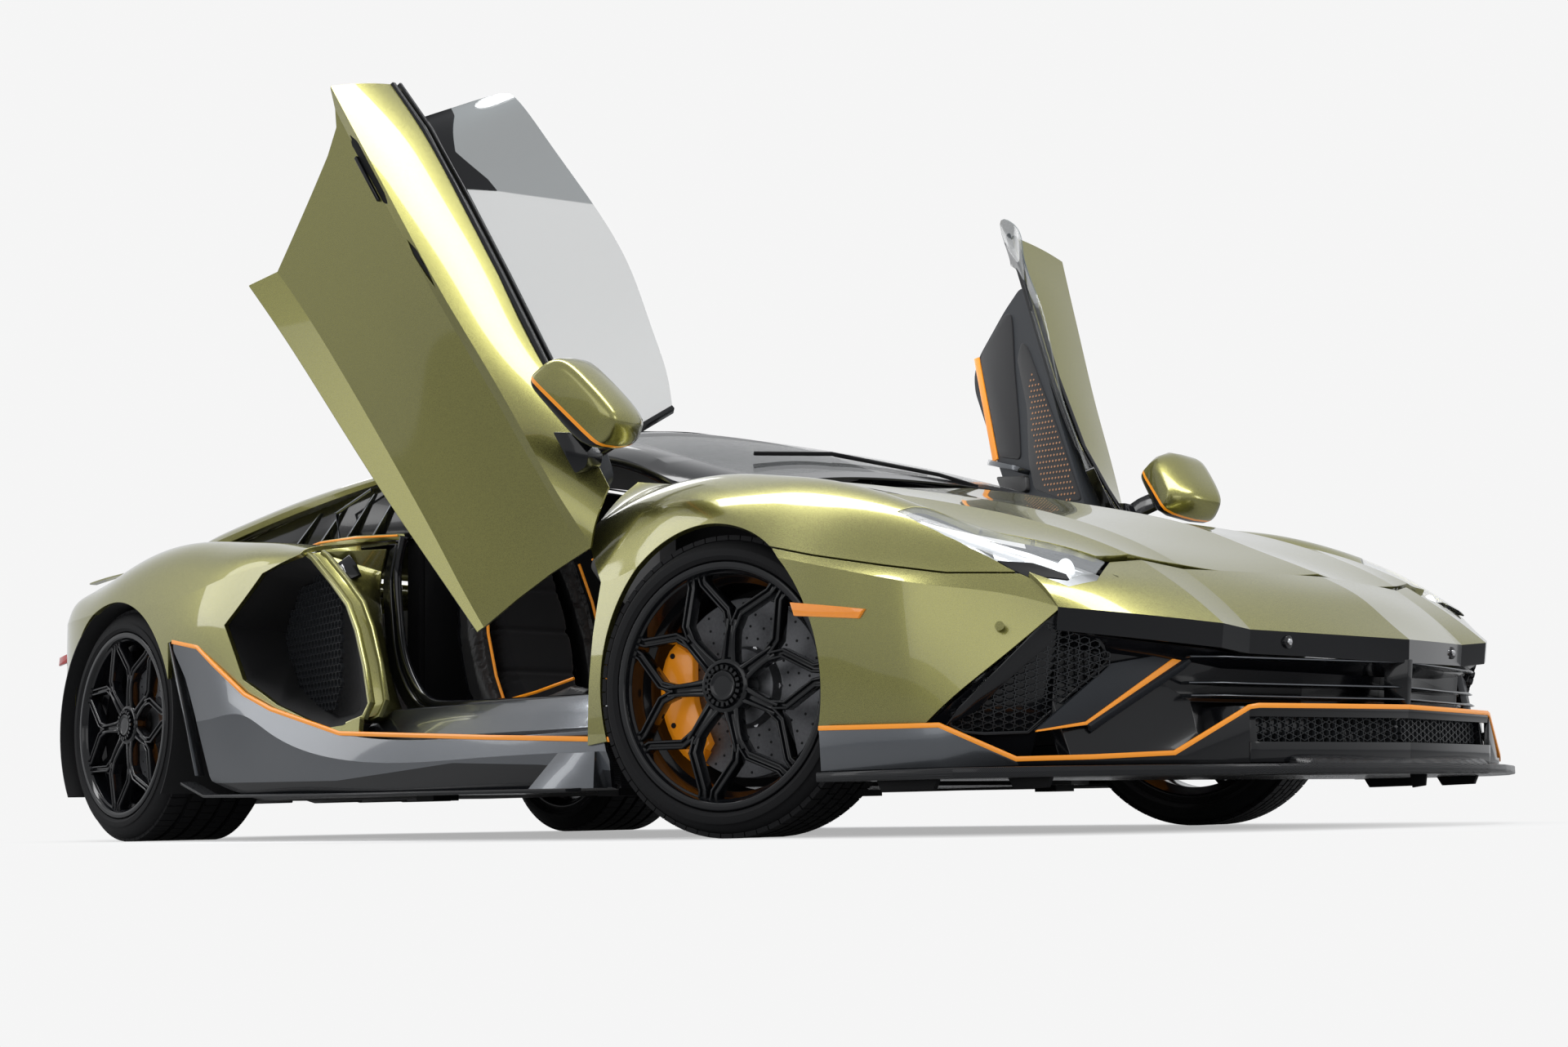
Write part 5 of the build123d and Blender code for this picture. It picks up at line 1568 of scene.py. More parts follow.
@dataclass
class Wheels:
    """Tyres, forked rims, discs with dark studs as painted shade of their holes, calipers and hub bolts."""

    sizes: Sequence[WheelSize] = (
        WheelSize("front", FRONT_AXLE, 860, 330.5, 255, 272, 200, 15.5, 66),
        WheelSize("rear", REAR_AXLE, 840, 355.5, 355, 285, 190, 0.0, 68))
    spokes: int = 7
    first_spoke: float = 80.0
    hub: float = 62.0
    spoke_profile: Outline = ((-0.5, 30), (-0.5, 3), (-0.40, 0), (-0.22, 0), (-0.15, 9), (0.15, 9), (0.22, 0),
                              (0.40, 0), (0.5, 3), (0.5, 30))

    def build(self) -> None:
        """Make the four wheels and their brakes."""
        for size in self.sizes:
            for side, word in ((-1, "right"), (1, "left")):
                place = size.place(side)
                body = f"wheel_{size.axle}_{word}"
                settle(self.tyre(size, place, word), body, "tyre", f"tyre_{size.axle}_{word}")
                settle(self.rim(size, place, word), body, "gloss_black", f"rim_{size.axle}_{word}")
                settle(self.disc(size, place, word), body, "disc", f"brake_disc_{size.axle}_{word}")
            self.calipers(size)

    def tyre(self, size: WheelSize, place: Matrix, word: str) -> bpy.types.Object:
        """Carcass with three grooves, lettering-free sidewall rings and tread blocks."""
        half, top, bead = size.half, size.radius, size.flange - 12
        maker = Maker()
        outside = [(-half + 15, bead), (-half + 15, size.flange + 1), (-half + 6, size.flange + 3),
                   (-half + 1, size.flange + 10), (-half - 0.5, size.flange + 12), (-half, size.flange + 15),
                   (-half - 0.5, size.flange + 26), (-half + 0.5, size.flange + 28), (-half + 3, top - 44),
                   (-half + 5, top - 38), (-half + 5.5, top - 36), (-half + 13, top - 22),
                   (-half + 24, top - 12), (-half + 40, top - 7)]
        crown = []
        for groove in (-0.46, -0.16, 0.16, 0.46):
            middle = groove * half
            crown += [(middle - 6, top - 5.5), (middle - 4, top - 11), (middle + 4, top - 11),
                      (middle + 6, top - 5.5)]
        inside = [(-along, radius) for along, radius in outside[::-1]]
        maker.lathe(outside + crown + inside, (0, 0, 0), steps=112, tag=0)
        body = maker.object(f"tyre_body_{size.axle}_{word}", [Kit.RUBBER], angle=38, matrix=place)
        places, turns, stretches = [], [], []
        rows = ((-0.66, 0.30, 14), (-0.31, 0.22, -18), (0.0, 0.24, 0), (0.31, 0.22, 18), (0.66, 0.30, -14))
        for row, (middle, share, slant) in enumerate(rows):
            for k in range(size.blocks):
                angle = math.tau * (k + 0.5 * (row % 2)) / size.blocks
                reach = top - 5.2
                places.append((reach * math.sin(angle), middle * half, reach * math.cos(angle)))
                turns.append((0.0, angle, 0.0))
                stretches.append((1.0, share, 1.0))
        pitch = math.tau * top / size.blocks
        blocks = Scatter(f"tread_{size.axle}_{word}", Shape.BLOCK, pitch * 0.90, 10.4, half,
                         finish=Kit.RUBBER)
        tread = carried(blocks.spread(places, turns, stretches), place)
        return merged(f"tyre_{size.axle}_{word}_full", body, tread)

    def limb(self, maker: Maker, size: WheelSize, stops: Sequence[Quad]) -> None:
        """One grooved limb through (across, out, width, level) stops in the wheel's own XZ plane."""
        rings = []
        spots = [np.array([a, o]) for a, o, _, _ in stops]
        for k, (across, out, width, level) in enumerate(stops):
            run = spots[min(k + 1, len(spots) - 1)] - spots[max(k - 1, 0)]
            run = run / np.linalg.norm(run)
            side = np.array([run[1], -run[0]])
            rings.append([(across + side[0] * width * s, size.face + level + depth, out + side[1] * width * s)
                          for s, depth in self.spoke_profile])
        maker.loft(rings)

    def rim(self, size: WheelSize, place: Matrix, word: str) -> bpy.types.Object:
        """Barrel, seven forked and grooved spokes, toothed nut ring, plain cap and valve."""
        half, seat, face = size.half, size.seat, size.face
        maker = Maker()
        maker.lathe([(14.5 - half, seat), (14 - half, size.flange), (6 - half, size.flange),
                     (3.2 - half, size.flange - 2.5), (3 - half, seat - 3), (6 - half, seat - 6),
                     (16 - half, seat - 9), (20 - half, seat - 14), (60 - half, seat - 16),
                     (72 - half, seat - 30), (half - 50, seat - 32), (half - 26, seat - 14),
                     (half - 15, seat - 12), (half - 15, seat)], (0, 0, 0), steps=112)
        maker.lathe([(face + 60, 0), (face + 60, self.hub - 4), (face + 14, self.hub),
                     (face + 9, self.hub - 4), (face + 7, 50), (face + 12, 48), (face + 12, 0)], (0, 0, 0),
                     steps=84)
        maker.lathe([(face + 14, 0), (face + 14, 33), (face + 1, 33), (face - 1, 30), (face + 1, 27),
                     (face + 1, 20), (face, 0)],
                    (0, 0, 0), steps=56)
        valve = math.radians(self.first_spoke + 180 / self.spokes + 4)
        reach = seat - 26
        at = (reach * math.cos(valve), reach * math.sin(valve))
        maker.tube([(at[0], face + 34, at[1]), (at[0] * 0.96, face + 10, at[1] * 0.96)], 4.2, 10)
        fork, end = (seat - 8) * 0.56, seat - 9
        for k in range(self.spokes):
            lean = math.radians(self.first_spoke - 90 + k * 360 / self.spokes)
            turn = np.array([[math.cos(lean), -math.sin(lean)], [math.sin(lean), math.cos(lean)]])
            spread = math.radians(180 / self.spokes - 3.2)

            def laid(points: Sequence[Quad]) -> list[Quad]:
                return [(*(turn @ np.array([a, o])), width, level) for a, o, width, level in points]

            self.limb(maker, size, laid([(0, self.hub - 9, 40, 9), (0, self.hub + 20, 33, 5), (0, fork * 0.8,
                29, 2), (0, fork + 6, 30, 2)]))
            for way in (-1, 1):
                self.limb(maker, size, laid([(way * 5, fork - 10, 22, 2.2), (way * 17, fork + 24, 22, 1.2),
                                             (way * end * math.sin(spread) * 0.90,
                                              end * math.cos(spread) * 0.93, 21, -1.4),
                                             (way * end * math.sin(spread), end * math.cos(spread) + 2, 25,
                                              1.5)]))
        body = maker.object(f"rim_body_{size.axle}_{word}", [Kit.GLOSS], bevel=1.3, angle=34, matrix=place)
        teeth = 20
        places, turns = [], []
        for k in range(teeth):
            angle = math.tau * k / teeth
            places.append((41 * math.sin(angle), face + 6, 41 * math.cos(angle)))
            turns.append((0.0, angle, 0.0))
        tooth = Scatter(f"nut_teeth_{size.axle}_{word}", Shape.BLOCK, 7.0, 9.0, 13.0, finish=Kit.GLOSS)
        ring = carried(tooth.spread(places, turns), place)
        return merged(f"rim_{size.axle}_{word}_full", body, ring)

    def disc(self, size: WheelSize, place: Matrix, word: str) -> bpy.types.Object:
        """Vented disc with its hat, dark studs as painted shade of its holes, and float bolts."""
        near = size.disc_face
        maker = Maker()
        maker.lathe([(near - 32, 0), (near - 32, 78), (near - 29, 84), (near - 2, 91), (near, 96),
                     (near, size.disc - 1.5), (near + 1.5, size.disc), (near + 11, size.disc),
                     (near + 12, size.disc - 7), (near + 22, size.disc - 7), (near + 23, size.disc),
                     (near + 32.5, size.disc), (near + 34, size.disc - 1.5), (near + 34, 80), (near - 22, 80),
                     (near - 22, 0)], (0, 0, 0), steps=112)
        body = maker.object(f"disc_body_{size.axle}_{word}", [Kit.DISC], matrix=place)
        # The holes are not cut: dark studs on the disc's face are painted shade where they would be.
        places, turns = [], []
        rows = 4
        for k in range(24):
            for row in range(rows):
                radius = 110 + (size.disc - 122) * row / (rows - 1)
                angle = math.tau * (k + row * 0.28) / 24
                places.append((radius * math.sin(angle), near - 0.1, radius * math.cos(angle)))
                turns.append((math.pi / 2, 0.0, 0.0))
        hole_shade = Scatter(f"painted_hole_shade_{size.axle}_{word}", Shape.STUD, 3.2, 0.9, sides=8,
                          finish=Kit.DARK_AND_PAINTED_SHADE).spread(places, turns)
        bolts, bolt_turns = [], []
        for k in range(10):
            angle = math.tau * (k + 0.5) / 10
            bolts.append((87 * math.sin(angle), near - 5, 87 * math.cos(angle)))
            bolt_turns.append((math.pi / 2, 0.0, 0.0))
        heads = Scatter(f"disc_bolts_{size.axle}_{word}", Shape.STUD, 6.5, 12.0, sides=6,
                        finish=Kit.STEEL).spread(bolts, bolt_turns)
        return merged(f"disc_{size.axle}_{word}_full", body, carried(hole_shade, place), carried(heads, place))

    def caliper(self, size: WheelSize, middle: float, half_span: float) -> Maker:
        """A bridge over the disc's edge with rounded ends, about the wheel's own middle."""
        near, thick, gap = size.disc_face, 34.0, 5.5
        outer, inner = size.flange - 54, size.disc - 74
        maker = Maker()
        rings = []
        for share in np.linspace(-1, 1, 15):
            angle = math.radians(middle + half_span * share)
            fall = 1 - abs(share) ** 6
            top = outer - 14 * (1 - fall)
            low = inner + 22 * (abs(share) ** 3)
            swell = 3 * math.cos(share * math.pi * 1.5) ** 2
            section = [(near - 27 - swell, low), (near - 33, low + 14), (near - 33, top - 14),
                       (near - 24, top), (near + thick + 24, top), (near + thick + 33, top - 14),
                       (near + thick + 33, low), (near + thick + gap, low), (near + thick + gap,
                           size.disc + gap), (near - gap, size.disc + gap), (near - gap, low)]
            rings.append([(radius * math.cos(angle), along, radius * math.sin(angle))
                          for along, radius in section])
        maker.loft(rings)
        for share in (-0.82, -0.28, 0.28, 0.82):
            angle = math.radians(middle + half_span * share)
            radius = outer - 24
            at = (radius * math.cos(angle), radius * math.sin(angle))
            maker.tube([(at[0], near - 36.5, at[1]), (at[0], near - 30, at[1])], 7, 6, tag=1, up=(0, 0, 1))
        return maker

    def calipers(self, size: WheelSize) -> None:
        """The axle's two calipers."""
        middle, half_span = (192.0, 43.0) if size.axle == "front" else (4.0, 33.0)
        pieces = []
        for side, word in ((-1, "right"), (1, "left")):
            angle = middle if side < 0 else 180 - middle
            piece = self.caliper(size, angle, half_span).object(f"caliper_{size.axle}_{word}_cast",
                                                                [Kit.ORANGE_PAINTED_GLOW, Kit.DARK_AND_PAINTED_SHADE], bevel=2.0,
                                                    matrix=size.place(side))
            if size.steer:
                settle(piece, f"knuckle_{word}", "orange", f"caliper_front_{word}")
            else:
                pieces.append(piece)
        if pieces:
            settle(merged("calipers_rear_cast", *pieces), Body.ROOT, "orange", "calipers_rear")


@dataclass
class Doors:
    """Both scissor doors with their glass, mirrors and inner trim, modelled shut and then swung up."""

    wall: float = 8.0
    rows: Sequence[Row] = (  # belt, ridge, under the ridge, flank, step, sill flap
        (-335, ((790, 814), (1003, 773), (987, 744), (986, 560), (993, 338), (1017, 261))),
        (-180, ((790, 807), (1003, 748), (989, 718), (988, 550), (994, 337), (1017, 260))),
        (0, ((798, 785), (1003, 720), (991, 692), (989, 520), (995, 335), (1017, 258))),
        (270, ((815, 747), (1003, 679), (992, 652), (990, 500), (996, 315), (1017, 244))),
        (540, ((848, 714), (1002, 650), (992, 622), (990, 470), (997, 286), (1017, 230))),
        (700, ((885, 706), (1001, 628), (993, 602), (991, 450), (999, 267), (1016, 226))),
        (830, ((925, 701), (1000, 609), (994, 587), (993, 430), (1002, 249), (1014, 223))),
        (1005, ((965, 692), (990, 592), (992, 562), (996, 420), (1004, 231), (1010, 217))))
    outline: Outline = ((-339, 860), (-328, 766), (-253, 709), (-221, 642), (-119, 337), (-143, 262),
                        (-143, 200), (951, 200), (951, 228), (962, 353), (978, 464), (1004, 586), (941, 666),
                        (891, 724), (871, 860))
    slot: Outline = ((-210, 728), (-172, 738), (-18, 712), (6, 700), (-10, 689), (-175, 713))
    leaf: Outline = ((104, 684), (150, 692), (210, 684), (262, 668), (210, 666), (146, 670))
    glass_rows: Sequence[Row] = (
        (-232, ((772, 792), (782, 772))),
        (-200, ((644, 928), (780, 790))),
        (-146, ((641, 983), (781, 796))),
        (14, ((641, 987), (785, 780))),
        (231, ((643, 978), (801, 747))),
        (425, ((645, 952), (822, 719))),
        (596, ((663, 904), (846, 705))),
        (727, ((693, 871), (871, 699))),
        (800, ((715, 841), (895, 694))))
    dark_glass: Outline = ((-260, 700), (-75, 730), (98, 868), (262, 1002), (240, 1100), (-260, 1100))
    black_glass: Outline = ((-260, 700), (-60, 700), (-20, 760), (60, 838), (20, 838), (-90, 822),
                            (-190, 860), (-260, 860))
    # columns: distance out, outline from the rear end; rows: inner face, flank and back of the lining
    lining: Sequence[tuple[float, Outline]] = (
        (806, ((-120, 772), (-156, 745), (-160, 640), (-143, 456), (-110, 402), (-50, 380), (300, 376),
               (700, 374), (850, 410), (878, 520), (850, 655), (760, 690), (400, 712), (100, 744))),
        (815, ((-120, 774), (-158, 750), (-160, 640), (-143, 452), (-108, 398), (-50, 376), (300, 372),
               (700, 370), (858, 404), (886, 520), (855, 660), (762, 690), (400, 712), (100, 744))),
        (885, ((-118, 745), (-145, 720), (-132, 640), (-78, 456), (-40, 370), (-16, 340), (300, 336),
               (700, 336), (880, 340), (905, 520), (875, 630), (800, 660), (400, 676), (100, 708))),
        (966, ((-128, 690), (-148, 670), (-132, 620), (-48, 456), (-8, 350), (16, 300), (300, 284),
               (700, 276), (890, 280), (915, 520), (870, 600), (800, 596), (400, 628), (100, 660))))
    suede: Outline = ((-136, 460), (-152, 638), (-118, 672), (-63, 656), (71, 601), (276, 531), (385, 486),
                      (277, 392))
    stripe: Outline = ((-157, 430), (-139, 455), (274, 385), (264, 358))
    mesh_panel: Outline = ((18, 672), (65, 690), (468, 692), (755, 684), (700, 620), (526, 500), (423, 516),
                           (248, 592), (50, 625))
    dots: Outline = ((150, 660), (226, 684), (462, 686), (735, 676), (690, 620), (556, 542), (406, 560),
                     (206, 630))
    # columns: distance out, share of the full outline, shift of x, shift of z
    mirror_rings: Sequence[Quad] = (
        (962, 0.52, 10, -14), (966, 0.72, 8, -10), (988, 0.88, 4, -6), (1022, 0.98, 0, 0), (1060, 1.0, 0, 0),
        (1106, 0.97, -2, 0), (1121, 0.92, -3, 0), (1127, 0.84, -5, 0), (1129, 0.66, -8, 0))
    mirror_outline: Outline = ((656, 800), (660, 836), (672, 868), (706, 892), (768, 902), (828, 908),
                               (880, 906), (900, 892), (912, 866), (914, 840), (900, 812), (874, 794),
                               (820, 784), (761, 780), (706, 776), (668, 778))

    @property
    def swing(self) -> Matrix:
        """From shut to the open rest position, for the right door."""
        hinge = Matrix.Translation(DOOR_HINGE)
        return hinge @ Matrix.Rotation(DOOR_OPEN, 4, Vector(DOOR_AXIS)) @ hinge.inverted()

    def build(self) -> None:
        """Make both doors."""
        self.shells()
        self.glasses()
        for side, word, body in ((-1, "right", Body.DOOR_RIGHT), (1, "left", Body.DOOR_LEFT)):
            matrix = self.swing if side < 0 else Matrix.Diagonal((1, -1, 1, 1)) @ self.swing
            self.inner(matrix, word, body)
            self.edges(matrix, word, body)
            self.mirror(matrix, word, body)

    def pair(self, closed: Sheet) -> tuple[Sheet, Sheet]:
        """A shut right-hand sheet as the open right and left ones."""
        right = turn_sheet(closed, self.swing)
        return right, right.mirrored()

    def shells(self) -> None:
        """The painted skins, with their ridges, grip slots and outward sill flaps."""
        sheet = skin(self.rows, (1, 2, 4), outward=(0, -1, 0.2), crowns={0: 6.0})
        sheet = sheet.inside(self.outline).outside(rounded(self.slot, 9)).outside(rounded(self.leaf, 8))
        closed = sheet.walled(self.wall)
        for open_sheet, word, body in zip(self.pair(closed), ("right", "left"), (Body.DOOR_RIGHT,
            Body.DOOR_LEFT)):
            settle(mesh_object(f"door_skin_{word}", open_sheet, [Kit.PAINT]), body, "paint", f"door_{word}")

    def glasses(self) -> None:
        """The side glass, darker towards its top and black at its rear corner."""
        sheet = skin(self.glass_rows, outward=(0, -1, 0.5), fair=2e3)
        sheet = sheet.painted(self.dark_glass, 1).painted(self.black_glass, 2)
        closed = sheet.walled(4.0, 0.8)
        for open_sheet, word, body in zip(self.pair(closed), ("right", "left"), (Body.DOOR_RIGHT,
            Body.DOOR_LEFT)):
            piece = mesh_object(f"door_pane_{word}", open_sheet, [Kit.SIDE_GLASS, Kit.SHADED_GLASS,
                                                                  Kit.GLOSS])
            settle(piece, body, "glass", f"door_glass_{word}")

    def belt(self, lift: float, inward: float) -> list[Point]:
        """A path along the belt line."""
        return [(x, -(points[0][0] - inward), points[0][1] + lift) for x, points in self.rows[:-1]]

    def edges(self, matrix: Matrix, word: str, body: Body) -> None:
        """Belt seals, grip cups, the front pillar strip and the catch."""
        maker = Maker()
        maker.sweep(self.belt(2, -8), [(-9, -8), (9, -8), (6, 4), (-6, 4)], smooth=False)
        maker.sweep(self.belt(4, 16), [(-7, -10), (7, -10), (4, 5), (-4, 5)])
        # The cups are near-black: the slot's black opening, with painted shade in the leaf's scoop, whose own
        # colour is olive.
        maker.prism([(x, z) for x, z in self.grown(self.slot, 8)], View.SIDE, -962, -989, tag=1)
        maker.prism([(x, z) for x, z in self.grown(self.leaf, 6)], View.SIDE, -970, -990, tag=1)
        maker.sweep([(812, -889, 690), (806, -812, 762), (802, -722, 846)], [(-13, -5), (13, -5), (13, 6),
            (-13, 6)], (1, 0, 0), tag=0)
        maker.prism([(-150, 702), (-22, 682), (-22, 690), (-150, 711)], View.SIDE, -988, -999, tag=0)
        settle(maker.object(f"door_seals_{word}", [Kit.GLOSS, Kit.DARK_AND_PAINTED_SHADE], bevel=1.2, matrix=matrix), body,
               "gloss_black")
        catch = Maker()
        catch.prism([(-196, 610), (-240, 622), (-246, 608), (-196, 590)], View.SIDE, -946, -938, tag=0)
        catch.tube([(-238, -950, 614), (-238, -932, 614)], 6, 10, tag=0)
        settle(catch.object(f"door_catch_{word}", [Kit.STEEL], bevel=1.0, matrix=matrix), body, "steel")

    def grown(self, outline: Outline, amount: float) -> list[tuple[float, float]]:
        """An outline pushed out from its middle."""
        middle = np.mean(np.array(outline, float), axis=0)
        return [tuple(np.array(p) + unit(np.array(p, float) - middle) * amount) for p in outline]

    def inner(self, matrix: Matrix, word: str, body: Body) -> None:
        """The lining: a moulded shell, a suede insert, a perforated panel with dots, a stripe and a pull."""
        face = -self.lining[0][0]
        maker = Maker()
        maker.loft([[(x, -out, z) for x, z in rounded(ring, 26, 4)] for out, ring in self.lining])
        settle(maker.object(f"door_lining_{word}", [Kit.TRIM], angle=40, matrix=matrix), body, "leather")
        insert = Maker()
        insert.prism(rounded(self.suede, 26), View.SIDE, face - 3, face + 4, draft=0.02)
        insert.prism(rounded(self.mesh_panel, 20), View.SIDE, face - 3, face + 3, draft=0.02)
        settle(insert.object(f"door_suede_{word}", [Kit.SUEDE], bevel=3.0, matrix=matrix), body, "alcantara")
        stripe = Maker()
        stripe.prism(self.stripe, View.SIDE, face - 3, face + 5)
        settle(stripe.object(f"door_stripe_{word}", [Kit.ORANGE_PAINTED_GLOW], bevel=2.0, matrix=matrix), body, "orange")
        places = []
        for row, z in enumerate(np.arange(540, 690, 14.0)):
            for x in np.arange(140, 760, 24.0):
                places.append((x + 12 * (row % 2), z))
        kept = np.array(places)[within(np.array(places), self.dots)]
        dots = Scatter(f"door_dots_{word}", Shape.STUD, 3.4, 1.8, sides=8, finish=Kit.COPPER)
        piece = dots.spread([(x, face + 3.4, z) for x, z in kept], [(math.pi / 2, 0.0, 0.0)] * len(kept))
        settle(carried(piece, matrix), body, "orange")
        pull = Maker()
        path = [(284, face - 2, 372), (290, face + 34, 376), (310, face + 44, 392), (424, face + 44, 484),
                (444, face + 34, 498), (450, face - 2, 500)]
        pull.sweep(path, [(-8, -5), (8, -5), (8, 5), (-8, 5)], (0, 1, 0), tag=0)
        pull.prism(rounded([(330, 358), (462, 498), (515, 480), (430, 362)], 14), View.SIDE, face - 3,
                   face + 14, tag=1, draft=0.06)
        settle(pull.object(f"door_pull_{word}", [Kit.GREY, Kit.HIDE], bevel=2.0, matrix=matrix), body,
               "satin_grey")

    def mirror(self, matrix: Matrix, word: str, body: Body) -> None:
        """The mirror: a painted cap over a black underside, an orange line, a stalk and the glass."""
        outline = np.array(self.mirror_outline, float)
        middle = outline.mean(0)
        fine = spline(np.arange(len(outline) + 1), np.vstack([outline, outline[:1]]), np.linspace(0,
            len(outline), 73)[:-1], 0.02)
        rings = []
        for out, share, dx, dz in self.mirror_rings:
            rings.append([(x, -out, z) for x, z in middle + (fine - middle) * share + (dx, dz)])
        head = Maker()
        head.loft(rings, smooth=True)
        lean = Vector((-0.149, 0, 1)).normalized()
        for rise in (0.0, 9.0):
            everything = head.bm.verts[:] + head.bm.edges[:] + head.bm.faces[:]
            bmesh.ops.bisect_plane(head.bm, geom=everything, dist=0.01, plane_co=(641, 0, 786 + rise),
                                   plane_no=lean)
        for face in head.bm.faces:
            level = (face.calc_center_median() - Vector((641, 0, 786))).dot(lean)
            face.material_index = 1 if level < 0 else 2 if level < 8.9 else 0
        cap = head.object(f"mirror_head_{word}", [Kit.PAINT, Kit.GLOSS, Kit.ORANGE_PAINTED_GLOW], angle=50, matrix=matrix)
        stalk = Maker()
        stalk.sweep([(790, -948, 694), (792, -968, 742), (790, -1000, 778), (788, -1020, 792)],
                    [(-34, -7), (34, -7), (28, 7), (-28, 7)], (0, 1, 0.3), tag=0)
        stalk.prism(rounded([(735, 688), (850, 670), (858, 704), (842, 728), (770, 724)], 8), View.SIDE, -930,
                    -992, tag=0)
        foot = stalk.object(f"mirror_stalk_{word}", [Kit.GLOSS], bevel=3.0, matrix=matrix)
        settle(merged(f"mirror_{word}_full", cap, foot), body, "paint", f"mirror_{word}")


@dataclass
class Cabin:
    """Roof, pillars, windscreen, cowl, dashboard, seats and steering wheel."""

    roof_rows: Sequence[Row] = (
        (-160, ((0, 1126), (150, 1126), (300, 1113), (540, 1075), (636, 1032))),
        (-20, ((0, 1130), (150, 1132), (300, 1119), (548, 1081), (646, 1037))),
        (100, ((0, 1132), (150, 1134), (300, 1121), (550, 1083), (648, 1038))),
        (240, ((0, 1126), (150, 1128), (300, 1116), (547, 1078), (640, 1036))),
        (348, ((0, 1118), (150, 1119), (300, 1107), (540, 1068), (630, 1030))))
    screen_rows: Sequence[Row] = (
        (354, ((0, 1119), (300, 1105), (562, 1062))),
        (682, ((0, 1043), (300, 1031), (594, 986))),
        (993, ((0, 958), (330, 944), (636, 890))),
        (1236, ((0, 874), (400, 860), (664, 824))))
    pillars: Sequence[tuple[float, Outline]] = (  # inner top, outer top, outer bottom, inner bottom
        (340, ((566, 1063), (612, 1050), (637, 1028), (624, 1000), (566, 1032))),
        (520, ((580, 1028), (634, 1012), (664, 988), (652, 962), (578, 996))),
        (690, ((592, 989), (664, 974), (696, 950), (684, 924), (588, 958))),
        (830, ((610, 947), (690, 932), (720, 905), (708, 878), (604, 918))),
        (955, ((628, 908), (714, 884), (741, 856), (729, 829), (622, 878))),
        (1150, ((648, 842), (702, 822), (724, 802), (714, 774), (642, 810))))
    seat_side: float = 395.0

    def build(self) -> None:
        """Make the cabin."""
        self.shell()
        self.screen()
        self.cowl()
        self.dashboard()
        self.wheel()
        self.seats()
        self.lining()

    def shell(self) -> None:
        """The black roof skin with its rails, pillars and rear posts."""
        roof = mesh_object("roof_skin", skin(full_width(self.roof_rows), outward=(0, 0, 1)).walled(16),
                           [Kit.GLOSS])
        posts = Maker()
        at = np.linspace(340, 1150, 30)
        table = spline([p[0] for p in self.pillars], np.array([p[1] for p in self.pillars], float), at, 1e3)
        posts.loft([[(x, -y, z) for y, z in ring] for x, ring in zip(at, table)], smooth=True)
        posts.loft([[(340, -636, 1034), (340, -632, 1004), (340, -560, 1030), (340, -560, 1052)],
                    [(-160, -640, 1034), (-160, -634, 1006), (-160, -560, 1030), (-160, -560, 1060)]])
        posts.prism([(-345, 850), (-262, 852), (-60, 1024), (-150, 1034)], View.SIDE, -636, -606)
        rails = posts.object("pillars", [Kit.GLOSS], bevel=2.0, mirror=True)
        settle(merged("roof_full", roof, rails), Body.ROOT, "gloss_black", "roof")

    def screen(self) -> None:
        """The windscreen with its dark border, and one wiper."""
        sheet = skin(full_width(self.screen_rows), outward=(1, 0, 1))
        sheet = sheet.painted([(300, -700), (300, 700), (400, 700), (400, -700)], 1, View.PLAN)
        sheet = sheet.painted([(1168, -700), (1168, 700), (1300, 700), (1300, -700)], 1, View.PLAN)
        for side in (-1, 1):
            edge = [(x, side * (row[2][0] - 26)) for x, row in self.screen_rows]
            rim = [(x, side * (row[2][0] + 40)) for x, row in self.screen_rows[::-1]]
            sheet = sheet.painted(edge + rim, 1, View.PLAN)
        settle(mesh_object("windscreen_pane", sheet.walled(5.0, 0.8), [Kit.GLASS, Kit.GLOSS]), Body.ROOT,
               "glass", "windscreen")
        wiper = Maker()
        wiper.sweep([(1222, 60, 874), (1150, -10, 908), (1010, -250, 955)], [(-5, 0), (5, 0), (4, 9),
            (-4, 9)], (0.5, 0, 1))
        wiper.sweep([(1120, -20, 914), (1010, -258, 954), (960, -480, 940)], [(-4, 2), (4, 2), (3, 12),
            (-3, 12)], (0.5, 0, 1))
        settle(wiper.object("wiper", [Kit.MATT], bevel=1.0), Body.ROOT, "matte_black")

    def cowl(self) -> None:
        """The dark trough between the windscreen and the hood, with dark blocks on it as painted shade of its
        slots.
        """
        maker = Maker()
        rings = []
        for y in np.linspace(-700, 700, 29):
            lift = 30 * (1 - (abs(y) / 700) ** 2)
            rings.append([(1236, y, 806 + lift), (1180, y, 826 + lift), (1180, y, 808 + lift),
                          (1236, y, 790 + lift)])
        maker.loft(rings)
        settle(maker.object("cowl_trough", [Kit.MATT], bevel=1.0), Body.ROOT, "matte_black")
        # The slots are not cut: dark blocks on the trough are painted shade where they would be.
        places = [(1206, y, 820 + 30 * (1 - (abs(y) / 700) ** 2)) for y in np.arange(-600, 601, 40.0)]
        slots = Scatter("cowl_slot_shade", Shape.BLOCK, 24, 4, 8, finish=Kit.DARK_AND_PAINTED_SHADE)
        settle(slots.spread(places, [(0, 0.3, 0)] * len(places)), Body.ROOT, "matte_black")

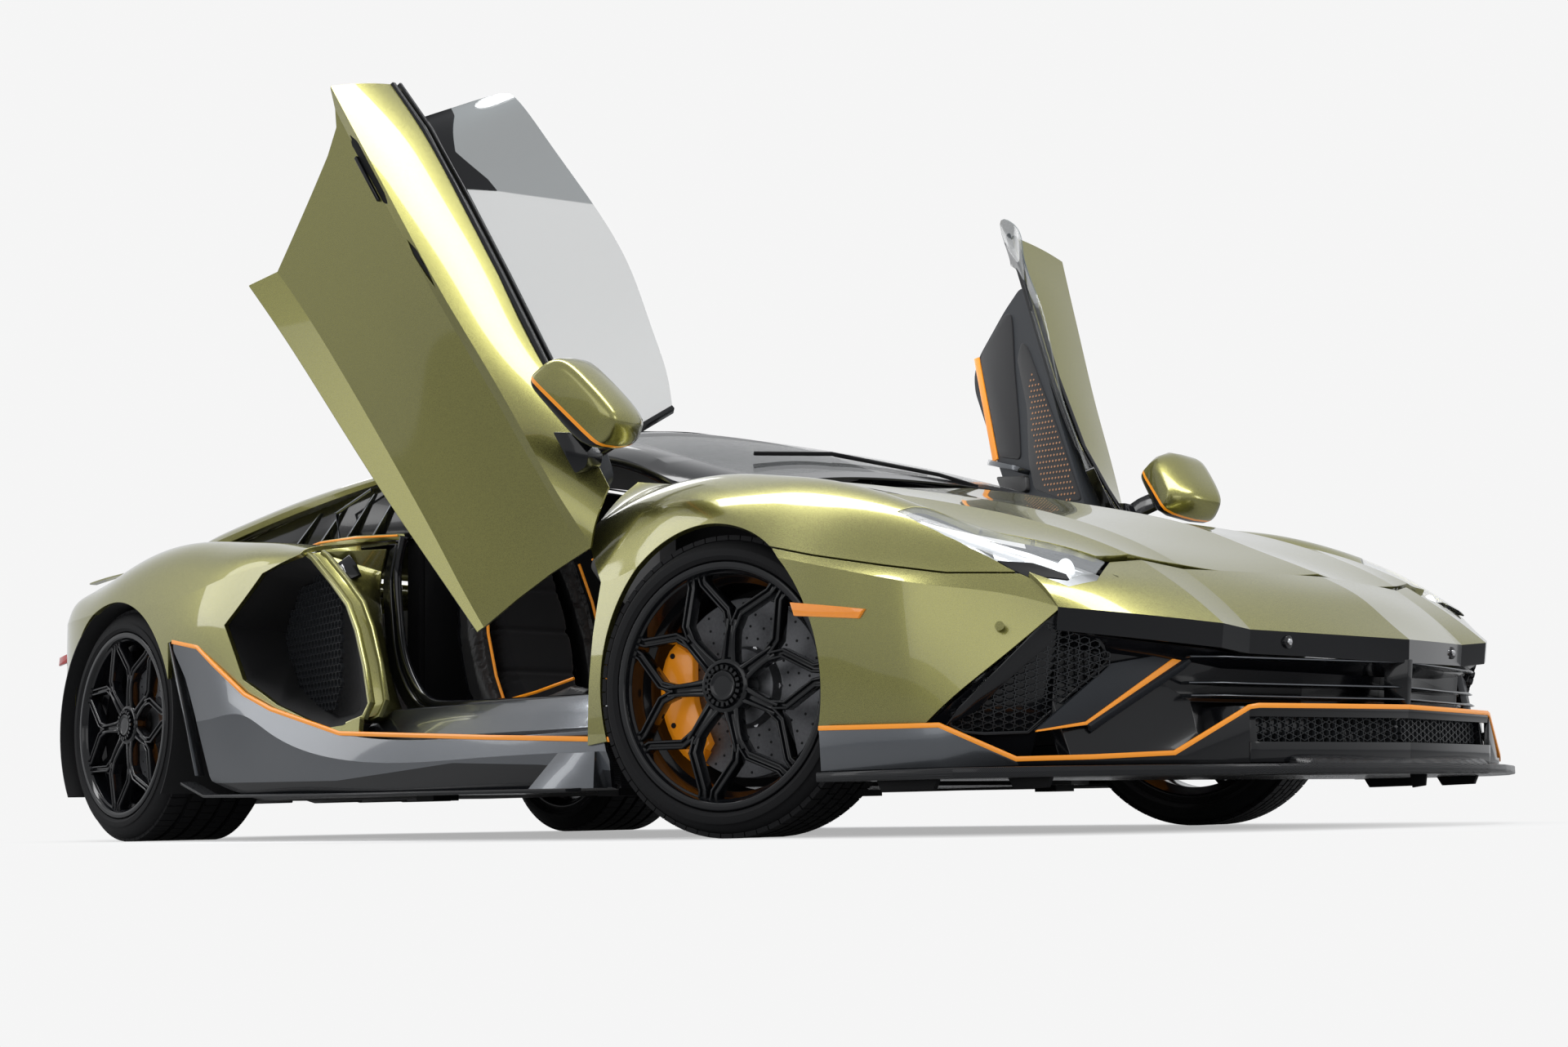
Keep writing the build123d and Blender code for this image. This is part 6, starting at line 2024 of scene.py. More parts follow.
    def dashboard(self) -> None:
        """The dash with its hood, screens, vents, an orange seam and a centre console."""
        maker = Maker()
        maker.prism(rounded([(604, 640), (560, 684), (580, 712), (650, 748), (780, 762), (896, 768),
                             (896, 430), (796, 430), (730, 560)], 16),
                    View.SIDE, -690, 690, tag=0)
        for y in (395,):
            maker.prism(rounded([(556, 700), (548, 748), (600, 786), (720, 782), (720, 720)], 12), View.SIDE,
                        y - 190, y + 190, tag=0)
            maker.prism([(552, 704), (546, 742), (552, 744), (558, 706)], View.SIDE, y - 160, y + 160, tag=2)
        maker.loft([[(600, -120, 652), (560, -120, 690), (572, -120, 700), (620, -120, 680)],
                    [(600, 120, 652), (560, 120, 690), (572, 120, 700), (620, 120, 680)]], 2)
        maker.prism(rounded([(600, 655), (200, 440), (-180, 400), (-255, 400), (-255, 382), (600, 382)], 16),
                    View.SIDE, -118, 118, tag=1)
        for y in (-600, -200, 180, 600):
            maker.prism([(574, 654), (560, 672), (566, 678), (582, 660)], View.SIDE, y - 52, y + 52, tag=2)
        maker.sweep([(566, -688, 703), (572, -400, 708), (572, -140, 708)], [(-3, -3), (3, -3), (3, 3),
            (-3, 3)], tag=3)
        settle(maker.object("dash_full", [Kit.HIDE, Kit.SUEDE, Kit.GLOSS, Kit.ORANGE_PAINTED_GLOW], bevel=4.0), Body.ROOT,
               "leather", "dashboard")

    def wheel(self) -> None:
        """The steering wheel, flat at the bottom, with three spokes."""
        maker = Maker()
        rim = []
        for angle in np.linspace(0, math.tau, 72, endpoint=False):
            x, y = 165 * math.cos(angle), 165 * math.sin(angle)
            rim.append((max(x, -140), y, 0))
        maker.tube(rim, 14, 12, tag=0, closed=True)
        maker.lathe([(-14, 0), (-14, 46), (-6, 56), (8, 52), (12, 40), (12, 0)], (0, 0, 0), axis=2, steps=40,
                    tag=1)
        for angle in (math.pi / 2, -math.pi / 2, math.pi):
            way = (math.cos(angle), math.sin(angle))
            maker.sweep([(way[0] * 40, way[1] * 40, 0), (way[0] * 100, way[1] * 100, 2), (way[0] * 150,
                way[1] * 150, 0)],
                        [(-17, -5), (17, -5), (17, 5), (-17, 5)], tag=2)
        maker.tube([(0, 0, -60), (0, 0, -10)], 24, 20, tag=1)
        place = Matrix.Translation((490, 395, 700)) @ Matrix.Rotation(math.radians(-68), 4, "Y")
        settle(maker.object("steering_wheel_full", [Kit.SUEDE, Kit.HIDE, Kit.GREY], bevel=2.0, matrix=place),
               Body.ROOT, "leather", "steering_wheel")

    def seats(self) -> None:
        """Two bucket seats with padded inserts, hide sides and orange piping."""
        y = -self.seat_side
        base, back, sides, trims = Maker(), Maker(), Maker(), Maker()
        base.loft([[(x, y + s * w, z) for s, w, z in ((-1, wide, low), (-1, wide, high), (1, wide, high),
                                                      (1, wide, low))]
                   for x, wide, low, high in ((-62, 142, 244, 314), (60, 150, 240, 304), (220, 152, 244, 322),
                                              (372, 150, 254, 352), (416, 132, 274, 342))])
        back.loft([[(x - 20, y - w, z), (x + 24, y - w, z + 10), (x + 24, y + w, z + 10), (x - 20, y + w, z)]
                   for x, w, z in ((-20, 132, 324), (-66, 142, 420), (-104, 144, 540), (-134, 138, 660),
                                   (-158, 112, 770), (-172, 88, 844))])
        for way in (-1, 1):
            sides.loft([[(x, y + way * (w - 20), z - 38), (x, y + way * (w + 16), z - 44),
                         (x, y + way * (w + 20), z + 14), (x, y + way * (w + 2), z + 28),
                         (x, y + way * (w - 24), z + 2)]
                        for x, w, z in ((-84, 176, 330), (40, 184, 326), (200, 190, 344), (354, 186, 372),
                                        (406, 172, 360))])
            sides.loft([[(x - 34, y + way * (w - 14), z), (x + 50, y + way * (w - 10), z + 14),
                         (x + 78, y + way * (w + 8), z + 18), (x + 56, y + way * (w + 24), z + 14),
                         (x - 34, y + way * (w + 18), z)]
                        for x, w, z in ((-48, 172, 320), (-84, 186, 420), (-116, 190, 540), (-142, 178, 650),
                                        (-164, 148, 760), (-178, 110, 846))])
            trims.tube([(x + 94, y + way * (w + 8), z + 20) for x, w, z in
                        ((-48, 172, 316), (-84, 186, 420), (-116, 190, 540), (-142, 178, 650),
                         (-164, 148, 760))], 4.5, 8,
                       up=(0, 1, 0), tag=1)
            trims.tube([(x, y + way * (w + 8), z + 42) for x, w, z in
                        ((-40, 180, 328), (40, 184, 326), (200, 190, 344), (360, 186, 372))],
                       4.5, 8, tag=1)
        trims.loft([[(x - 60, y - w, z), (x - 30, y - w - 10, z), (x - 30, y + w + 10, z), (x - 60, y + w, z)]
                    for x, w, z in ((-30, 190, 196), (-70, 196, 400), (-112, 200, 560), (-150, 176, 700),
                                    (-178, 130, 830), (-196, 96, 892))])
        trims.box((-80, y - 205, 176), (410, y + 205, 236), 0)
        stuffing = Stuffing()
        seat = stuffing.fill(base.object("seat_base", [Kit.SUEDE], bevel=0))
        rest = stuffing.fill(back.object("seat_back", [Kit.SUEDE], bevel=0))
        roll = Stuffing(cap=14.0).fill(sides.object("seat_rolls", [Kit.HIDE], bevel=0))
        stuffing.channel(seat, (1, 0, 0), (10, 130, 250))
        stuffing.channel(rest, (0, 0, 1), (460, 580, 700))
        shell = trims.object("seat_trims_right", [Kit.GLOSS, Kit.ORANGE_PAINTED_GLOW], bevel=2.0)
        pads = merged("seat_pads", seat, rest)
        for name, piece, slot, nodes in (("seat_cushions", pads, "alcantara", ("seats",)), ("seat_sides",
            roll, "leather", ()),
                                         ("seat_trims", shell, "leather", ())):
            whole = merged(name, piece, mirrored(piece, f"{name}_left"))
            settle(whole, Body.ROOT, slot, *nodes)

    def lining(self) -> None:
        """The rear wall, the floor mats and the headlining."""
        maker = Maker()
        maker.prism([(-640, 150), (640, 150), (640, 840), (560, 1030), (-560, 1030), (-640, 840)], View.END,
                    -268, -262, tag=0)
        for side in (-1, 1):
            maker.prism(rounded([(420, side * 150), (880, side * 150), (880, side * 660), (420, side * 700)],
                                20), View.PLAN, 151, 160, tag=1)
        maker.prism([(-250, -540), (330, -520), (330, 520), (-250, 540)], View.PLAN, 1046, 1052, tag=1)
        settle(maker.object("cabin_lining", [Kit.MATT, Kit.SUEDE], bevel=2.0), Body.ROOT, "alcantara")


@dataclass
class RearBody:
    """Rear quarters, side intakes, skirts, buttresses, engine cover, wing, tail and diffuser."""

    wall: float = 14.0
    side_rows: Sequence[Row] = (  # deck edge, crest, shoulder, upper flank, crease, lower flank, bottom
        (-30, ((685, 850), (790, 830), (940, 808), (985, 790), (1001, 750), (990, 560), (1004, 262))),
        (-200, ((685, 851), (790, 831), (940, 810), (985, 792), (1001, 756), (988, 560), (1006, 262))),
        (-350, ((685, 852), (790, 832), (940, 812), (985, 795), (1001, 766), (994, 560), (1008, 270))),
        (-600, ((675, 856), (800, 846), (950, 842), (1003, 808), (1015, 765), (1012, 600), (1012, 340))),
        (-800, ((668, 862), (800, 866), (950, 862), (1012, 815), (1034, 735), (1036, 640), (1028, 430))),
        (-1000, ((662, 875), (798, 878), (945, 886), (1018, 830), (1045, 705), (1047, 630), (1042, 440))),
        (-1366, ((655, 900), (790, 902), (940, 872), (1020, 805), (1048, 712), (1049, 600), (1047, 430))),
        (-1600, ((640, 905), (770, 900), (920, 835), (1000, 775), (1038, 700), (1036, 600), (1030, 430))),
        (-1780, ((620, 905), (750, 895), (890, 815), (965, 772), (998, 700), (996, 600), (990, 430))),
        (-1990, ((600, 900), (720, 885), (820, 808), (870, 770), (898, 700), (898, 600), (892, 430))),
        (-2160, ((592, 895), (680, 870), (760, 800), (792, 760), (806, 690), (804, 600), (800, 430))),
        (-2262, ((584, 888), (648, 862), (710, 800), (735, 765), (748, 690), (746, 600), (741, 430))))
    opening: Outline = ((-712, 614), (-530, 748), (-352, 788), (-352, 900), (0, 900), (0, 326), (-62, 316),
                        (-110, 303), (-200, 299), (-450, 374), (-622, 452))
    # the intake's edge, from its rear tip over the top and down the front to the bottom
    mouth: Sequence[Point] = (
        (-714, -1024, 614), (-692, -1022, 636), (-532, -1004, 750), (-430, -986, 774), (-350, -968, 788),
        (-334, -960, 776), (-243, -952, 700), (-165, -950, 633), (-122, -948, 560), (-78, -950, 461),
        (-40, -956, 360), (-55, -966, 322), (-110, -985, 306), (-200, -994, 300), (-330, -1000, 334),
        (-452, -1006, 372), (-624, -1014, 450))
    throat: Sequence[Point] = (
        (-716, -800, 600), (-700, -804, 625), (-590, -838, 715), (-470, -860, 735), (-380, -876, 738),
        (-350, -880, 728), (-300, -884, 690), (-262, -886, 640), (-236, -888, 570), (-214, -890, 480),
        (-196, -890, 400), (-205, -888, 352), (-240, -886, 342), (-330, -880, 340), (-450, -860, 380),
        (-600, -834, 440), (-690, -808, 540))
    pinstripe: Outline = ((1031, 226), (550, 248), (-125, 283), (-467, 363), (-604, 411), (-760, 505),
                          (-846, 559), (-985, 584))
    skirt_rows: Sequence[Row] = (  # pinstripe, fold, lower edge, turned-under edge
        (1022, ((998, 226), (999, 200), (990, 118), (968, 112))),
        (550, ((998, 247), (1001, 200), (992, 120), (966, 112))),
        (-125, ((998, 282), (1004, 215), (994, 122), (962, 112))),
        (-467, ((1010, 361), (1020, 300), (998, 124), (962, 112))),
        (-604, ((1016, 409), (1024, 352), (1002, 130), (966, 116))),
        (-760, ((1030, 503), (1028, 350), (1006, 160), (980, 150))),
        (-861, ((1036, 562), (1026, 345), (1010, 186), (985, 170))),
        (-985, ((1042, 581), (1024, 350), (1008, 190), (985, 175))))
    skirt_outline: Outline = ((1022, 90), (1022, 223), (550, 244), (-125, 279), (-467, 359), (-604, 407),
                              (-760, 501), (-846, 555), (-1000, 578), (-924, 474), (-868, 353), (-812, 187),
                              (-740, 90))
    rail: Sequence[Quad] = (  # x, half width, top, height of the buttress rail
        (-190, 640, 1060, 26), (-418, 676, 1046, 34), (-650, 694, 1030, 42), (-900, 700, 1010, 48),
        (-1150, 704, 982, 50), (-1353, 704, 956, 48), (-1480, 700, 930, 34), (-1560, 694, 908, 16))
    cover_rows: Sequence[Row] = (
        (-178, ((0, 1117), (300, 1103), (500, 1069), (556, 1045))),
        (-600, ((0, 1086), (300, 1075), (500, 1051), (586, 1023))),
        (-1036, ((0, 1036), (300, 1029), (500, 1013), (603, 987))),
        (-1400, ((0, 986), (300, 981), (520, 969), (603, 951))),
        (-1780, ((0, 926), (300, 923), (520, 916), (585, 905))))

    def build(self) -> None:
        """Make every piece of the rear."""
        self.quarters()
        self.jambs()
        self.intakes()
        self.skirts()
        self.windows()
        self.cover()
        self.wing()
        self.tail()
        self.diffuser()

    def both(self, maker: Maker, name: str, finishes: Sequence[Finish], bevel: float = 1.5,
             angle: float = 32) -> bpy.types.Object:
        """A right-hand piece and its mirror image."""
        return maker.object(name, finishes, bevel=bevel, angle=angle, mirror=True)

    def quarters(self) -> None:
        """The rear fenders with their arches, and the rails that run from the roof to the tail."""
        sheet = skin(self.side_rows, (4,))
        skirt_top = [(x, z + GAP) for x, z in self.pinstripe]
        panel = sheet.outside(self.opening).off_circle(*REAR_ARCH)
        panel = panel.outside([(1200, 222)] + skirt_top[1:] + [(-1010, 582), (-1010, 100), (1200, 100)])
        closed = panel.walled(self.wall)
        quarter = mesh_object("rear_quarter_panels", closed.joined(closed.mirrored()), [Kit.PAINT])
        rails = Maker()
        rings = []
        at = np.linspace(self.rail[0][0], self.rail[-1][0], 56)
        table = np.array(sorted(self.rail))
        for x in at:
            half, top, high = (spline(table[:, 0], table[:, c], np.array([x]), 2e3)[0] for c in (1, 2, 3))
            rings.append([(x, -(half + a), top + b * high) for a, b in
                          ((-34, -0.75), (-36, -0.28), (-26, -0.03), (-6, 0.0), (14, -0.10), (30, -0.36),
                           (36, -0.62), (30, -0.95), (16, -1.0))])
        rails.loft(rings, smooth=True)
        settle(merged("rear_quarters_full", quarter, self.both(rails, "buttress_rails", [Kit.PAINT], 0, 42)),
               Body.ROOT, "paint", "rear_quarters")
        liner = Maker()
        liner.loft([[(REAR_AXLE + r * math.cos(a), y, 355.5 + r * math.sin(a)) for y, r in ((-1035, 372),
            (-795, 372), (-795, 377), (-1035, 377))]
                    for a in np.linspace(math.radians(-35), math.radians(215), 60)], smooth=True)
        settle(self.both(liner, "rear_arch_liners", [Kit.DARK_AND_PAINTED_SHADE], 0), Body.ROOT, "matte_black")

    def jambs(self) -> None:
        """The stepped panel ahead of the intake with its lip, shelf, striker and door seal."""
        lip = Maker()
        edge = [Vector(p) for p in self.mouth]
        front = edge[4:13]
        lip.sweep([tuple(p) for p in front], [(-6, -9), (6, -9), (6, 9), (-6, 9)], (0, -1, 0))
        lip.sweep([(p.x + 24, p.y + 30, p.z + 6) for p in front], [(-6, -7), (6, -7), (6, 7), (-6, 7)],
                  (0, -1, 0))
        outer = [tuple(p) for p in front]
        inner = [(p.x + 24, p.y + 30, p.z + 6) for p in front]
        banded(lip, outer, inner, (-6, 10, -4))
        frame = [(-215, -800, 800), (-250, -794, 740), (-262, -792, 690), (-258, -792, 650),
                 (-238, -790, 560), (-214, -788, 470), (-176, -788, 390), (-140, -790, 340),
                 (-120, -800, 318)]
        banded(lip, inner, frame, (-8, 8, -4))
        settle(self.both(lip, "jamb_panels", [Kit.PAINT], 1.2, 28), Body.ROOT, "paint")
        step = Maker()
        step.loft([[(-380, -930, 800), (-349, -920, 803), (-348, -864, 812), (-347, -800, 824),
                    (-380, -800, 824)],
                   [(-380, -912, 752), (-349, -900, 750), (-345, -860, 744), (-318, -806, 744),
                    (-380, -790, 750)]], 0)
        step.loft([[(-618, -800, 850), (-558, -804, 858), (-375, -800, 854), (-208, -768, 845),
                    (-192, -756, 844), (-350, -720, 860), (-618, -720, 860)],
                   [(-618, -798, 836), (-558, -800, 836), (-375, -796, 834), (-208, -764, 828),
                    (-192, -754, 828), (-350, -720, 840), (-618, -720, 840)]], 0)
        step.sweep([(-616, -802, 848), (-558, -806, 852), (-375, -802, 848), (-208, -770, 839)],
                   [(-3, -3), (3, -3), (3, 3), (-3, 3)], (0, 0, 1), tag=1)
        settle(self.both(step, "jamb_steps", [Kit.PAINT, Kit.ORANGE_PAINTED_GLOW], 2.0), Body.ROOT, "paint")
        latch = Maker()
        latch.sweep([(-276, -900, 764), (-256, -896, 744), (-240, -890, 712)], [(-24, -9), (24, -9), (24, 12),
            (-24, 12)], (1, -1, 0.3))
        latch.tube([(-264, -914, 752), (-252, -910, 726)], 6, 8, tag=1)
        settle(self.both(latch, "door_strikers", [Kit.GLOSS, Kit.STEEL], 3.0), Body.ROOT, "steel")
        seal = Maker()
        loop = [(-150, -786, 828), (-176, -784, 770), (-186, -783, 715), (-176, -782, 611), (-163, -781, 535),
                (-130, -781, 462), (-70, -782, 396), (1, -790, 364), (120, -806, 352), (400, -820, 344),
                (700, -826, 338), (880, -826, 334)]
        bent = spline(np.arange(len(loop)), np.array(loop, float), np.linspace(0, len(loop) - 1, 90))
        seal.tube([tuple(p) for p in bent], 12, 10, up=(0, 1, 0))
        seal.tube([(p[0] - 22, p[1] - 6, p[2] - 18) for p in bent], 7, 8, up=(0, 1, 0))
        backing = [(p[0] - 6, p[1] - 2, p[2] - 4) for p in bent]
        banded(seal, backing, [(p[0] - 60, p[1] - 8, p[2] - 34) for p in bent], (0, 8, 0))
        settle(self.both(seal, "door_seals", [Kit.GLOSS], 0, 50), Body.ROOT, "gloss_black")
        sill = Maker()
        sill.loft([[(x, y, z) for y, z in ((-745, 352), (-800, 352), (-862, 344), (-902, 300), (-925, 262),
                                           (-960, 250), (-960, 236), (-745, 236))] for x in (-140, 60, 300,
                                               600, 905)])
        settle(self.both(sill, "sill_covers", [Kit.GREY], 2.0), Body.ROOT, "satin_grey")

    def intakes(self) -> None:
        """The ducts behind the side openings, each with a honeycomb across its rear part."""
        duct = Maker()
        middle = np.array(self.mouth).mean(0)
        rings = []
        for outer, inner in zip(self.mouth, self.throat):
            away = unit(np.array(outer) - middle) * (6, 0, 6)
            out, deep = np.array(outer) * (1, 1, 1) + (0, 8, 0), np.array(inner)
            rings.append([out, deep, deep + away, out + away])
        duct.loft(rings, closed=True)
        duct.loft([[np.array(p) + (0, 0, 0) for p in self.throat], [np.array(p) + (0, 8, 0)
                                                                    for p in self.throat]])
        ducts = self.both(duct, "intake_ducts", [Kit.DARK_AND_PAINTED_SHADE], 0, 30)
        across, down = (-0.981, 0.194, 0.0), (0.0, 0.0, 1.0)
        outline = [(0, 392), (60, 350), (130, 348), (250, 390), (430, 500), (452, 600), (330, 712),
                   (200, 732), (110, 730), (0, 650)]
        lean = math.atan2(0.194, -0.981)
        places, turns = hex_field((-262, -914, 0), across, down, outline, 27, (math.pi / 2, 0.0, lean), 0.86)
        comb = Scatter("intake_honeycomb", Shape.RING, 14.4, 10, 2.0, finish=Kit.MESH)
        right = comb.spread(places, turns, [(1.0, 0.86, 1.0)] * len(places))
        left = mirrored(right, "intake_honeycomb_left")
        settle(merged("side_intake_ducts", ducts, right, left), Body.ROOT, "matte_black", "side_intakes")

    def skirts(self) -> None:
        """Grey side skirts with an orange pinstripe, a lower band painted gloss black and a blade along the
        bottom.
        """
        sheet = skin(self.skirt_rows, (1, 2), fair=0).inside(self.skirt_outline).off_circle((1364, 330), 374)
        # The lower band is painted gloss black on the flat skin: the skirt's black lower part, with painted
        # shade where it is recessed.
        closed = sheet.painted([(1100, 60), (1100, 150), (760, 176), (400, 190), (-143, 158), (-760, 165),
                                (-1100, 175), (-1100, 60)], 1).walled(10)
        skirt = mesh_object("skirt_panels", closed.joined(closed.mirrored()), [Kit.GREY, Kit.GLOSS])
        trim = Maker()
        rows = sorted(self.skirt_rows)
        path = []
        for x, z in self.pinstripe[::-1]:
            half = float(np.interp(x, [r[0] for r in rows], [r[1][0][0] for r in rows]))
            path.append((x, -(half + 1.5), z))
        trim.sweep(path, [(-4, -6), (4, -6), (4, 6), (-4, 6)], (0, 0, 1), tag=0)
        blade = [(-902, -1008, 168), (-740, -1022, 128), (-150, -1030, 120), (960, -1030, 113)]
        trim.sweep(blade, [(-2, -5), (44, -5), (44, 3), (-2, 5)], (0, 0, 1), tag=1)
        trim.loft([[(1010, -990, 116), (1006, -1030, 116), (756, -1032, 116), (752, -990, 116)],
                   [(984, -990, 200), (982, -1006, 200), (842, -1008, 200), (836, -990, 200)]], 2)
        trim.loft([[(-1028, -1040, 586), (-1000, -1046, 584), (-1000, -1020, 584), (-1028, -1016, 586)],
                   [(-934, -1030, 352), (-905, -1040, 350), (-905, -1010, 350), (-934, -1005, 352)],
                   [(-889, -1016, 190), (-858, -1030, 187), (-858, -1000, 187), (-889, -996, 190)]], 2)
        settle(merged("side_skirts_full", skirt, self.both(trim, "skirt_trim", [Kit.ORANGE_PAINTED_GLOW, Kit.CARBON,
            Kit.GREY], 1.5)), Body.ROOT,
               "satin_grey", "side_skirts")

    def windows(self) -> None:
        """The dark corner behind each door, with slanting fins and a strut."""
        pane = Maker()
        pane.prism([(-205, 850), (-190, 1010), (-420, 1015), (-900, 968), (-1240, 924), (-960, 880),
                    (-330, 846)], View.SIDE, -684, -674)
        pane.prism([(-190, -556), (-190, -640), (-420, -662), (-900, -670), (-1380, -672), (-1480, -664),
                    (-1480, -600), (-1036, -598), (-600, -586)], View.PLAN, 888, 894)
        rows = sorted(self.cover_rows)
        for x0, x1 in ((-1460, -1036), (-1036, -600), (-600, -190)):
            zs = [float(np.interp(x, [r[0] for r in rows], [r[1][3][1] for r in rows])) for x in (x0, x1)]
            half = [float(np.interp(x, [r[0] for r in rows], [r[1][3][0] for r in rows])) for x in (x0, x1)]
            pane.loft([[(x, -(h + 6), z - 4), (x, -(h + 66), z - 18), (x, -(h + 66), z - 24),
                        (x, -(h + 6), z - 12)]
                       for x, h, z in ((x0, half[0], zs[0]), (x1, half[1], zs[1]))])
        for k in range(4):
            x = -300 - 150 * k
            pane.loft([[(x, -690, 1006 - 12 * k), (x - 12, -690, 1006 - 12 * k), (x - 12, -676,
                1004 - 12 * k), (x, -676, 1004 - 12 * k)],
                       [(x - 130, -706, 868), (x - 142, -706, 868), (x - 142, -676, 868), (x - 130, -676,
                           868)]], 1)
        pane.tube([(-430, -716, 1000), (-604, -722, 950), (-586, -724, 862)], 5, 8, tag=1)
        settle(self.both(pane, "corner_panes", [Kit.GLOSS, Kit.GREY], 1.5), Body.ROOT, "glass",
               "quarter_windows")
        shelf = skin([(x, ((676, row[0][1] + 2), (700, row[0][1] + 2))) for x, row in self.side_rows[2:]],
                     outward=(0, 0, 1))
        closed = shelf.walled(6)
        settle(mesh_object("deck_joints", closed.joined(closed.mirrored()), [Kit.PAINT]), Body.ROOT, "paint")

    def cover(self) -> None:
        """The engine cover: a painted rim around a dark, slatted middle."""
        sheet = skin(full_width(self.cover_rows), outward=(0, 0, 1))
        panes = [[(-330, -430), (-330, -40), (-620, -40), (-620, -470)],
                 [(-680, -480), (-680, -40), (-980, -40), (-980, -500)],
                 [(-1040, -505), (-1040, -40), (-1330, -40), (-1330, -515)]]
        for pane in panes:
            sheet = sheet.outside(rounded(pane, 30), View.PLAN).outside(rounded([(x, -y) for x, y in pane],
                30), View.PLAN)
        lid = mesh_object("engine_lid", sheet.walled(12), [Kit.GLOSS])
        slats = Maker()
        rows = sorted(self.cover_rows)
        for k in range(21):
            x = -340 - 48 * k
            z = float(np.interp(x, [r[0] for r in rows], [r[1][0][1] for r in rows])) - 26
            half = float(np.interp(-x, (340, 1300), (440, 505)))
            slats.loft([[(x, y, z - drop), (x - 34, y, z - drop + 9), (x - 36, y, z - drop + 5),
                         (x - 2, y, z - drop - 4)]
                        for y, drop in ((-half, 24), (-half / 2, 8), (0, 0), (half / 2, 8), (half, 24))])
        slat = slats.object("engine_slats", [Kit.MATT], bevel=0.8)
        settle(merged("engine_lid_full", lid, slat), Body.COVER, "gloss_black", "engine_cover")

    def wing(self) -> None:
        """A thin blade above the tail deck."""
        blade = Maker()
        profile = [(-1836, 904), (-1850, 910), (-1872, 914), (-2000, 913), (-2138, 901), (-2140, 898),
                   (-2136, 895), (-2000, 897), (-1872, 893), (-1842, 899)]
        falls = ((-548, 8), (-536, 3), (-400, 0), (0, 0), (400, 0), (536, 3), (548, 8))
        rings = [[(x, y, z - fall) for x, z in profile] for y, fall in falls]
        blade.loft(rings)
        settle(blade.object("wing_blade", [Kit.PAINT], angle=30), Body.WING, "paint", "rear_wing")

    def tail(self) -> None:
        """The tail: a dark grille band with Y lamps, a painted frame, the deck and the hexagonal exhaust."""
        face = [(-2268, -744), (-2352, -560), (TAIL + 2, -300), (TAIL + 2, 300), (-2352, 560), (-2268, 744)]
        skinny = Maker()

        def strip(low: float, high: float, depth: float, tag: int, out: float = 0.0) -> None:
            edges = []
            for z in (high, low):
                half = float(np.interp(z, (690, 765, 800, 878), (744, 730, 700, 600)))
                edges.append([(x - out, math.copysign(min(abs(y), half), y), z) for x, y in face])
            banded(skinny, edges[0], edges[1], (depth, 0, 0), tag)

        strip(806, 878, 16, 0)
        strip(672, 806, 10, 1, -14)
        strip(600, 672, 16, 0)
        strip(340, 600, 10, 1, -10)
        skinny.prism([(-1800, -556), (-2270, -580), (-2352, -540), (TAIL + 4, -300), (TAIL + 4, 300),
                      (-2352, 540), (-2270, 580), (-1800, 556)], View.PLAN, 864, 878)
        for side in (-1, 1):
            skinny.loft([[(-2262, side * 741, 430), (-2262, side * 744, 600), (-2250, side * 735, 600),
                          (-2250, side * 732, 430)],
                         [(-2350, side * 560, 320), (-2352, side * 560, 600), (-2336, side * 556, 600),
                          (-2336, side * 556, 320)]], 0)
        skinny.prism([(-268, 600), (-268, 672), (268, 672), (268, 600)], View.END, -2362, TAIL + 4, tag=2)
        bumper = skinny.object("tail_face", [Kit.PAINT, Kit.GLOSS, Kit.MATT], bevel=2.0)
        across = Maker()
        for z in (692, 724, 756, 788):
            across.sweep([(x + 6, y, z) for x, y in face], [(-5, -3), (5, -3), (5, 3), (-5, 3)], tag=0)
        level, reach, inset = 510, 118, 0.86  # middle of the exhaust's surround, its radius and inner share
        hexagon = [(reach * math.cos(math.radians(a)), level + reach * math.sin(math.radians(a)))
                   for a in range(0, 360, 60)]
        ring_out = [(TAIL + 6, y, z) for y, z in hexagon]
        ring_in = [(TAIL + 26, y * inset, level + (z - level) * inset) for y, z in hexagon]
        across.loft([[o, i, np.array(i) + (12, 0, 0), np.array(o) + (12, 0, 0)]
                     for o, i in zip(ring_out, ring_in)], 1, closed=True)
        settle(merged("rear_bumper_full", bumper, across.object("tail_slats", [Kit.MATT, Kit.GREY],
                                                                bevel=1.2)), Body.ROOT, "paint",
               "rear_bumper")
        lamps = Maker()
        for side in (-1, 1):
            def at(y: float) -> float:
                return float(np.interp(y, (300, 560, 744), (TAIL + 2, -2352, -2268))) - 2

            hub = (at(520), side * 520, 738)
            for y, z in ((690, 776), (690, 700), (370, 738)):
                end = (at(y), side * y, z)
                lamps.sweep([hub, between(hub, end, 0.5), end], [(-9, -6), (9, -6), (9, 8), (-9, 8)],
                            (1, 0, 0.01), tag=0)
        settle(lamps.object("tail_lamps", [Kit.RED], bevel=2.0), Body.ROOT, "lamp_red", "tail_lights")
        pipes = Maker()
        for y in (-52, 52):
            pipes.lathe([(0, 43), (0, 50), (3, 51), (8, 50), (240, 50), (240, 44), (8, 44)],
                        (TAIL + 4, y, 510), axis=0, steps=48)
        pipes.box((TAIL + 230, -115, 460), (TAIL + 300, 115, 560), tag=1)
        settle(pipes.object("exhaust_tips", [Kit.STEEL, Kit.MATT], bevel=0.0), Body.ROOT, "steel", "exhaust")

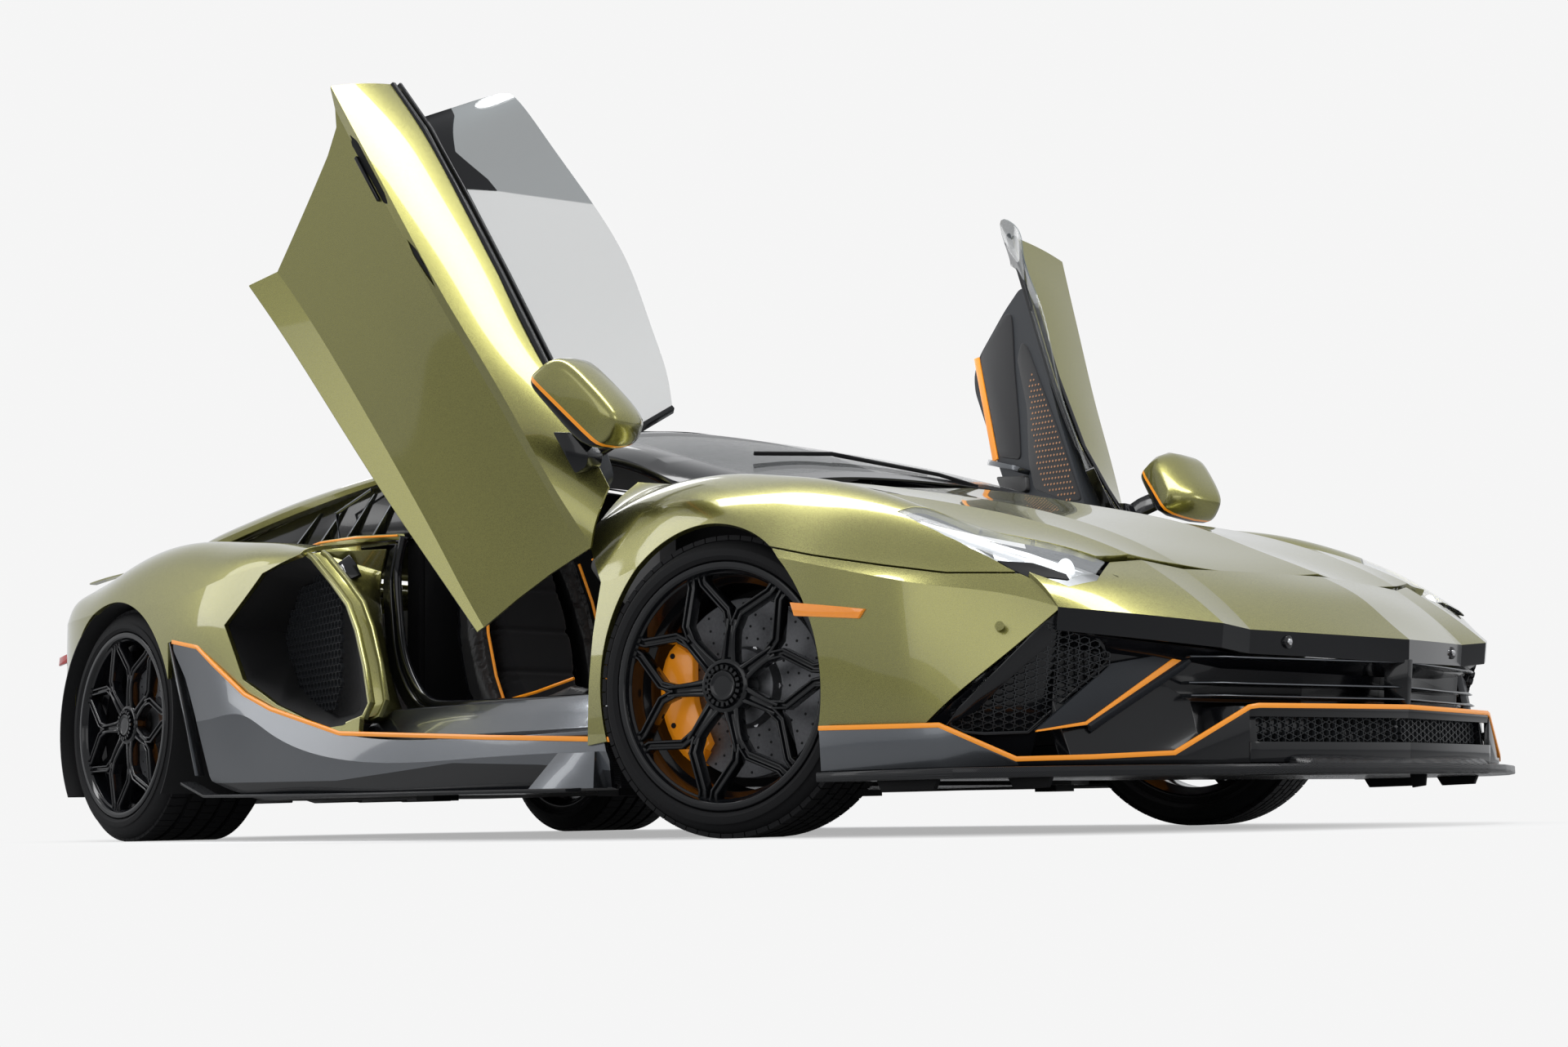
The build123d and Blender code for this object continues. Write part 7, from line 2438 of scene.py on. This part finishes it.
    def diffuser(self) -> None:
        """The diffuser with six curved fins."""
        maker = Maker()
        maker.loft([[(x, y, z) for y, z in ((-630, low), (-630, low + 12), (630, low + 12), (630, low))]
                    for x, low in ((-1800, 126), (-1950, 138), (-2120, 190), (-2260, 250), (-2364, 290))])
        for y in (-520, -330, -140, 140, 330, 520):
            maker.prism([(-1830, 140), (-1840, 116), (-2150, 116), (-2340, 150), (-2366, 200), (-2366, 296),
                         (-2250, 256), (-2100, 190)],
                        View.SIDE, y - 4, y + 4)
        settle(maker.object("diffuser_blades", [Kit.CARBON], bevel=1.5), Body.ROOT, "carbon", "diffuser")




@dataclass(frozen=True)
class SoftBox:
    """A rectangular lamp: where it hangs, its size in metres, its watts and the point that it faces."""

    name: str
    place: Point
    size: tuple[float, float]
    power: float
    aim: Point

    def hang(self) -> None:
        """Put the lamp in the scene."""
        lamp = bpy.data.lights.new(self.name, "AREA")
        lamp.shape = "RECTANGLE"
        lamp.size, lamp.size_y = self.size
        lamp.energy = self.power
        holder = bpy.data.objects.new(self.name, lamp)
        bpy.context.scene.collection.objects.link(holder)
        holder.location = self.place
        holder.rotation_euler = (Vector(self.aim) - Vector(self.place)).to_track_quat("-Z", "Y").to_euler()


@dataclass
class Studio:
    """Pale floor, soft lamps and the camera."""

    boxes: Sequence[SoftBox] = (
        SoftBox("over", (0.6, -0.6, 4.4), (7.5, 1.0), 210, (0.3, 0.0, 0.5)),
        SoftBox("side", (3.6, -7.0, 1.9), (7.5, 2.4), 58, (0.5, 0.0, 0.7)),
        SoftBox("front", (8.5, 1.5, 3.0), (1.4, 2.6), 55, (1.0, 0.0, 0.5)),
        SoftBox("quarter", (-5.5, -5.0, 3.2), (1.0, 4.5), 42, (-0.6, -0.6, 0.9)),
        SoftBox("back", (-6.5, 3.5, 3.0), (2.0, 5.0), 50, (-1.0, 0.0, 0.6)))

    eye: Point = (4.947, -4.142, 0.055)  # metres
    turn: float = 47.071  # degrees, as are the next two
    tilt: float = 7.45
    roll: float = -0.999
    lens: float = 50.64  # millimetres, as is the sensor's width
    sensor: float = 36.0
    pale: float = 0.915  # brightness of the backdrop and of the far floor
    floor_gloss: float = 0.08  # shares of the pale floor and backdrop that reflections see
    sky_gloss: float = 0.50
    floor_bounce: float = 0.42  # the floor's own grey, as it lights the car and as it is seen
    floor_grey: float = 0.86
    floor_size: float = 120.0
    floor_stretch: Point = (0.30, 0.55, 1.0)  # squeezes the shaded patch to the car's plan
    shade_ring: tuple[float, float] = (0.50, 0.92)  # where the shaded patch starts and ends to fade
    shade_share: float = 0.45  # glow of the floor inside the patch
    soft_light: float = 0.60
    soft_tint: Quad = (0.93, 0.96, 1.0, 1)

    def build(self) -> None:
        """Make the stage, the light and the camera."""
        self.floor()
        self.sky()
        for box in self.boxes:
            box.hang()
        self.camera()
        bpy.context.scene.view_settings.view_transform = "Standard"

    def white(self, nodes: bpy.types.Nodes, links: bpy.types.NodeLinks, dim: float) -> bpy.types.NodeSocket:
        """Share of the pale background that a ray sees.

        Args:
            nodes: where the nodes go.
            links: their links.
            dim: the share for reflections; straight rays and those through glass see all of it.

        Returns:
            A socket that is 1, dim or 0.
        """
        path = nodes.new("ShaderNodeLightPath")
        straight, mirrored = nodes.new("ShaderNodeMath"), nodes.new("ShaderNodeMath")
        straight.operation, mirrored.operation = "MAXIMUM", "MULTIPLY_ADD"
        links.new(path.outputs["Is Camera Ray"], straight.inputs[0])
        links.new(path.outputs["Is Transmission Ray"], straight.inputs[1])
        links.new(path.outputs["Is Glossy Ray"], mirrored.inputs[0])
        mirrored.inputs[1].default_value = dim
        mirrored.use_clamp = True
        links.new(straight.outputs["Value"], mirrored.inputs[2])
        return mirrored.outputs["Value"]

    def floor(self) -> None:
        """A wide pale floor that keeps the shadow near the car and fades into the backdrop."""
        material = bpy.data.materials.new("studio_floor")
        material.use_nodes = True
        nodes, links = material.node_tree.nodes, material.node_tree.links
        nodes.clear()
        end = nodes.new("ShaderNodeOutputMaterial")
        matt = nodes.new("ShaderNodeBsdfDiffuse")
        seen = nodes.new("ShaderNodeLightPath")
        grey = nodes.new("ShaderNodeMapRange")
        grey.inputs["To Min"].default_value = self.floor_bounce
        grey.inputs["To Max"].default_value = self.floor_grey
        links.new(seen.outputs["Is Camera Ray"], grey.inputs["Value"])
        links.new(grey.outputs["Result"], matt.inputs["Color"])
        light = nodes.new("ShaderNodeEmission")
        light.inputs["Color"].default_value = (self.pale,) * 3 + (1,)
        place = nodes.new("ShaderNodeTexCoord")
        flat = nodes.new("ShaderNodeMapping")
        flat.inputs["Scale"].default_value = self.floor_stretch
        links.new(place.outputs["Object"], flat.inputs["Vector"])
        far = nodes.new("ShaderNodeVectorMath")
        far.operation = "LENGTH"
        links.new(flat.outputs["Vector"], far.inputs[0])
        ramp = nodes.new("ShaderNodeMapRange")
        ramp.interpolation_type = "SMOOTHSTEP"
        ramp.inputs["From Min"].default_value, ramp.inputs["From Max"].default_value = self.shade_ring
        ramp.inputs["To Min"].default_value = self.shade_share
        links.new(far.outputs["Value"], ramp.inputs["Value"])
        both = nodes.new("ShaderNodeMath")
        both.operation = "MULTIPLY"
        links.new(ramp.outputs["Result"], both.inputs[0])
        links.new(self.white(nodes, links, self.floor_gloss), both.inputs[1])
        mix = nodes.new("ShaderNodeMixShader")
        links.new(both.outputs["Value"], mix.inputs["Fac"])
        links.new(matt.outputs["BSDF"], mix.inputs[1])
        links.new(light.outputs["Emission"], mix.inputs[2])
        links.new(mix.outputs["Shader"], end.inputs["Surface"])
        bpy.ops.mesh.primitive_plane_add(size=self.floor_size)
        plane = bpy.context.active_object
        plane.name = "studio_floor"
        plane.data.materials.append(material)

    def sky(self) -> None:
        """A world that lights softly and shows as a pale backdrop."""
        world = bpy.data.worlds.new("studio")
        bpy.context.scene.world = world
        world.use_nodes = True
        nodes, links = world.node_tree.nodes, world.node_tree.links
        nodes.clear()
        end = nodes.new("ShaderNodeOutputWorld")
        soft, back = nodes.new("ShaderNodeBackground"), nodes.new("ShaderNodeBackground")
        soft.inputs["Color"].default_value = self.soft_tint
        soft.inputs["Strength"].default_value = self.soft_light
        back.inputs["Color"].default_value = (self.pale,) * 3 + (1,)
        back.inputs["Strength"].default_value = 1.0
        mix = nodes.new("ShaderNodeMixShader")
        links.new(self.white(nodes, links, self.sky_gloss), mix.inputs["Fac"])
        links.new(soft.outputs["Background"], mix.inputs[1])
        links.new(back.outputs["Background"], mix.inputs[2])
        links.new(mix.outputs["Shader"], end.inputs["Surface"])

    def camera(self) -> None:
        """The camera, just above the floor off the right front corner."""
        azimuth, elevation, roll = (math.radians(v) for v in (self.turn, self.tilt, self.roll))
        ahead = Vector((-math.sin(azimuth) * math.cos(elevation), math.cos(azimuth) * math.cos(elevation),
                        math.sin(elevation)))
        right = ahead.cross(Vector((0, 0, 1))).normalized()
        over = right.cross(ahead)
        leant = right * math.cos(roll) + over * math.sin(roll)
        top = over * math.cos(roll) - right * math.sin(roll)
        data = bpy.data.cameras.new("camera")
        data.lens = self.lens
        data.sensor_width = self.sensor
        data.sensor_fit = "HORIZONTAL"
        holder = bpy.data.objects.new("camera", data)
        bpy.context.scene.collection.objects.link(holder)
        holder.matrix_world = Matrix((leant, top, -ahead)).transposed().to_4x4()
        holder.location = self.eye
        bpy.context.scene.camera = holder


def dress_frame() -> None:
    """Give every CAD node that shows its finish."""
    finishes = dict(tub=Kit.CARBON, bulkheads=Kit.MATT, subframes=Kit.MATT, jack_pads=Kit.MATT,
                    luggage_tub=Kit.MATT, engine_block=Kit.ALLOY, underbody=Kit.MATT,
                    suspension_arms=Kit.ALLOY, knuckle_right=Kit.ALLOY, knuckle_left=Kit.ALLOY)
    for name, node in frame["nodes"].items():
        finish = finishes.get(name, Kit.MATT)
        node.data.materials.clear()
        node.data.materials.append(finish.build())


def main() -> None:
    """Dress the frame, build the car's pieces in order, then the studio."""
    dress_frame()
    for assembly in ASSEMBLIES:
        LOG.info("-- %s", type(assembly).__name__)
        assembly.build()
    Studio().build()


ASSEMBLIES = (FrontBody(), FrontFascia(), Lamps(), Wheels(), Doors(), Cabin(), RearBody())

if __name__ == "__main__":
    main()
